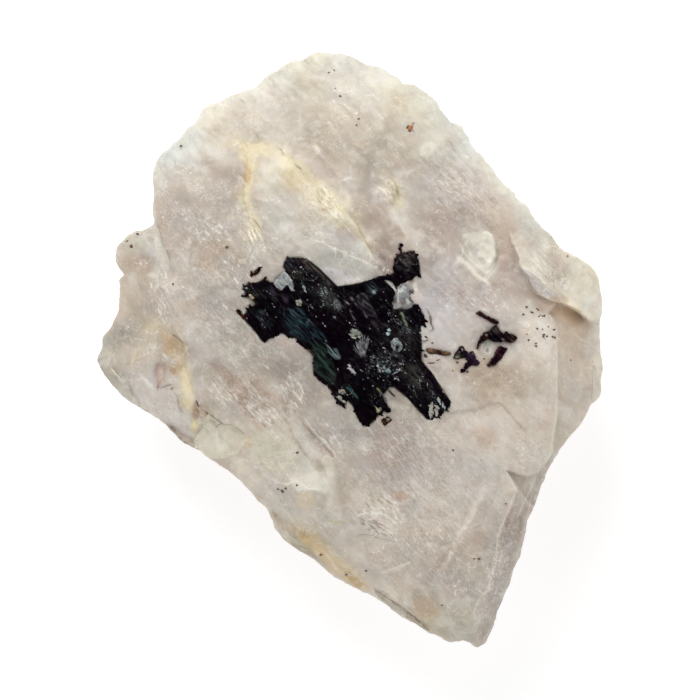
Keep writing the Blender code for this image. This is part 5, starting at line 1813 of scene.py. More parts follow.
# ------------------------------------------------------------- crystal group
GROUP = [
    (282.8, 266.7), (285, 261.5), (287.2, 256), (289, 258), (293, 258.5),
    (297, 257), (301.9, 258.5), (306.3, 258.6), (310.7, 261.5),
    (316.5, 265.9), (322.4, 271.8), (328.3, 277.7), (332.7, 282.1),
    (337.8, 286.5), (345.9, 285.4), (354.7, 284.3), (362, 282.5),
    (369.4, 280.2), (376.7, 277.7), (379.9, 276.2), (385.5, 275.8),
    (392.1, 273.7), (393.6, 271.8), (393.1, 266.7), (394.3, 260.8),
    (397.2, 255.7), (400.2, 253), (398.5, 246.1), (401.6, 242.5),
    (403.1, 243.9), (401.8, 247.6), (402.4, 253.5), (405.3, 252.7),
    (408.2, 251.3), (413.4, 250.2), (416.3, 254.9), (418.5, 261.5),
    (419.7, 269.6), (421.1, 277.7), (417, 275.5), (414.1, 276.9),
    (412.6, 279.1), (408.2, 280.6), (403.1, 282.8), (399.4, 285),
    (397.2, 289), (395.8, 286), (391.4, 280.6), (385.5, 279.1),
    (384, 279.9), (389.2, 285), (394.3, 290.1), (395.8, 293.1),
    (393.6, 297.5), (392.1, 303.3), (393.6, 309.9), (400.2, 309.2),
    (406, 309.9), (411.9, 307.7), (414.8, 304.1), (418.5, 304.8),
    (420.7, 309.9), (424.4, 316.5), (425.8, 321.7), (423.6, 325.3),
    (419.2, 327.5), (418.5, 331.2), (420.7, 337.8), (422.5, 344.4),
    (421.4, 351.8), (420.7, 359.1), (425.1, 365.7), (431, 371.6),
    (435.4, 378.2), (439.8, 385.5), (444.2, 392.8), (448.6, 398.7),
    (450.5, 400.9), (449.3, 406.8), (446.4, 409.7), (439, 415),
    (432.4, 420), (426.6, 419.2), (420.7, 412.6), (413.4, 404.6),
    (407.5, 398), (400.9, 392.1), (394.3, 387), (389.9, 386.2),
    (386.2, 390.6), (382.6, 394.3), (384, 400.2), (389.2, 408.2),
    (391.5, 410.8), (389, 412.5), (385.5, 411.9), (382.6, 410.4),
    (378.2, 416.3), (373.8, 422.2), (366.4, 426.3), (361.3, 423.6),
    (356.9, 417.8), (354.7, 409.7), (352.5, 405.3), (347.4, 400.9),
    (345.2, 404.6), (342.2, 407.5), (337.8, 403.1), (335.6, 399),
    (331.2, 391.4), (328.3, 386.2), (321.7, 382.6), (317.3, 378.9),
    (314.3, 374.5), (312.9, 366.4), (313.6, 357.6), (312.1, 354),
    (307.7, 349.6), (303.3, 347.4), (300.4, 345), (296.7, 340.8),
    (294.5, 337.8), (288.7, 338.6), (285.5, 335), (280.6, 332.8),
    (277.7, 335.6), (269.6, 338.5), (264.5, 343), (260.8, 339.3),
    (254.9, 331.2), (249.1, 324.6), (243.2, 318.7), (237.3, 313.6),
    (235.6, 309.2), (238.1, 309.2), (241, 312.1), (243.5, 316),
    (245.4, 312.5), (248.3, 308), (249.1, 303.3), (252, 307.7),
    (255.7, 303.3), (252.7, 300.4), (247.6, 296.7), (241.7, 296),
    (246.1, 293.1), (243.2, 288.7), (242.5, 285.7), (246.9, 285),
    (248.3, 281.3), (252, 283.5), (256.4, 282.8), (261.5, 280.6),
    (266.5, 276.8), (266.5, 281.5), (272.5, 282.8), (274, 286.5),
    (276.2, 289.4), (281.3, 291.3), (284.3, 287.8), (287.5, 285.5),
    (290.1, 291), (294.8, 292.2), (293.9, 283), (289.8, 275.5),
    (285.7, 271.1),
]

# Clean edges, where crystal faces end straight.
CALM = [
    [(236, 310), (249, 325), (264, 342)],
    [(304, 258.5), (318, 267), (338, 286), (362, 282), (385, 276)],
    [(423, 364), (437, 381), (449, 400)],
    [(392, 386), (408, 398), (426, 418)],
    [(384, 280), (396, 293)],
]

# Broken faces of the group: outline, height in mm, tilt in mm per 10 plan
# units towards +u and +v, softness of the edge.
GROUP_FACES = [
    ([(284, 266), (288, 257), (306, 258), (318, 268), (336, 286),
      (322, 292), (306, 286), (296, 279)], 0.10, 0.10, -0.12, 5),
    ([(316, 288), (338, 288), (344, 300), (332, 312), (318, 304)],
     0.06, -0.10, 0.10, 5),
    ([(283, 308), (300, 306), (312, 321), (325, 334), (331, 342),
      (318, 346), (300, 341), (290, 334), (283, 325)], 0.16, -0.05, -0.13,
     4),
    ([(312, 345), (318, 338), (325, 340), (329, 354), (333, 361),
      (337, 375), (336, 385), (328, 385), (316, 376), (312, 366)],
     0.12, 0.10, -0.08, 3),
    ([(325, 341), (334, 345), (341, 359), (334, 361), (327, 350)],
     0.26, 0.16, -0.10, 2),
    ([(355, 298), (366, 292), (378, 318), (366, 316)], 0.16, 0.18, -0.06,
     3),
    ([(378, 280), (390, 286), (394, 300), (386, 312), (376, 300)],
     0.10, 0.14, 0.0, 4),
    ([(246, 286), (262, 282), (276, 290), (280, 306), (262, 312),
      (254, 304)], 0.10, -0.06, -0.10, 5),
    ([(238, 312), (248, 310), (276, 322), (268, 338), (262, 340)],
     0.02, 0.04, 0.16, 5),
    ([(366, 330), (392, 322), (416, 330), (420, 356), (400, 366),
      (376, 352)], 0.06, 0.08, -0.06, 7),
    ([(396, 364), (424, 368), (446, 396), (444, 408), (416, 400),
      (400, 384)], 0.08, 0.14, -0.04, 6),
    ([(396, 256), (414, 252), (420, 268), (404, 280), (396, 272)],
     0.16, -0.12, -0.12, 4),
    ([(358, 388), (382, 396), (388, 410), (366, 424), (352, 404)],
     0.02, -0.05, 0.12, 5),
]


def ground_height(u, v):
    """The quartz face without its fine grain."""
    return quartz_height(u, v) - rough(u, v)


def group_relief(u, v):
    a, b = turn(u, v, 44)
    bend = 2.2 * ripple(u / 22, v / 22, 201)
    z = 0.42 + 0.24 * ripple(u / 16, v / 16, 21)
    for outline, height, tu, tv, soft in GROUP_FACES:
        pts = np.array(outline, dtype=float)
        cu, cv = pts.mean(0)
        m = ease(signed_distance(u, v, outline) / soft + 0.5)
        z = z + m * (height + (u - cu) / 10 * tu + (v - cv) / 10 * tv)
    broken = ripple(a / 15, (b + bend) / 6.5, 202) * 0.7 \
        + ripple(u / 7, v / 7, 203) * 0.3
    z = z + 0.34 * terrace(broken, 3.0, 0.35)
    chips = ripple(a / 7, (b + bend) / 3.4, 204)
    z = z + 0.13 * terrace(chips, 2.5, 0.4)
    z = z + 0.045 * (1 - 2 * np.abs(ripple(a / 16, (b + bend) / 2.1, 205)))
    z = z + 0.030 * ripple(u / 1.9, v / 1.9, 206)
    return z


GROUP_EDGE = jagged(GROUP, 0.6, 1.75, 231, CALM)


def group_height(u, v):
    d = signed_distance(u, v, GROUP_EDGE)
    rise = ease((d + 0.15) / 1.5)
    return ground_height(u, v) + rough(u, v) * (1 - rise) \
        + 0.06 * (1 - rise) + np.maximum(group_relief(u, v), 0.12) * rise


def group_face(u, v):
    """The group's surface away from its edge."""
    return ground_height(u, v) + np.maximum(group_relief(u, v), 0.12)


GROUP_MARKS = [
    # upper lobe
    ("oval", (291, 264), 8, 5, 20, (66, 74, 78), .95),
    ("oval", (300, 263), 5, 3.5, 20, (24, 17, 15), .9),
    ("oval", (308, 265), 6, 5, 30, (74, 66, 58), .9),
    ("path", [(306, 261), (314, 268), (322, 276), (330, 284)], 2.2,
     (88, 84, 80), .8),
    ("oval", (297, 274), 7, 5, 40, (66, 60, 50), .7),
    ("oval", (316, 283), 8, 5, 45, (22, 17, 20), .6),
    ("oval", (328, 298), 13, 8, 45, (84, 84, 78), .6),
    ("path", [(336, 300), (340, 309)], 1.6, (100, 100, 98), .8),
    ("oval", (312, 292), 7, 5, 40, (38, 40, 42), .7),
    # blue-green faces: painted sheen where they catch the light, with painted
    # highlights along their ridges
    ("poly", [(283, 308), (300, 307), (312, 322), (325, 335), (330, 342),
              (318, 345), (310, 344), (300, 340), (290, 333), (283, 325)],
     1.6, (28, 42, 49), .92),
    ("path", [(289, 308), (296, 313), (303, 318)], 1.1, (76, 100, 105), .4),
    ("path", [(290, 312), (302, 324), (315, 336)], 0.9, (78, 104, 108), .4),
    ("path", [(285, 316), (297, 327), (310, 338)], 1.0, (66, 92, 98), .4),
    ("path", [(298, 308), (312, 324), (326, 338)], 0.9, (60, 84, 92), .4),
    ("path", [(286, 322), (298, 334)], 0.9, (52, 78, 86), .4),
    ("poly", [(312, 345), (318, 338), (324, 340), (326, 348), (328, 354),
              (332, 361), (335, 368), (336, 375), (335.5, 384), (329, 384),
              (322, 378), (316, 372), (313, 366), (313, 356)], 1.2,
     (35, 49, 43), .92),
    ("path", [(314, 350), (324, 362), (333, 374)], 1.0, (62, 88, 80), .4),
    ("path", [(318, 344), (328, 358), (334, 368)], 0.9, (58, 84, 76), .4),
    ("path", [(314, 360), (322, 370), (330, 380)], 0.9, (56, 80, 72), .4),
    ("poly", [(325, 342), (331, 347), (337, 349), (341.5, 359),
              (335, 360), (328, 352)], 1.0, (84, 102, 102), .9),
    ("path", [(328, 346), (334, 354), (339, 359)], 1.0, (130, 150, 150),
     .6),
    # middle
    ("poly", [(355, 297), (360, 293), (365, 293), (370, 302), (378, 318),
              (366, 315), (361, 308)], 1.0, (68, 64, 67), .9),
    ("path", [(351, 298), (358, 306), (367, 317)], 1.5, (122, 117, 126),
     .9),
    ("oval", (374, 322), 6, 4, 20, (56, 50, 54), .6),
    ("path", [(344, 300), (349, 304)], 1.1, (150, 146, 152), .8),
    ("path", [(350, 310), (355, 320)], 1.1, (140, 136, 142), .8),
    ("oval", (372, 287), 5, 7, 160, (76, 90, 92), .8),
    ("oval", (374.5, 291.5), 2, 2, 0, (160, 180, 180), .8),
    ("poly", [(346, 388), (349, 384), (353, 389), (360, 401), (348, 391)],
     0.9, (58, 90, 84), .9),
    ("oval", (388, 371), 3.5, 3, 0, (100, 136, 140), .8),
    ("oval", (334, 318), 2.4, 2.4, 0, (90, 110, 112), .7),
    ("oval", (307.5, 322), 1.8, 2.4, 0, (90, 112, 114), .7),
    # left arm
    ("oval", (261, 313), 4.5, 4, 20, (56, 76, 80), .9),
    ("oval", (265, 321), 8, 4, 30, (34, 46, 54), .7),
    ("oval", (272.5, 291), 3, 6, 160, (60, 50, 66), .8),
    ("oval", (285, 298.5), 3, 5, 160, (62, 54, 68), .8),
    ("oval", (254, 292), 6, 5, 30, (44, 40, 34), .6),
    ("path", [(250, 284), (258, 290), (266, 298)], 1.3, (70, 66, 58), .5),
    ("path", [(236, 311), (241, 315), (246, 320)], 1.6, (84, 24, 18), .8),
    ("oval", (267, 279.5), 2.4, 1.8, 140, (90, 34, 16), .8),
    ("path", [(247, 296), (252, 300), (256, 304)], 1.2, (110, 96, 60), .6),
    # right body and leg
    ("oval", (412, 374), 16, 10, 40, (78, 73, 64), .65),
    ("oval", (406, 338), 14, 11, 40, (60, 57, 54), .6),
    ("oval", (392, 360), 14, 8, 40, (52, 54, 58), .6),
    ("oval", (384, 340), 12, 9, 40, (30, 28, 32), .5),
    ("oval", (428, 388), 12, 8, 45, (62, 58, 56), .6),
    ("path", [(402, 313), (404, 318), (407, 325)], 1.4, (150, 158, 132),
     .8),
    ("oval", (421, 417), 4, 4, 40, (70, 62, 78), .7),
    ("oval", (350, 404), 3, 2.4, 20, (84, 84, 52), .6),
    ("oval", (309, 351), 3, 2.4, 20, (86, 90, 48), .6),
    ("oval", (406, 261), 9, 9, 20, (74, 70, 64), .9),
    ("oval", (410, 256), 5, 4, 20, (96, 92, 84), .6),
    ("oval", (408, 275), 9, 4, 160, (14, 11, 14), .7),
    ("oval", (396, 251), 3, 4, 0, (110, 106, 104), .5),
    ("path", [(399, 244), (401, 249), (401, 254)], 1.2, (30, 24, 26), .8),
    ("path", [(377.5, 388.5), (379.5, 390), (381, 392)], 0.9,
     (190, 190, 120), .8),
    ("path", [(382, 393), (386, 402), (391, 409)], 0.8, (196, 190, 200),
     .8),
]


# How gritty with pale grains the group is: middle, radii, direction, amount.
GRIT = [
    (386, 368, 24, 16, 20, 1.0), (398, 352, 18, 14, 30, 0.9),
    (368, 352, 14, 16, 40, 0.6), (330, 298, 20, 12, 45, 1.0),
    (304, 276, 15, 13, 40, 0.9), (316, 306, 14, 9, 40, 0.7),
    (418, 382, 20, 13, 45, 0.85), (436, 400, 12, 9, 45, 0.7),
    (404, 326, 18, 14, 40, 0.85), (392, 308, 9, 9, 0, 0.9),
    (264, 318, 14, 9, 30, 0.6), (272, 300, 16, 10, 30, 0.5),
    (252, 292, 10, 8, 30, 0.7), (344, 394, 11, 10, 30, 0.75),
    (376, 398, 12, 9, 30, 0.45), (352, 330, 14, 9, 30, 0.5),
    (408, 262, 13, 12, 0, 0.75), (386, 330, 14, 10, 30, 0.7),
    (352, 376, 14, 12, 30, 0.35), (374, 414, 11, 9, 0, 0.25),
    (345, 300, 9, 14, 150, 0.5), (380, 296, 12, 12, 0, 0.5),
    (300, 262, 18, 6, 10, 0.6), (246, 316, 8, 8, 0, 0.4),
]


def group_grit(u, v):
    out = np.zeros(u.shape)
    for x, y, rx, ry, degrees, amount in GRIT:
        a, b = turn(u - x, v - y, degrees, rx, ry)
        out = np.maximum(out, amount * np.exp(-(a * a + b * b) * 0.8))
    return np.clip(out * (0.75 + 0.6 * ripple(u / 6, v / 6, 221)), 0, 1)


def group_colour(u, v):
    c = paint(u, v, GROUP_MARKS, (4, 1, 5), 1.2)
    a, b = turn(u, v, 44)
    bend = 2.2 * ripple(u / 22, v / 22, 201)
    # painted highlight on the ridges of the relief, plus pale random mottle in
    # patches
    ridge = 1 - 2 * np.abs(ripple(a / 16, (b + bend) / 2.1, 205))
    patch = ease(0.35 + 1.1 * ripple(u / 13, v / 13, 211))
    ridge_highlight_and_mottle = patch * np.maximum(ridge, 0) ** 1.5 * 20 \
        + 9 * np.maximum(ripple(u / 4, v / 4, 212), 0) * patch
    c = c + ridge_highlight_and_mottle[:, None] * np.array([0.98, 0.94, 1.0])
    # fine parallel lines in the painted sheen of the two blue-green faces
    for outline, gain in ((GROUP_FACES[2][0], 13), (GROUP_FACES[3][0], 12)):
        face = ease(signed_distance(u, v, outline) / 3 + 0.5)
        fine = ripple(a / 24, (b + bend * 0.2) / 0.95, 217) \
            + 0.6 * ripple(a / 11, b / 0.6, 218)
        c = c + (face * fine * gain)[:, None] * np.array([0.7, 1.0, 1.0])
    warm = ripple(u / 20, v / 20, 215)
    c[:, 0] += 5 * np.maximum(warm, 0)
    c[:, 1] += 3 * np.maximum(-warm, 0)
    edge = ease(1 - signed_distance(u, v, GROUP_EDGE) / 1.4)
    rim_red = ease(0.2 + 1.3 * ripple(u / 12, v / 12, 216))
    c = c + (edge * rim_red)[:, None] * np.array([26, 7, 6])
    return np.clip(c, 1, 255)


# ------------------------------------------------------- splinters and chips
# Plan outline, height over the quartz, direction of its lines, body tone and
# marks.
SPLINTERS = {
    "tourmaline_needle": (
        [(475.6, 313.4), (477.2, 312.4), (479, 311.3), (483, 313.6),
         (488, 316.4), (493, 318.6), (498.6, 321), (498.8, 322.6),
         (497.4, 324.2), (494, 323.6), (490, 321.6), (486, 319.2),
         (482, 317), (478.4, 315.2)], 0.50, 26, (50, 26, 24),
        [("oval", (478, 313.4), 2.2, 1.6, 30, (96, 52, 40), .7),
         ("path", [(484, 316.4), (492, 319.8), (498, 322.4)], 1.0,
          (26, 12, 18), .9)]),
    "tourmaline_sheaf": (
        [(495.5, 324.3), (498.5, 328.5), (501.6, 331.6), (503.5, 334),
         (506.5, 331.2), (509.3, 333.6), (512, 334.4), (515, 335.3),
         (517.6, 337.6), (514.3, 341.7), (510, 343.2), (507, 342.2),
         (503.5, 340.2), (501, 341.8), (497, 342.2), (492.5, 341.6),
         (489.5, 338.8), (487.6, 338.8), (483, 342.3), (480.2, 344.2),
         (477.6, 349.2), (475.8, 349), (478.2, 342), (481, 337),
         (484.6, 333), (488, 331.3), (490.6, 329.6), (493, 327)],
        0.70, 40, (20, 12, 16),
        [("oval", (495.5, 330), 4, 4.5, 0, (72, 62, 60), .9),
         ("oval", (496, 338), 6.5, 3.2, 10, (8, 6, 8), .9),
         ("oval", (511, 338.5), 5.5, 4.2, 20, (74, 48, 42), .85),
         ("oval", (513.6, 340.6), 3, 1.4, 150, (112, 78, 66), .6),
         ("oval", (484, 336.5), 4.2, 3.4, 140, (52, 18, 16), .9),
         ("oval", (486.6, 334.6), 1.6, 1.2, 20, (176, 172, 158), .9),
         ("oval", (503.4, 339.6), 1.8, 1.2, 30, (150, 148, 140), .8),
         ("path", [(489, 331), (492, 334.6)], 0.5, (120, 108, 100), .7),
         ("path", [(505, 333), (508, 336), (511, 338)], 0.5,
          (110, 96, 92), .7),
         ("oval", (480.4, 341.6), 0.9, 0.9, 0, (120, 100, 90), .7),
         ("oval", (478.5, 345.5), 3, 3.4, 120, (50, 16, 16), .9)]),
    "tourmaline_rod": (
        [(499.5, 346), (502, 346.5), (504.8, 347.4), (507.8, 348.4),
         (506.4, 351), (504.5, 353.2), (502, 358), (498, 362),
         (494, 365.5), (489, 367), (486.8, 365.4), (490, 361.6),
         (493, 357), (496, 351)], 0.60, 122, (46, 15, 22),
        [("path", [(504, 349), (499, 357), (490, 365)], 1.3,
          (20, 8, 14), .85),
         ("path", [(489, 365.6), (494, 363)], 1.0, (78, 26, 26), .7),
         ("path", [(498.5, 349), (494, 358)], 0.7, (112, 78, 80), .6)]),
    "tourmaline_left_splinters": (
        [(454, 358), (455, 353.4), (457.6, 350), (460, 345.5),
         (463, 346), (464.4, 349), (465.6, 351), (470.2, 353),
         (473.3, 351.3), (475.3, 354.7), (476.7, 360), (480, 362.7),
         (476.7, 365.3), (472, 365.3), (468.7, 366.7), (464, 372),
         (460.7, 373.7), (460, 372), (462.6, 368.6), (465.3, 365.3),
         (467.6, 361), (465.3, 357.8), (460.6, 358), (456.7, 359.4)],
        0.50, 38, (34, 20, 32),
        [("oval", (458.5, 354.5), 4, 3.6, 140, (38, 38, 24), .9),
         ("oval", (457, 357), 1.6, 1.3, 0, (196, 196, 184), .8),
         ("oval", (462, 349.4), 1.0, 1.3, 0, (200, 196, 186), .9),
         ("oval", (459.4, 352), 0.9, 0.8, 0, (150, 146, 130), .8),
         ("oval", (463.6, 354.6), 1.0, 0.8, 30, (128, 124, 112), .8),
         ("path", [(456, 356.6), (460, 357.8)], 0.5, (120, 118, 84), .8),
         ("path", [(469, 353.6), (473, 357)], 0.5, (108, 92, 116), .7),
         ("path", [(466.4, 362.4), (474, 363.8)], 0.5, (84, 56, 84), .7),
         ("oval", (471, 358.5), 5.5, 4.6, 30, (42, 24, 44), .9),
         ("oval", (473.6, 353.4), 2.2, 1.6, 30, (96, 92, 84), .7),
         ("path", [(468, 366), (464, 370.6), (461, 373)], 2.0,
          (60, 20, 24), .9)]),
    "tourmaline_brown_needle": (
        [(425.4, 349.6), (428, 348.4), (433, 349), (438.5, 349.8),
         (444, 351), (449, 352), (450.6, 353.8), (449.4, 355.4),
         (444, 355), (438, 354.6), (432, 353.8), (427.4, 352.6)],
        0.40, 10, (100, 70, 52),
        [("path", [(426, 349.6), (436, 350), (448, 352)], 0.8,
          (138, 104, 82), .8),
         ("path", [(428, 352.6), (438, 354), (448, 355)], 0.8,
          (58, 38, 30), .8),
         ("path", [(433, 351.6), (440, 352.6)], 0.9, (66, 44, 36), .7),
         ("oval", (447, 353.4), 3, 1.6, 10, (98, 84, 50), .7)]),
    "tourmaline_left_flake": (
        [(249.4, 274.3), (250, 271.4), (251.4, 270.4), (253, 272.3),
         (255, 270.3), (258.8, 267.3), (262.2, 266.6), (261, 269.4),
         (259.2, 271.6), (257.8, 273.3), (255.5, 275), (253, 275.2),
         (251.2, 277.2)], 0.40, 150, (48, 12, 8),
        [("path", [(251, 273), (256, 272), (260, 268)], 1.2,
          (30, 8, 6), .8),
         ("oval", (256.5, 271.6), 1.8, 1.2, 30, (84, 34, 24), .6)]),
    "tourmaline_lower_chip": (
        [(381.4, 420.8), (383.2, 419.2), (385, 418.4), (387, 416.2),
         (389.2, 417.4), (391.5, 420), (390.4, 422), (388, 422.8),
         (386.6, 424.2), (384.5, 425.7), (382.4, 423.6)], 0.35, 30,
        (44, 28, 14),
        [("oval", (388.4, 419.3), 1.5, 1.3, 20, (186, 174, 166), .9),
         ("path", [(386.2, 418.6), (387.4, 421.6)], 0.5, (190, 178, 164),
          .6),
         ("oval", (383.6, 422), 1.4, 1.2, 0, (74, 48, 20), .7)]),
}

QUARTZ_CHIP = [
    (275.2, 286.8), (273.7, 284.4), (274.2, 281.6), (275.2, 279.4),
    (277.2, 277), (279.2, 275.4), (281.4, 273.4), (283.2, 271.6),
    (284.6, 271), (286.6, 272.6), (288.6, 274.6), (290.4, 277.2),
    (292.4, 279.4), (293.2, 282), (294, 286), (294.2, 289.6),
    (293.8, 291.8), (291.8, 290.8), (289.6, 288.4), (288.2, 286.2),
    (287.2, 285.2), (285.2, 287), (283.4, 289.4), (281.6, 291),
    (279.6, 289.8), (277.4, 288.4), (276.2, 288.6),
]
CHIP_MARKS = [
    ("path", [(274.6, 282), (276.2, 286.6)], 1.2, (200, 203, 206), .9),
    ("path", [(275.6, 286.8), (281.4, 290.8)], 1.0, (226, 228, 232), .9),
    ("path", [(276, 282), (280, 286), (282.4, 289)], 0.9,
     (196, 200, 198), .85),
    ("path", [(280.4, 280.4), (282.8, 283.6)], 0.8, (204, 208, 204), .85),
    ("path", [(287, 284.6), (284, 287.4), (281.8, 290)], 0.8,
     (204, 208, 206), .85),
    ("path", [(284.4, 271.6), (288.6, 276), (291.6, 279.6)], 1.4,
     (188, 194, 188), .85),
    ("oval", (291, 280.2), 1.4, 1.4, 30, (210, 214, 212), .9),
    ("path", [(289, 287), (291, 289.6), (293.6, 291.4)], 1.0,
     (198, 206, 214), .9),
    ("path", [(293, 282.4), (293.8, 288)], 0.9, (160, 166, 176), .8),
    ("oval", (290.6, 285.6), 1.2, 2.4, 160, (92, 96, 100), .8),
    ("oval", (277, 278.6), 1.8, 1.5, 30, (92, 84, 96), .85),
    ("oval", (279, 276.2), 1.5, 1.1, 140, (104, 98, 112), .7),
    ("path", [(277, 284.4), (281, 288.2)], 0.8, (108, 114, 112), .8),
    ("path", [(280, 282.4), (283, 286)], 0.8, (118, 124, 124), .7),
]


def blade(ring, proud, degrees, seed):
    def top(u, v):
        rise = ease((signed_distance(u, v, ring) + 0.15) / 1.2)
        a, b = turn(u, v, degrees)
        relief = proud * (0.78 + 0.22 * ripple(a / 6, b / 2.6, seed)) \
            + 0.06 * (1 - 2 * np.abs(ripple(a / 9, b / 1.2, seed + 1)))
        return ground_height(u, v) + rough(u, v) * (1 - rise) \
            + 0.05 * (1 - rise) + relief * rise
    return top


def blade_tint(marks, body, degrees, seed):
    def tint(u, v):
        c = paint(u, v, marks, body, 0.5)
        a, b = turn(u, v, degrees)
        # painted light and shade: lighter on the ridges of the blade's relief,
        # darker in its grooves
        ridge = 1 - 2 * np.abs(ripple(a / 9, b / 1.2, seed + 1))
        return np.clip(c + (ridge * 14)[:, None], 3, 255)
    return tint


def sunk(drop):
    return lambda u, v: ground_height(u, v) - drop


def oval_ring(x, y, rx, ry, degrees, seed, n=9, rough_edge=0.22):
    t = np.arange(n) / n * 2 * math.pi + seed * 0.7
    r = 1 + rough_edge * ripple(t * 1.3 + seed * 3.1, t * 0 + seed * 0.37,
                                17)
    a = math.radians(degrees)
    px, py = np.cos(t) * rx * r, np.sin(t) * ry * r
    return np.stack([x + px * math.cos(a) - py * math.sin(a),
                     y + px * math.sin(a) + py * math.cos(a)], -1)


def dome_on(carrier, ring, proud, seed):
    def top(u, v):
        d = signed_distance(u, v, ring)
        reach = max(float(d.max()), 0.3)
        rise = np.clip(d / reach + 0.05, 0, 1) ** 0.6
        return carrier(u, v) - 0.02 \
            + proud * rise * (0.85 + 0.3 * ripple(u / 1.6, v / 1.6, seed))
    return top


def plain(colour, spread, seed):
    def tint(u, v):
        n = ripple(u / 1.7, v / 1.7, seed) * spread
        return np.clip(np.array(colour)[None, :] + n[:, None], 3, 255)
    return tint


# Pale quartz grains caught in the group: outline, tone, height in mm.
GRAINS = [
    ([(295.5, 303), (297, 300.5), (299.5, 298.5), (301.5, 301), (302, 304),
      (300.5, 306.5), (297.5, 306)], (152, 156, 136), 0.30),
    ([(302.5, 288), (303.5, 286), (306.5, 287), (306.4, 290), (307, 293.3),
      (304.5, 292), (302.8, 290)], (138, 156, 152), 0.28),
    ([(348.5, 334.5), (351, 331), (354, 329.5), (358, 330), (361, 332),
      (362.5, 334.5), (359.5, 336.4), (356, 338), (352, 336.8)],
     (136, 140, 130), 0.34),
    ([(351, 336.6), (356, 337.2), (360.4, 335.8), (362.2, 334.6),
      (360, 337.2), (356, 338.8), (352.4, 338)], (202, 202, 184), 0.30),
    ([(347, 364), (349.4, 364.4), (353, 369), (357, 374), (356, 376.2),
      (352, 373.5), (347.4, 368)], (190, 190, 194), 0.26),
    ([(338, 391), (341, 389.7), (344, 389.5), (346, 393), (343, 394.7),
      (339.4, 393.5)], (166, 157, 138), 0.30),
    ([(336.6, 396.6), (339, 395.5), (341, 397), (343.4, 400),
      (346.2, 402), (346, 404), (341.6, 401.4), (338, 399.8)],
     (142, 146, 126), 0.26),
    ([(375, 406), (377, 407.4), (378.6, 408.6), (381, 407),
      (381.5, 410), (379, 412.3), (376.5, 412)], (150, 145, 106), 0.26),
    ([(428.4, 405.6), (430.4, 403), (432.4, 401.4), (433.6, 404.4),
      (433, 409), (434, 413), (432.6, 417.4), (430.2, 418.6),
      (428.6, 413)], (172, 168, 156), 0.30),
    ([(434.6, 405), (437.6, 405), (440, 408), (438.4, 410.6), (438, 415),
      (435.4, 416.4), (434.4, 410)], (164, 158, 150), 0.28),
    ([(436.4, 399.4), (438.4, 397.2), (440.2, 399.6), (441.2, 403.4),
      (440.4, 406), (438.4, 402.6)], (168, 178, 172), 0.28),
    ([(441.6, 401), (444.6, 404), (446.6, 407.8), (444.4, 409.6),
      (442, 407)], (150, 162, 160), 0.26),
    ([(387.4, 329), (389.6, 328.4), (391, 330), (390, 331.8),
      (387.8, 331)], (178, 200, 202), 0.18),
    ([(385.8, 332.6), (388, 331.8), (389.6, 333.2), (388.4, 334.9),
      (386.2, 334.3)], (170, 192, 196), 0.18),
    ([(248.5, 294.5), (251, 293.8), (253, 296), (255, 298.5), (252, 299),
      (249.5, 297.5)], (188, 168, 124), 0.22),
    ([(386.2, 369), (389.4, 368.4), (391, 371), (389.6, 373),
      (386.8, 372)], (118, 150, 154), 0.18),
]
RING_GRAIN = [(390.6, 342), (392.4, 340), (394, 337.8), (398.5, 338.2),
              (399.4, 340.6), (401.2, 342), (403, 347), (401.5, 350),
              (398.6, 352.2), (396.8, 350.4), (394, 351), (391.4, 347)]

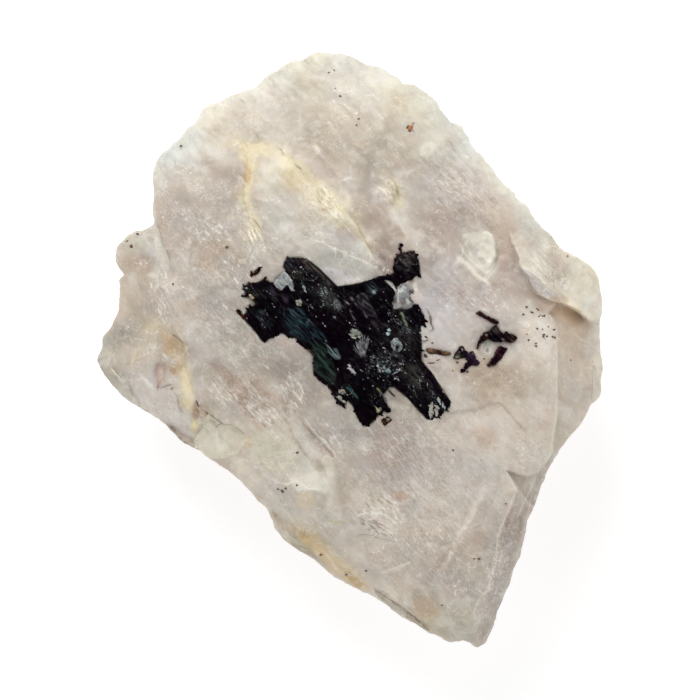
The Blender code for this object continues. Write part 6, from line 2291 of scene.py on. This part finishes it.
# Small bright flakes on the group: place and half sizes, direction.
GLINTS = [
    (301, 267, 1.8, 1.0, 160), (312.5, 276, 1.7, 1.1, 30),
    (307.5, 300, 1.3, 0.9, 60), (316, 316.5, 1.3, 1.0, 40),
    (324, 315, 1.7, 1.3, 20), (323, 323.5, 1.0, 1.3, 30),
    (325, 326, 0.8, 1.6, 150), (326, 341, 1.5, 1.2, 40),
    (276, 317, 1.2, 1.4, 40), (247, 318.5, 1.1, 1.1, 0),
    (338, 296, 1.2, 0.9, 40), (339, 309.5, 1.3, 1.0, 40),
    (334.5, 317.5, 2.0, 2.0, 20), (354.6, 326, 1.6, 0.9, 50),
    (355.5, 323, 1.0, 0.8, 0), (370, 328.5, 1.3, 0.8, 40),
    (383.5, 292, 1.3, 0.9, 60), (386, 300, 1.1, 0.8, 40),
    (381, 300, 0.9, 0.8, 0), (381, 307, 1.1, 0.8, 40),
    (390, 313, 1.7, 0.9, 45), (395.5, 316, 1.0, 0.8, 0),
    (400.5, 331.5, 1.2, 0.9, 30), (349, 340, 1.2, 0.9, 40),
    (338, 369.5, 1.2, 0.9, 50), (342, 387.5, 1.2, 0.9, 40),
    (364, 388.5, 1.3, 0.9, 30), (373, 386, 1.2, 0.8, 40),
    (378.5, 348.5, 1.2, 0.8, 40), (381.5, 344, 1.0, 0.8, 0),
    (384, 348, 3.0, 0.8, 35), (372.5, 357.8, 1.8, 0.8, 40),
    (378, 358.5, 1.1, 0.8, 0), (382, 357, 1.0, 0.8, 40),
    (377.5, 366, 1.3, 0.8, 60), (382, 368.5, 1.1, 0.8, 0),
    (397, 369.5, 1.2, 0.9, 20), (374.5, 369.5, 1.0, 0.8, 0),
    (380, 376.5, 1.1, 0.8, 40), (378, 378.5, 0.9, 0.7, 0),
    (372.5, 376, 0.9, 0.8, 0), (368, 378, 1.1, 0.8, 40),
    (383.5, 380.5, 1.2, 0.9, 20), (363, 379.5, 1.0, 0.8, 0),
    (361.5, 370.5, 3.4, 0.8, 55), (409, 350, 1.2, 0.9, 30),
    (402.5, 355.5, 1.1, 0.8, 0), (402.5, 360, 1.3, 0.8, 60),
    (410.5, 360, 1.1, 0.8, 0), (415, 361, 1.0, 0.8, 40),
    (408.5, 387, 1.2, 0.9, 30), (420, 385.5, 1.2, 0.8, 40),
    (427.6, 385.5, 2.4, 0.9, 70), (422.5, 376.5, 2.0, 0.8, 45),
    (397.5, 379.5, 1.8, 0.8, 35), (433, 394, 1.2, 0.9, 30),
    (420.5, 405.5, 1.2, 0.9, 40), (411, 397, 1.2, 0.9, 40),
    (312, 307.5, 2.6, 0.8, 50), (443, 392, 1.5, 1.0, 30),
    (419, 310, 1.0, 0.7, 50), (307.5, 322, 1.2, 0.9, 40),
]

# Dark flecks on the quartz: place, half sizes, direction, tone.
SPECKS = [
    (181, 146, 1.2, 1.0, 0, (96, 70, 56)), (137.5, 234, 1.6, 0.9, 20,
                                            (90, 66, 52)),
    (127, 241, 1.0, 0.9, 0, (104, 76, 60)), (131.5, 246.5, 2.0, 1.6, 30,
                                             (84, 20, 14)),
    (173, 284, 1.2, 1.0, 0, (96, 72, 58)), (226.5, 247, 1.4, 1.1, 0,
                                            (86, 56, 36)),
    (328.8, 72.4, 1.8, 1.1, 145, (104, 66, 38)), (334, 70, 1.1, 0.9, 0,
                                              (150, 124, 98)),
    (335.3, 88.4, 1.2, 1.0, 0, (100, 72, 56)), (340, 96, 1.2, 1.0, 0,
                                                (92, 66, 52)),
    (358.4, 119, 1.9, 0.7, 145, (80, 58, 40)), (356.4, 125, 1.0, 0.9, 0,
                                               (96, 70, 56)),
    (409.8, 128, 3.0, 2.6, 130, (156, 92, 44)),
    (407.6, 127, 0.9, 2.6, 20, (96, 50, 26)),
    (410, 131, 1.9, 0.8, 10, (100, 54, 30)),
    (413.2, 130.6, 2.2, 0.4, 40, (176, 132, 100)), (413.3, 123.3, 1.1, 0.9,
                                                   0, (150, 92, 56)),
    (567.6, 256, 1.0, 0.9, 0, (150, 132, 116)), (526.7, 307.3, 1.2, 1.0, 0,
                                                 (88, 60, 50)),
    (523.3, 314.4, 1.2, 1.0, 0, (92, 66, 56)), (532, 312.4, 2.6, 0.9, 15,
                                                (70, 44, 40)),
    (538, 309.6, 2.4, 0.7, 40, (70, 44, 40)),
    (540.6, 315, 1.8, 0.8, 50, (74, 48, 42)),
    (544.4, 315.8, 1.3, 0.8, 70, (80, 54, 46)), (539.3, 316, 1.2, 1.0, 0,
                                              (80, 54, 46)),
    (542.7, 316, 1.1, 0.9, 0, (92, 66, 56)), (537.3, 328.7, 1.1, 0.9, 0,
                                              (90, 64, 54)),
    (542.7, 329.3, 1.1, 0.9, 0, (90, 64, 54)), (548.3, 326.7, 1.1, 0.9, 0,
                                                (90, 64, 54)),
    (554.4, 329.6, 1.6, 1.3, 20, (72, 46, 42)), (526.7, 334.3, 1.1, 0.9, 0,
                                                 (86, 60, 52)),
    (544, 334.7, 1.2, 0.9, 0, (80, 54, 48)), (543.3, 336.7, 1.0, 0.9, 0,
                                              (92, 66, 56)),
    (547.3, 336.4, 1.1, 0.9, 0, (84, 58, 50)), (552.7, 336.7, 1.1, 0.9, 0,
                                                (84, 58, 50)),
    (555.3, 337.6, 1.0, 0.9, 0, (92, 66, 56)), (528.7, 340, 1.1, 0.9, 0,
                                                (92, 66, 56)),
    (536.3, 343.3, 1.1, 0.9, 0, (84, 58, 50)), (536.3, 346, 1.0, 0.9, 0,
                                                (92, 66, 56)),
    (570.7, 360, 1.0, 0.9, 0, (146, 126, 110)), (453.3, 450.3, 1.1, 0.9, 0,
                                                 (96, 70, 58)),
    (432.4, 343, 1.2, 1.0, 0, (80, 52, 44)), (453, 370.8, 1.2, 1.0, 0,
                                              (84, 58, 50)),
    (457.3, 362.4, 1.2, 1.0, 0, (76, 42, 44)), (467.3, 371.7, 1.3, 1.0, 0,
                                                (78, 42, 42)),
    (484, 358.7, 1.2, 1.0, 0, (80, 50, 46)), (506, 503.7, 1.2, 1.0, 0,
                                              (84, 60, 52)),
    (474.3, 558.7, 1.2, 1.0, 0, (88, 62, 52)), (479, 558.7, 1.2, 1.0, 0,
                                                (88, 62, 52)),
    (441.7, 605.3, 1.2, 1.0, 0, (92, 66, 54)), (278, 489.3, 1.2, 1.0, 0,
                                                (90, 64, 54)),
    (282.7, 491.6, 1.8, 1.4, 30, (72, 48, 42)), (285.3, 488.3, 1.1, 0.9, 0,
                                                 (88, 62, 54)),
    (296.7, 485.3, 1.2, 1.0, 0, (92, 66, 56)), (297.3, 452.7, 1.2, 1.0, 0,
                                                (92, 66, 56)),
    (346, 574.7, 1.2, 1.0, 0, (96, 70, 56)), (366.3, 571, 1.2, 1.0, 0,
                                              (96, 70, 56)),
    (320.7, 555, 1.2, 1.0, 0, (100, 74, 58)), (196.9, 402.6, 2.4, 0.8, 65,
                                               (104, 76, 56)),
    (207, 413, 1.2, 1.0, 0, (104, 78, 58)), (412, 292, 2.6, 0.9, 45,
                                             (60, 34, 26)),
    (410, 299.6, 2.8, 0.9, 52, (56, 30, 24)), (392, 394, 5.4, 0.8, 45,
                                               (48, 36, 34)),
    (426, 337, 2.2, 1.0, 20, (60, 40, 38)), (430.5, 320, 6.2, 0.6, 74,
                                             (92, 74, 66)),
    (426, 355.5, 3.6, 2.2, 35, (60, 36, 46)), (431, 362.9, 4.6, 0.7, -6,
                                               (112, 76, 48)),
    (438, 360, 2.4, 0.7, -20, (96, 64, 44)), (172, 388, 2.0, 0.5, 150,
                                              (150, 134, 118)),
]


# ------------------------------------------------------------ the big quartz
def relax(ring, rounds):
    for _ in range(rounds):
        ring = 0.25 * np.roll(ring, 1, 0) + 0.5 * ring \
            + 0.25 * np.roll(ring, -1, 0)
    return ring


def wall_normals(grid):
    across = np.roll(grid, -1, 1) - np.roll(grid, 1, 1)
    down = np.empty_like(grid)
    down[1:-1] = grid[2:] - grid[:-2]
    down[0], down[-1] = grid[1] - grid[0], grid[-1] - grid[-2]
    n = np.cross(across, down)
    return n / np.maximum(np.linalg.norm(n, axis=-1), 1e-12)[..., None]


def build_quartz():
    ring = resample(OUTLINE, RIM_SPACING)
    n = len(ring)
    along = np.roll(ring, -1, 0) - np.roll(ring, 1, 0)
    out = np.stack([along[:, 1], -along[:, 0]], -1)
    out /= np.linalg.norm(out, axis=1)[:, None]
    arc = np.arange(n) * RIM_SPACING
    ring = ring + out * (0.45 * ripple(ring[:, 0] / 6, ring[:, 1] / 6, 301)
                         + 0.30 * ripple(ring[:, 0] / 2.7,
                                         ring[:, 1] / 2.7, 302))[:, None]
    plan, faces = fill_plan(ring, TOP_SPACING, 1.5, OUTLINE,
                            crisp_points())
    faces = list(faces)
    u, v = plan[:, 0], plan[:, 1]
    z = quartz_height(u, v)
    # bed of the crystals, a little lower than the face around it
    for outline, depth in [(GROUP, 0.85)] + [
            (s[0], 0.40) for s in SPLINTERS.values()] + [
            (QUARTZ_CHIP, 0.5)]:
        lo, hi = np.min(outline, 0) - 3, np.max(outline, 0) + 3
        m = (u > lo[0]) & (u < hi[0]) & (v > lo[1]) & (v < hi[1])
        z[m] -= depth * ease((signed_distance(u[m], v[m], outline) + 0.1)
                             / 2.0)
    top = place(u, v, z)
    tint = quartz_colour(u, v)

    middle = place(np.array([AXIS[0]]), np.array([AXIS[1]]),
                   np.array([RIM_HEIGHT]))[0]
    rim = top[:n].copy()
    even = relax(rim, 500)
    steps = np.linspace(0, 10, 37)[1:]
    shares = [s for _, s in UNDER_RINGS]
    scales = [s for s, _ in UNDER_RINGS]
    grid = np.empty((len(steps), n, 3))
    for row, t in enumerate(steps):
        w = float(ease(np.array((t - 0.5) / 5.0)))
        near = rim * (1 - w) + even * w
        a = np.arctan2(near[:, 1] - middle[1], near[:, 0] - middle[0])
        j = t - 1.0
        scale = np.interp(t, range(11), scales)
        wob = 0.018 * np.sin(3 * a + j * 0.6) + 0.012 * np.sin(
            7 * a - j * 0.9)
        f = scale + wob * (1 - scale) * 2.2
        grid[row, :, :2] = middle[:2] + (near[:, :2] - middle[:2]) \
            * f[:, None]
        grid[row, :, 2] = near[:, 2] * np.interp(t, range(11), shares)
    rim_z = np.broadcast_to(rim[:, 2], grid.shape[:2])
    centre = np.array([middle[0], middle[1], 0.012])
    for heading, dip, depth in SIDE_FACES:
        a, b = math.radians(heading), math.radians(dip)
        normal = np.array([math.cos(a) * math.cos(b),
                           math.sin(a) * math.cos(b), -math.sin(b)])
        reach = (grid - centre) @ normal
        over = np.maximum(reach - (reach.max() - depth * 0.001), 0.0)
        radial = grid[..., :2] - middle[:2]
        radial /= np.linalg.norm(radial, axis=-1)[..., None]
        lean = np.maximum(radial @ normal[:2], 0.35)
        keep = ease((rim_z - grid[..., 2]) / 0.007)
        grid[..., :2] -= radial * (over / lean * keep)[..., None]

    # shell-shaped breaks
    flat = grid.reshape(-1, 3)
    depth_t = np.repeat(steps, n)
    for i in range(34):
        heading = math.radians(i * 137.508 + 9 * math.sin(i * 1.7))
        level = 0.5 + 0.5 * math.sin(i * 2.31 + 0.4)
        size = 0.006 + 0.010 * (0.5 + 0.5 * math.sin(i * 4.13))
        bite = 0.0004 + 0.0007 * (0.5 + 0.5 * math.sin(i * 3.07 + 1))
        row = int(round((1.2 + 7.3 * level) / 10 * len(steps)))
        row = min(row, len(steps) - 2)
        angles = np.arctan2(grid[row, :, 1] - middle[1],
                            grid[row, :, 0] - middle[0])
        k = int(np.argmin(np.abs(np.angle(np.exp(1j * (angles
                                                       - heading))))))
        outward = wall_normals(grid)[row, k]
        if outward @ (grid[row, k] - centre) < 0:
            outward = -outward
        c = grid[row, k] + outward * (size - bite)
        away = flat - c
        r = np.linalg.norm(away, axis=1)
        inside = r < size
        keep = ease((depth_t - 0.2) / 1.0) * ease((9.6 - depth_t) / 0.8)
        push = (np.where(inside, size / np.maximum(r, 1e-9), 1.0) - 1.0) \
            * keep
        flat += away * push[:, None]
        grid = flat.reshape(grid.shape)

    # broken surface of the sides and the underside
    p = grid * 1000.0
    normal = wall_normals(grid)
    facing = np.sum(normal * (grid - centre), axis=-1)
    normal = np.where((facing < 0)[..., None], -normal, normal)
    px, py, pz = p[..., 0], p[..., 1], p[..., 2]
    lumps = 0.38 * ripple3(px / 7.5, py / 7.5, pz / 7.5, 311)
    shells = 0.30 * terrace(ripple3(px / 5, py / 5, pz / 3.4, 312), 2.5,
                            0.45)
    ridges = 0.16 * (1 - 2 * np.abs(ripple3((px + pz) / 3.4,
                                            (py - px) / 2.4, pz / 1.7,
                                            313)))
    grain = 0.07 * ripple3(px / 0.9, py / 0.9, pz / 0.9, 314)
    depth = np.broadcast_to(steps[:, None], grid.shape[:2])
    keep = ease(depth / 0.9) * ease((10 - depth) / 0.7)
    grid = grid + normal * ((lumps + shells + ridges + grain) * keep
                            * 0.001)[..., None]
    grid[..., 2] = np.maximum(grid[..., 2], 0.0)
    grid[-1, :, 2] = 0.0

    # colour of the sides: the rim's own, then a quieter mix
    wx, wy, wz = p[..., 0], p[..., 1], p[..., 2]
    mauve = ease(0.5 + 1.1 * ripple3(wx / 13, wy / 13, wz / 9, 321))
    tan = ease(0.25 + 1.2 * ripple3(wx / 9, wy / 9, wz / 7, 322))
    pale = ease(0.35 + 1.3 * ripple3((wx + wz) / 6, (wy - wz) / 5,
                                     wz / 3.2, 323))
    stain = ease(-0.25 + 1.2 * ripple3(wx / 7, wy / 7, wz / 5, 324))
    deep = np.empty(grid.shape)
    deep[:] = (204, 193, 182)
    for weight, colour, strength in ((mauve, (196, 179, 171), 0.7),
                                     (tan, (194, 173, 148), 0.55),
                                     (pale, (224, 219, 208), 0.65),
                                     (stain, (205, 176, 128), 0.5)):
        w = (weight * strength)[..., None]
        deep = deep * (1 - w) + np.array(colour) * w
    deep += (ripple3(wx / 1.6, wy / 1.6, wz / 1.1, 325) * 6)[..., None]
    w = ease(depth / 2.6)[..., None]
    side = tint[:n][None, :, :] * (1 - w) + deep * w

    start = len(top)
    verts = np.vstack([top, grid.reshape(-1, 3),
                       [[middle[0], middle[1], 0.0]]])
    colours = np.vstack([tint, side.reshape(-1, 3), [[205, 196, 184]]])
    upper = np.arange(n)
    nxt = np.roll(np.arange(n), -1)
    for row in range(len(steps)):
        lower = start + row * n + np.arange(n)
        faces += list(zip(upper.tolist(), lower.tolist(),
                          lower[nxt].tolist(), upper[nxt].tolist()))
        upper = lower
    hub = len(verts) - 1
    faces += [(int(upper[i]), hub, int(upper[nxt[i]])) for i in range(n)]
    fibre = np.full(len(verts), 0.35)
    fibre[:len(top)] = quartz_fibre(u, v)
    return make_mesh("rose_quartz_body", verts, faces, colours, fibre)


# --------------------------------------------------------------------- build
def finish_piece(ob, mat, slot, *nodes):
    ob.data.materials.clear()
    ob.data.materials.append(mat)
    if nodes:
        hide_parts(*nodes)
    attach(ob, "root")
    return ob


BLACK = tourmaline_material("tourmaline", tone(52, 50, 54), True)
BROWN = tourmaline_material("tourmaline_brown", tone(96, 62, 56))
GRAIN = grain_material()

quartz = finish_piece(build_quartz(), rose_quartz_material(),
                      "rose_quartz", "rose_quartz")

group = Lumps()
group.add(GROUP_EDGE, GROUP_SPACING, group_height,
          sunk(2.4), group_colour)
finish_piece(group.build("tourmaline_crystals", group_grit), BLACK,
             "tourmaline", "tourmaline_group")

chip = Lumps()
chip.add(resample(QUARTZ_CHIP, 0.6, curve=False), 0.6,
         blade(QUARTZ_CHIP, 0.62, 46, 401), sunk(1.0),
         blade_tint(CHIP_MARKS, (146, 150, 150), 46, 401))
finish_piece(chip.build("grey_quartz_chip"), grey_quartz_material(),
             "grey_quartz", "quartz_chip")

for index, (node, (ring, proud, degrees, body, marks)) in enumerate(
        SPLINTERS.items()):
    seed = 420 + index * 3
    lump = Lumps()
    ring = jagged(ring, 0.45, 0.62, 241 + index * 2)
    lump.add(ring, 0.5, blade(ring, proud, degrees, seed), sunk(0.9),
             blade_tint(marks, body, degrees, seed))
    finish_piece(lump.build(node.replace("tourmaline_", "dark_")), BROWN,
                 "tourmaline_brown", node)

grains = Lumps()
for index, (ring, colour, proud) in enumerate(GRAINS):
    ring = jagged(ring, 0.45, 0.75, 261 + index * 2)
    grains.add(ring, 0.5, dome_on(group_face, ring, proud, 501 + index),
               sunk(0.6), plain(colour, 24, 531 + index))
for index in range(22):
    # streaks of the pale fan run together at its foot
    t = index / 21.0
    x0 = 352.6 + 17.4 * t
    y0 = 348.2 - 15.5 * math.sin(min(t * 1.25, 1.0) * math.pi / 2) \
        + 5.5 * max(t - 0.72, 0) / 0.28
    x0 += 0.9 * math.sin(index * 2.3)
    y0 += 1.6 * math.sin(index * 3.1)
    far = 0.55 + 0.38 * math.sin(index * 1.9) ** 2
    near = 0.10 * math.sin(index * 1.3) ** 2
    xa, ya = x0 + (362.8 - x0) * near, y0 + (360 - y0) * near
    xb, yb = x0 + (362.8 - x0) * far, y0 + (360 - y0) * far
    half = math.hypot(xb - xa, yb - ya) / 2
    ring = oval_ring((xa + xb) / 2, (ya + yb) / 2, half,
                     0.55 + 0.45 * math.sin(index * 2.9) ** 2,
                     math.degrees(math.atan2(yb - ya, xb - xa)), index, 8,
                     0.3)
    shade = 92 + 62 * math.sin(index * 2.1) ** 2
    grains.add(ring, 0.5, dome_on(group_face, ring, 0.16, 741 + index),
               sunk(0.6), plain((shade, shade - 2, shade + 1), 14,
                                751 + index))
for index, (x, y, rx, ry, degrees) in enumerate(GLINTS):
    swing = math.sin(index * 2.7)
    ring = oval_ring(x, y, rx * (0.95 + 0.35 * swing),
                     ry * (0.80 - 0.25 * swing), degrees + 25 * swing,
                     index, 5 + index % 2, 0.35)
    colour = ((168, 170, 176), (104, 104, 116), (98, 110, 108),
              (130, 132, 128), (84, 84, 92), (116, 122, 120))[index % 6]
    grains.add(ring, 0.5, dome_on(group_face, ring, 0.13, 561 + index),
               sunk(0.6), plain(colour, 10, 601 + index))
for index in range(380):
    t = index * 2.39996
    zone = GRIT[index % 17]
    r = math.sqrt(((index // 17) + 0.5) / 25.0)
    px, py = r * math.cos(t) * zone[2], r * math.sin(t) * zone[3]
    a = math.radians(zone[4])
    x = zone[0] + px * math.cos(a) - py * math.sin(a)
    y = zone[1] + px * math.sin(a) + py * math.cos(a)
    inner = signed_distance(np.array([x]), np.array([y]), GROUP)[0]
    if inner < 1.5 or math.sin(index * 5.3) > zone[5] * 2 - 0.9:
        continue
    half = 0.42 + 0.55 * math.sin(index * 1.7) ** 4
    ring = oval_ring(x, y, half * 1.5, half * 0.8,
                     46 + 30 * math.sin(index * 2.9), index, 5, 0.4)
    shade = 58 + 64 * math.sin(index * 3.3) ** 4
    colour = ((shade, shade, shade + 8), (shade - 10, shade, shade),
              (shade, shade - 4, shade - 14))[index % 3]
    grains.add(ring, 0.5, dome_on(group_face, ring, 0.09, 661 + index),
               sunk(0.6), plain(colour, 10, 691 + index))
for index in range(46):
    # brighter grains crowd below the ring shaped one
    t = index * 2.39996 + 0.9 * math.sin(index * 4.7)
    r = math.sqrt((index + 0.5) / 46.0)
    x = 386 + 19 * r * math.cos(t) - 3 * r * math.sin(t) \
        + 3.4 * math.sin(index * 7.7)
    y = 366 + 12 * r * math.sin(t) + 5 * r * math.cos(t) \
        + 2.6 * math.sin(index * 5.1 + 1)
    half = 0.50 + 0.85 * math.sin(index * 1.9) ** 6
    ring = oval_ring(x, y, half * 1.6, half * 0.85,
                     46 + 60 * math.sin(index * 2.3), index, 5, 0.5)
    shade = 92 + 84 * math.sin(index * 2.7) ** 2
    colour = ((shade, shade, shade + 6), (shade - 24, shade, shade - 4),
              (shade - 4, shade - 10, shade + 8))[index % 3]
    grains.add(ring, 0.5, dome_on(group_face, ring, 0.12, 791 + index),
               sunk(0.6), plain(colour, 10, 811 + index))
finish_piece(grains.build("quartz_grains"), GRAIN, "grey_quartz")

ring_grain = Lumps()
ring_grain.add(resample(RING_GRAIN, 0.55, curve=False), 0.55,
               lambda u, v: dome_on(group_face, RING_GRAIN, 0.34, 651)(
                   u, v) - 0.34 * np.exp(-(((u - 397.4) / 2.3) ** 2
                                           + ((v - 347.2) / 2.6) ** 2)),
               sunk(0.6),
               lambda u, v: paint(u, v, [
                   ("oval", (397.4, 347.2), 2.6, 3.0, 20, (22, 20, 24),
                    1.0)], (150, 160, 160), 0.4))
finish_piece(ring_grain.build("quartz_ring"), GRAIN, "grey_quartz")

specks = Lumps()
for index, (x, y, rx, ry, degrees, colour) in enumerate(SPECKS):
    more = 0.05 if y < 135 else 0.18
    ring = oval_ring(x, y, rx + more, ry + more, degrees, index + 0.5, 7,
                     0.45)
    if y < 135:
        colour = tuple(min(c + w, 255)
                       for c, w in zip(colour, (8, 12, 4)))
    specks.add(ring, 0.6, dome_on(quartz_height, ring, 0.26, 701 + index),
               sunk(0.5), plain(colour, 10, 771 + index))
finish_piece(specks.build("dark_specks"), speck_material(),
             "tourmaline_brown")


# --------------------------------------------------------------------- stage
def build_stage():
    scene = bpy.context.scene
    scene.view_settings.view_transform = "Standard"
    mesh = bpy.data.meshes.new("floor")
    s = 4.0
    mesh.from_pydata([(-s, -s, 0), (s, -s, 0), (s, s, 0), (-s, s, 0)], [],
                     [(0, 1, 2, 3)])
    floor = bpy.data.objects.new("floor", mesh)
    scene.collection.objects.link(floor)
    mat = bpy.data.materials.new("floor")
    mat.use_nodes = True
    shader = mat.node_tree.nodes["Principled BSDF"]
    shader.inputs["Base Color"].default_value = (0.55, 0.55, 0.55, 1)
    shader.inputs["Roughness"].default_value = 0.9
    shader.inputs["Specular IOR Level"].default_value = 0.0
    shader.inputs["Emission Color"].default_value = (1, 1, 1, 1)
    shader.inputs["Emission Strength"].default_value = 0.62
    mesh.materials.append(mat)

    world = bpy.data.worlds.new("studio")
    world.use_nodes = True
    scene.world = world
    tree = world.node_tree
    tree.nodes.clear()
    out = tree.nodes.new("ShaderNodeOutputWorld")
    back = tree.nodes.new("ShaderNodeBackground")
    coord = tree.nodes.new("ShaderNodeTexCoord")
    split = tree.nodes.new("ShaderNodeSeparateXYZ")
    cap = tree.nodes.new("ShaderNodeMapRange")
    cap.interpolation_type = "SMOOTHSTEP"
    for key, number in (("From Min", 0.72), ("From Max", 0.92),
                        ("To Min", 1.00), ("To Max", 0.06)):
        cap.inputs[key].default_value = number
    tree.links.new(coord.outputs["Generated"], split.inputs[0])
    tree.links.new(split.outputs["Z"], cap.inputs["Value"])
    tree.links.new(cap.outputs["Result"], back.inputs["Strength"])
    back.inputs["Color"].default_value = (1, 1, 1, 1)
    tree.links.new(back.outputs[0], out.inputs["Surface"])

    lamp = bpy.data.lights.new("key", "AREA")
    lamp.shape = "SQUARE"
    lamp.size = 0.45
    lamp.energy = 3.9
    key = bpy.data.objects.new("key", lamp)
    scene.collection.objects.link(key)
    key.location = (-0.22, 0.62, 0.62)
    key.rotation_euler = (Vector((0, 0, 0.02)) - key.location) \
        .to_track_quat("-Z", "Y").to_euler()

    cam = bpy.data.cameras.new("camera")
    cam.sensor_width = 36.0
    cam.lens = 36.0 * VIEW_HEIGHT / (700 * STEP)
    cam.clip_start = 0.01
    camera = bpy.data.objects.new("camera", cam)
    scene.collection.objects.link(camera)
    camera.location = (SHIFT_X * 0.001, SHIFT_Y * 0.001,
                       (RIM_HEIGHT + VIEW_HEIGHT) * 0.001)
    scene.camera = camera


build_stage()
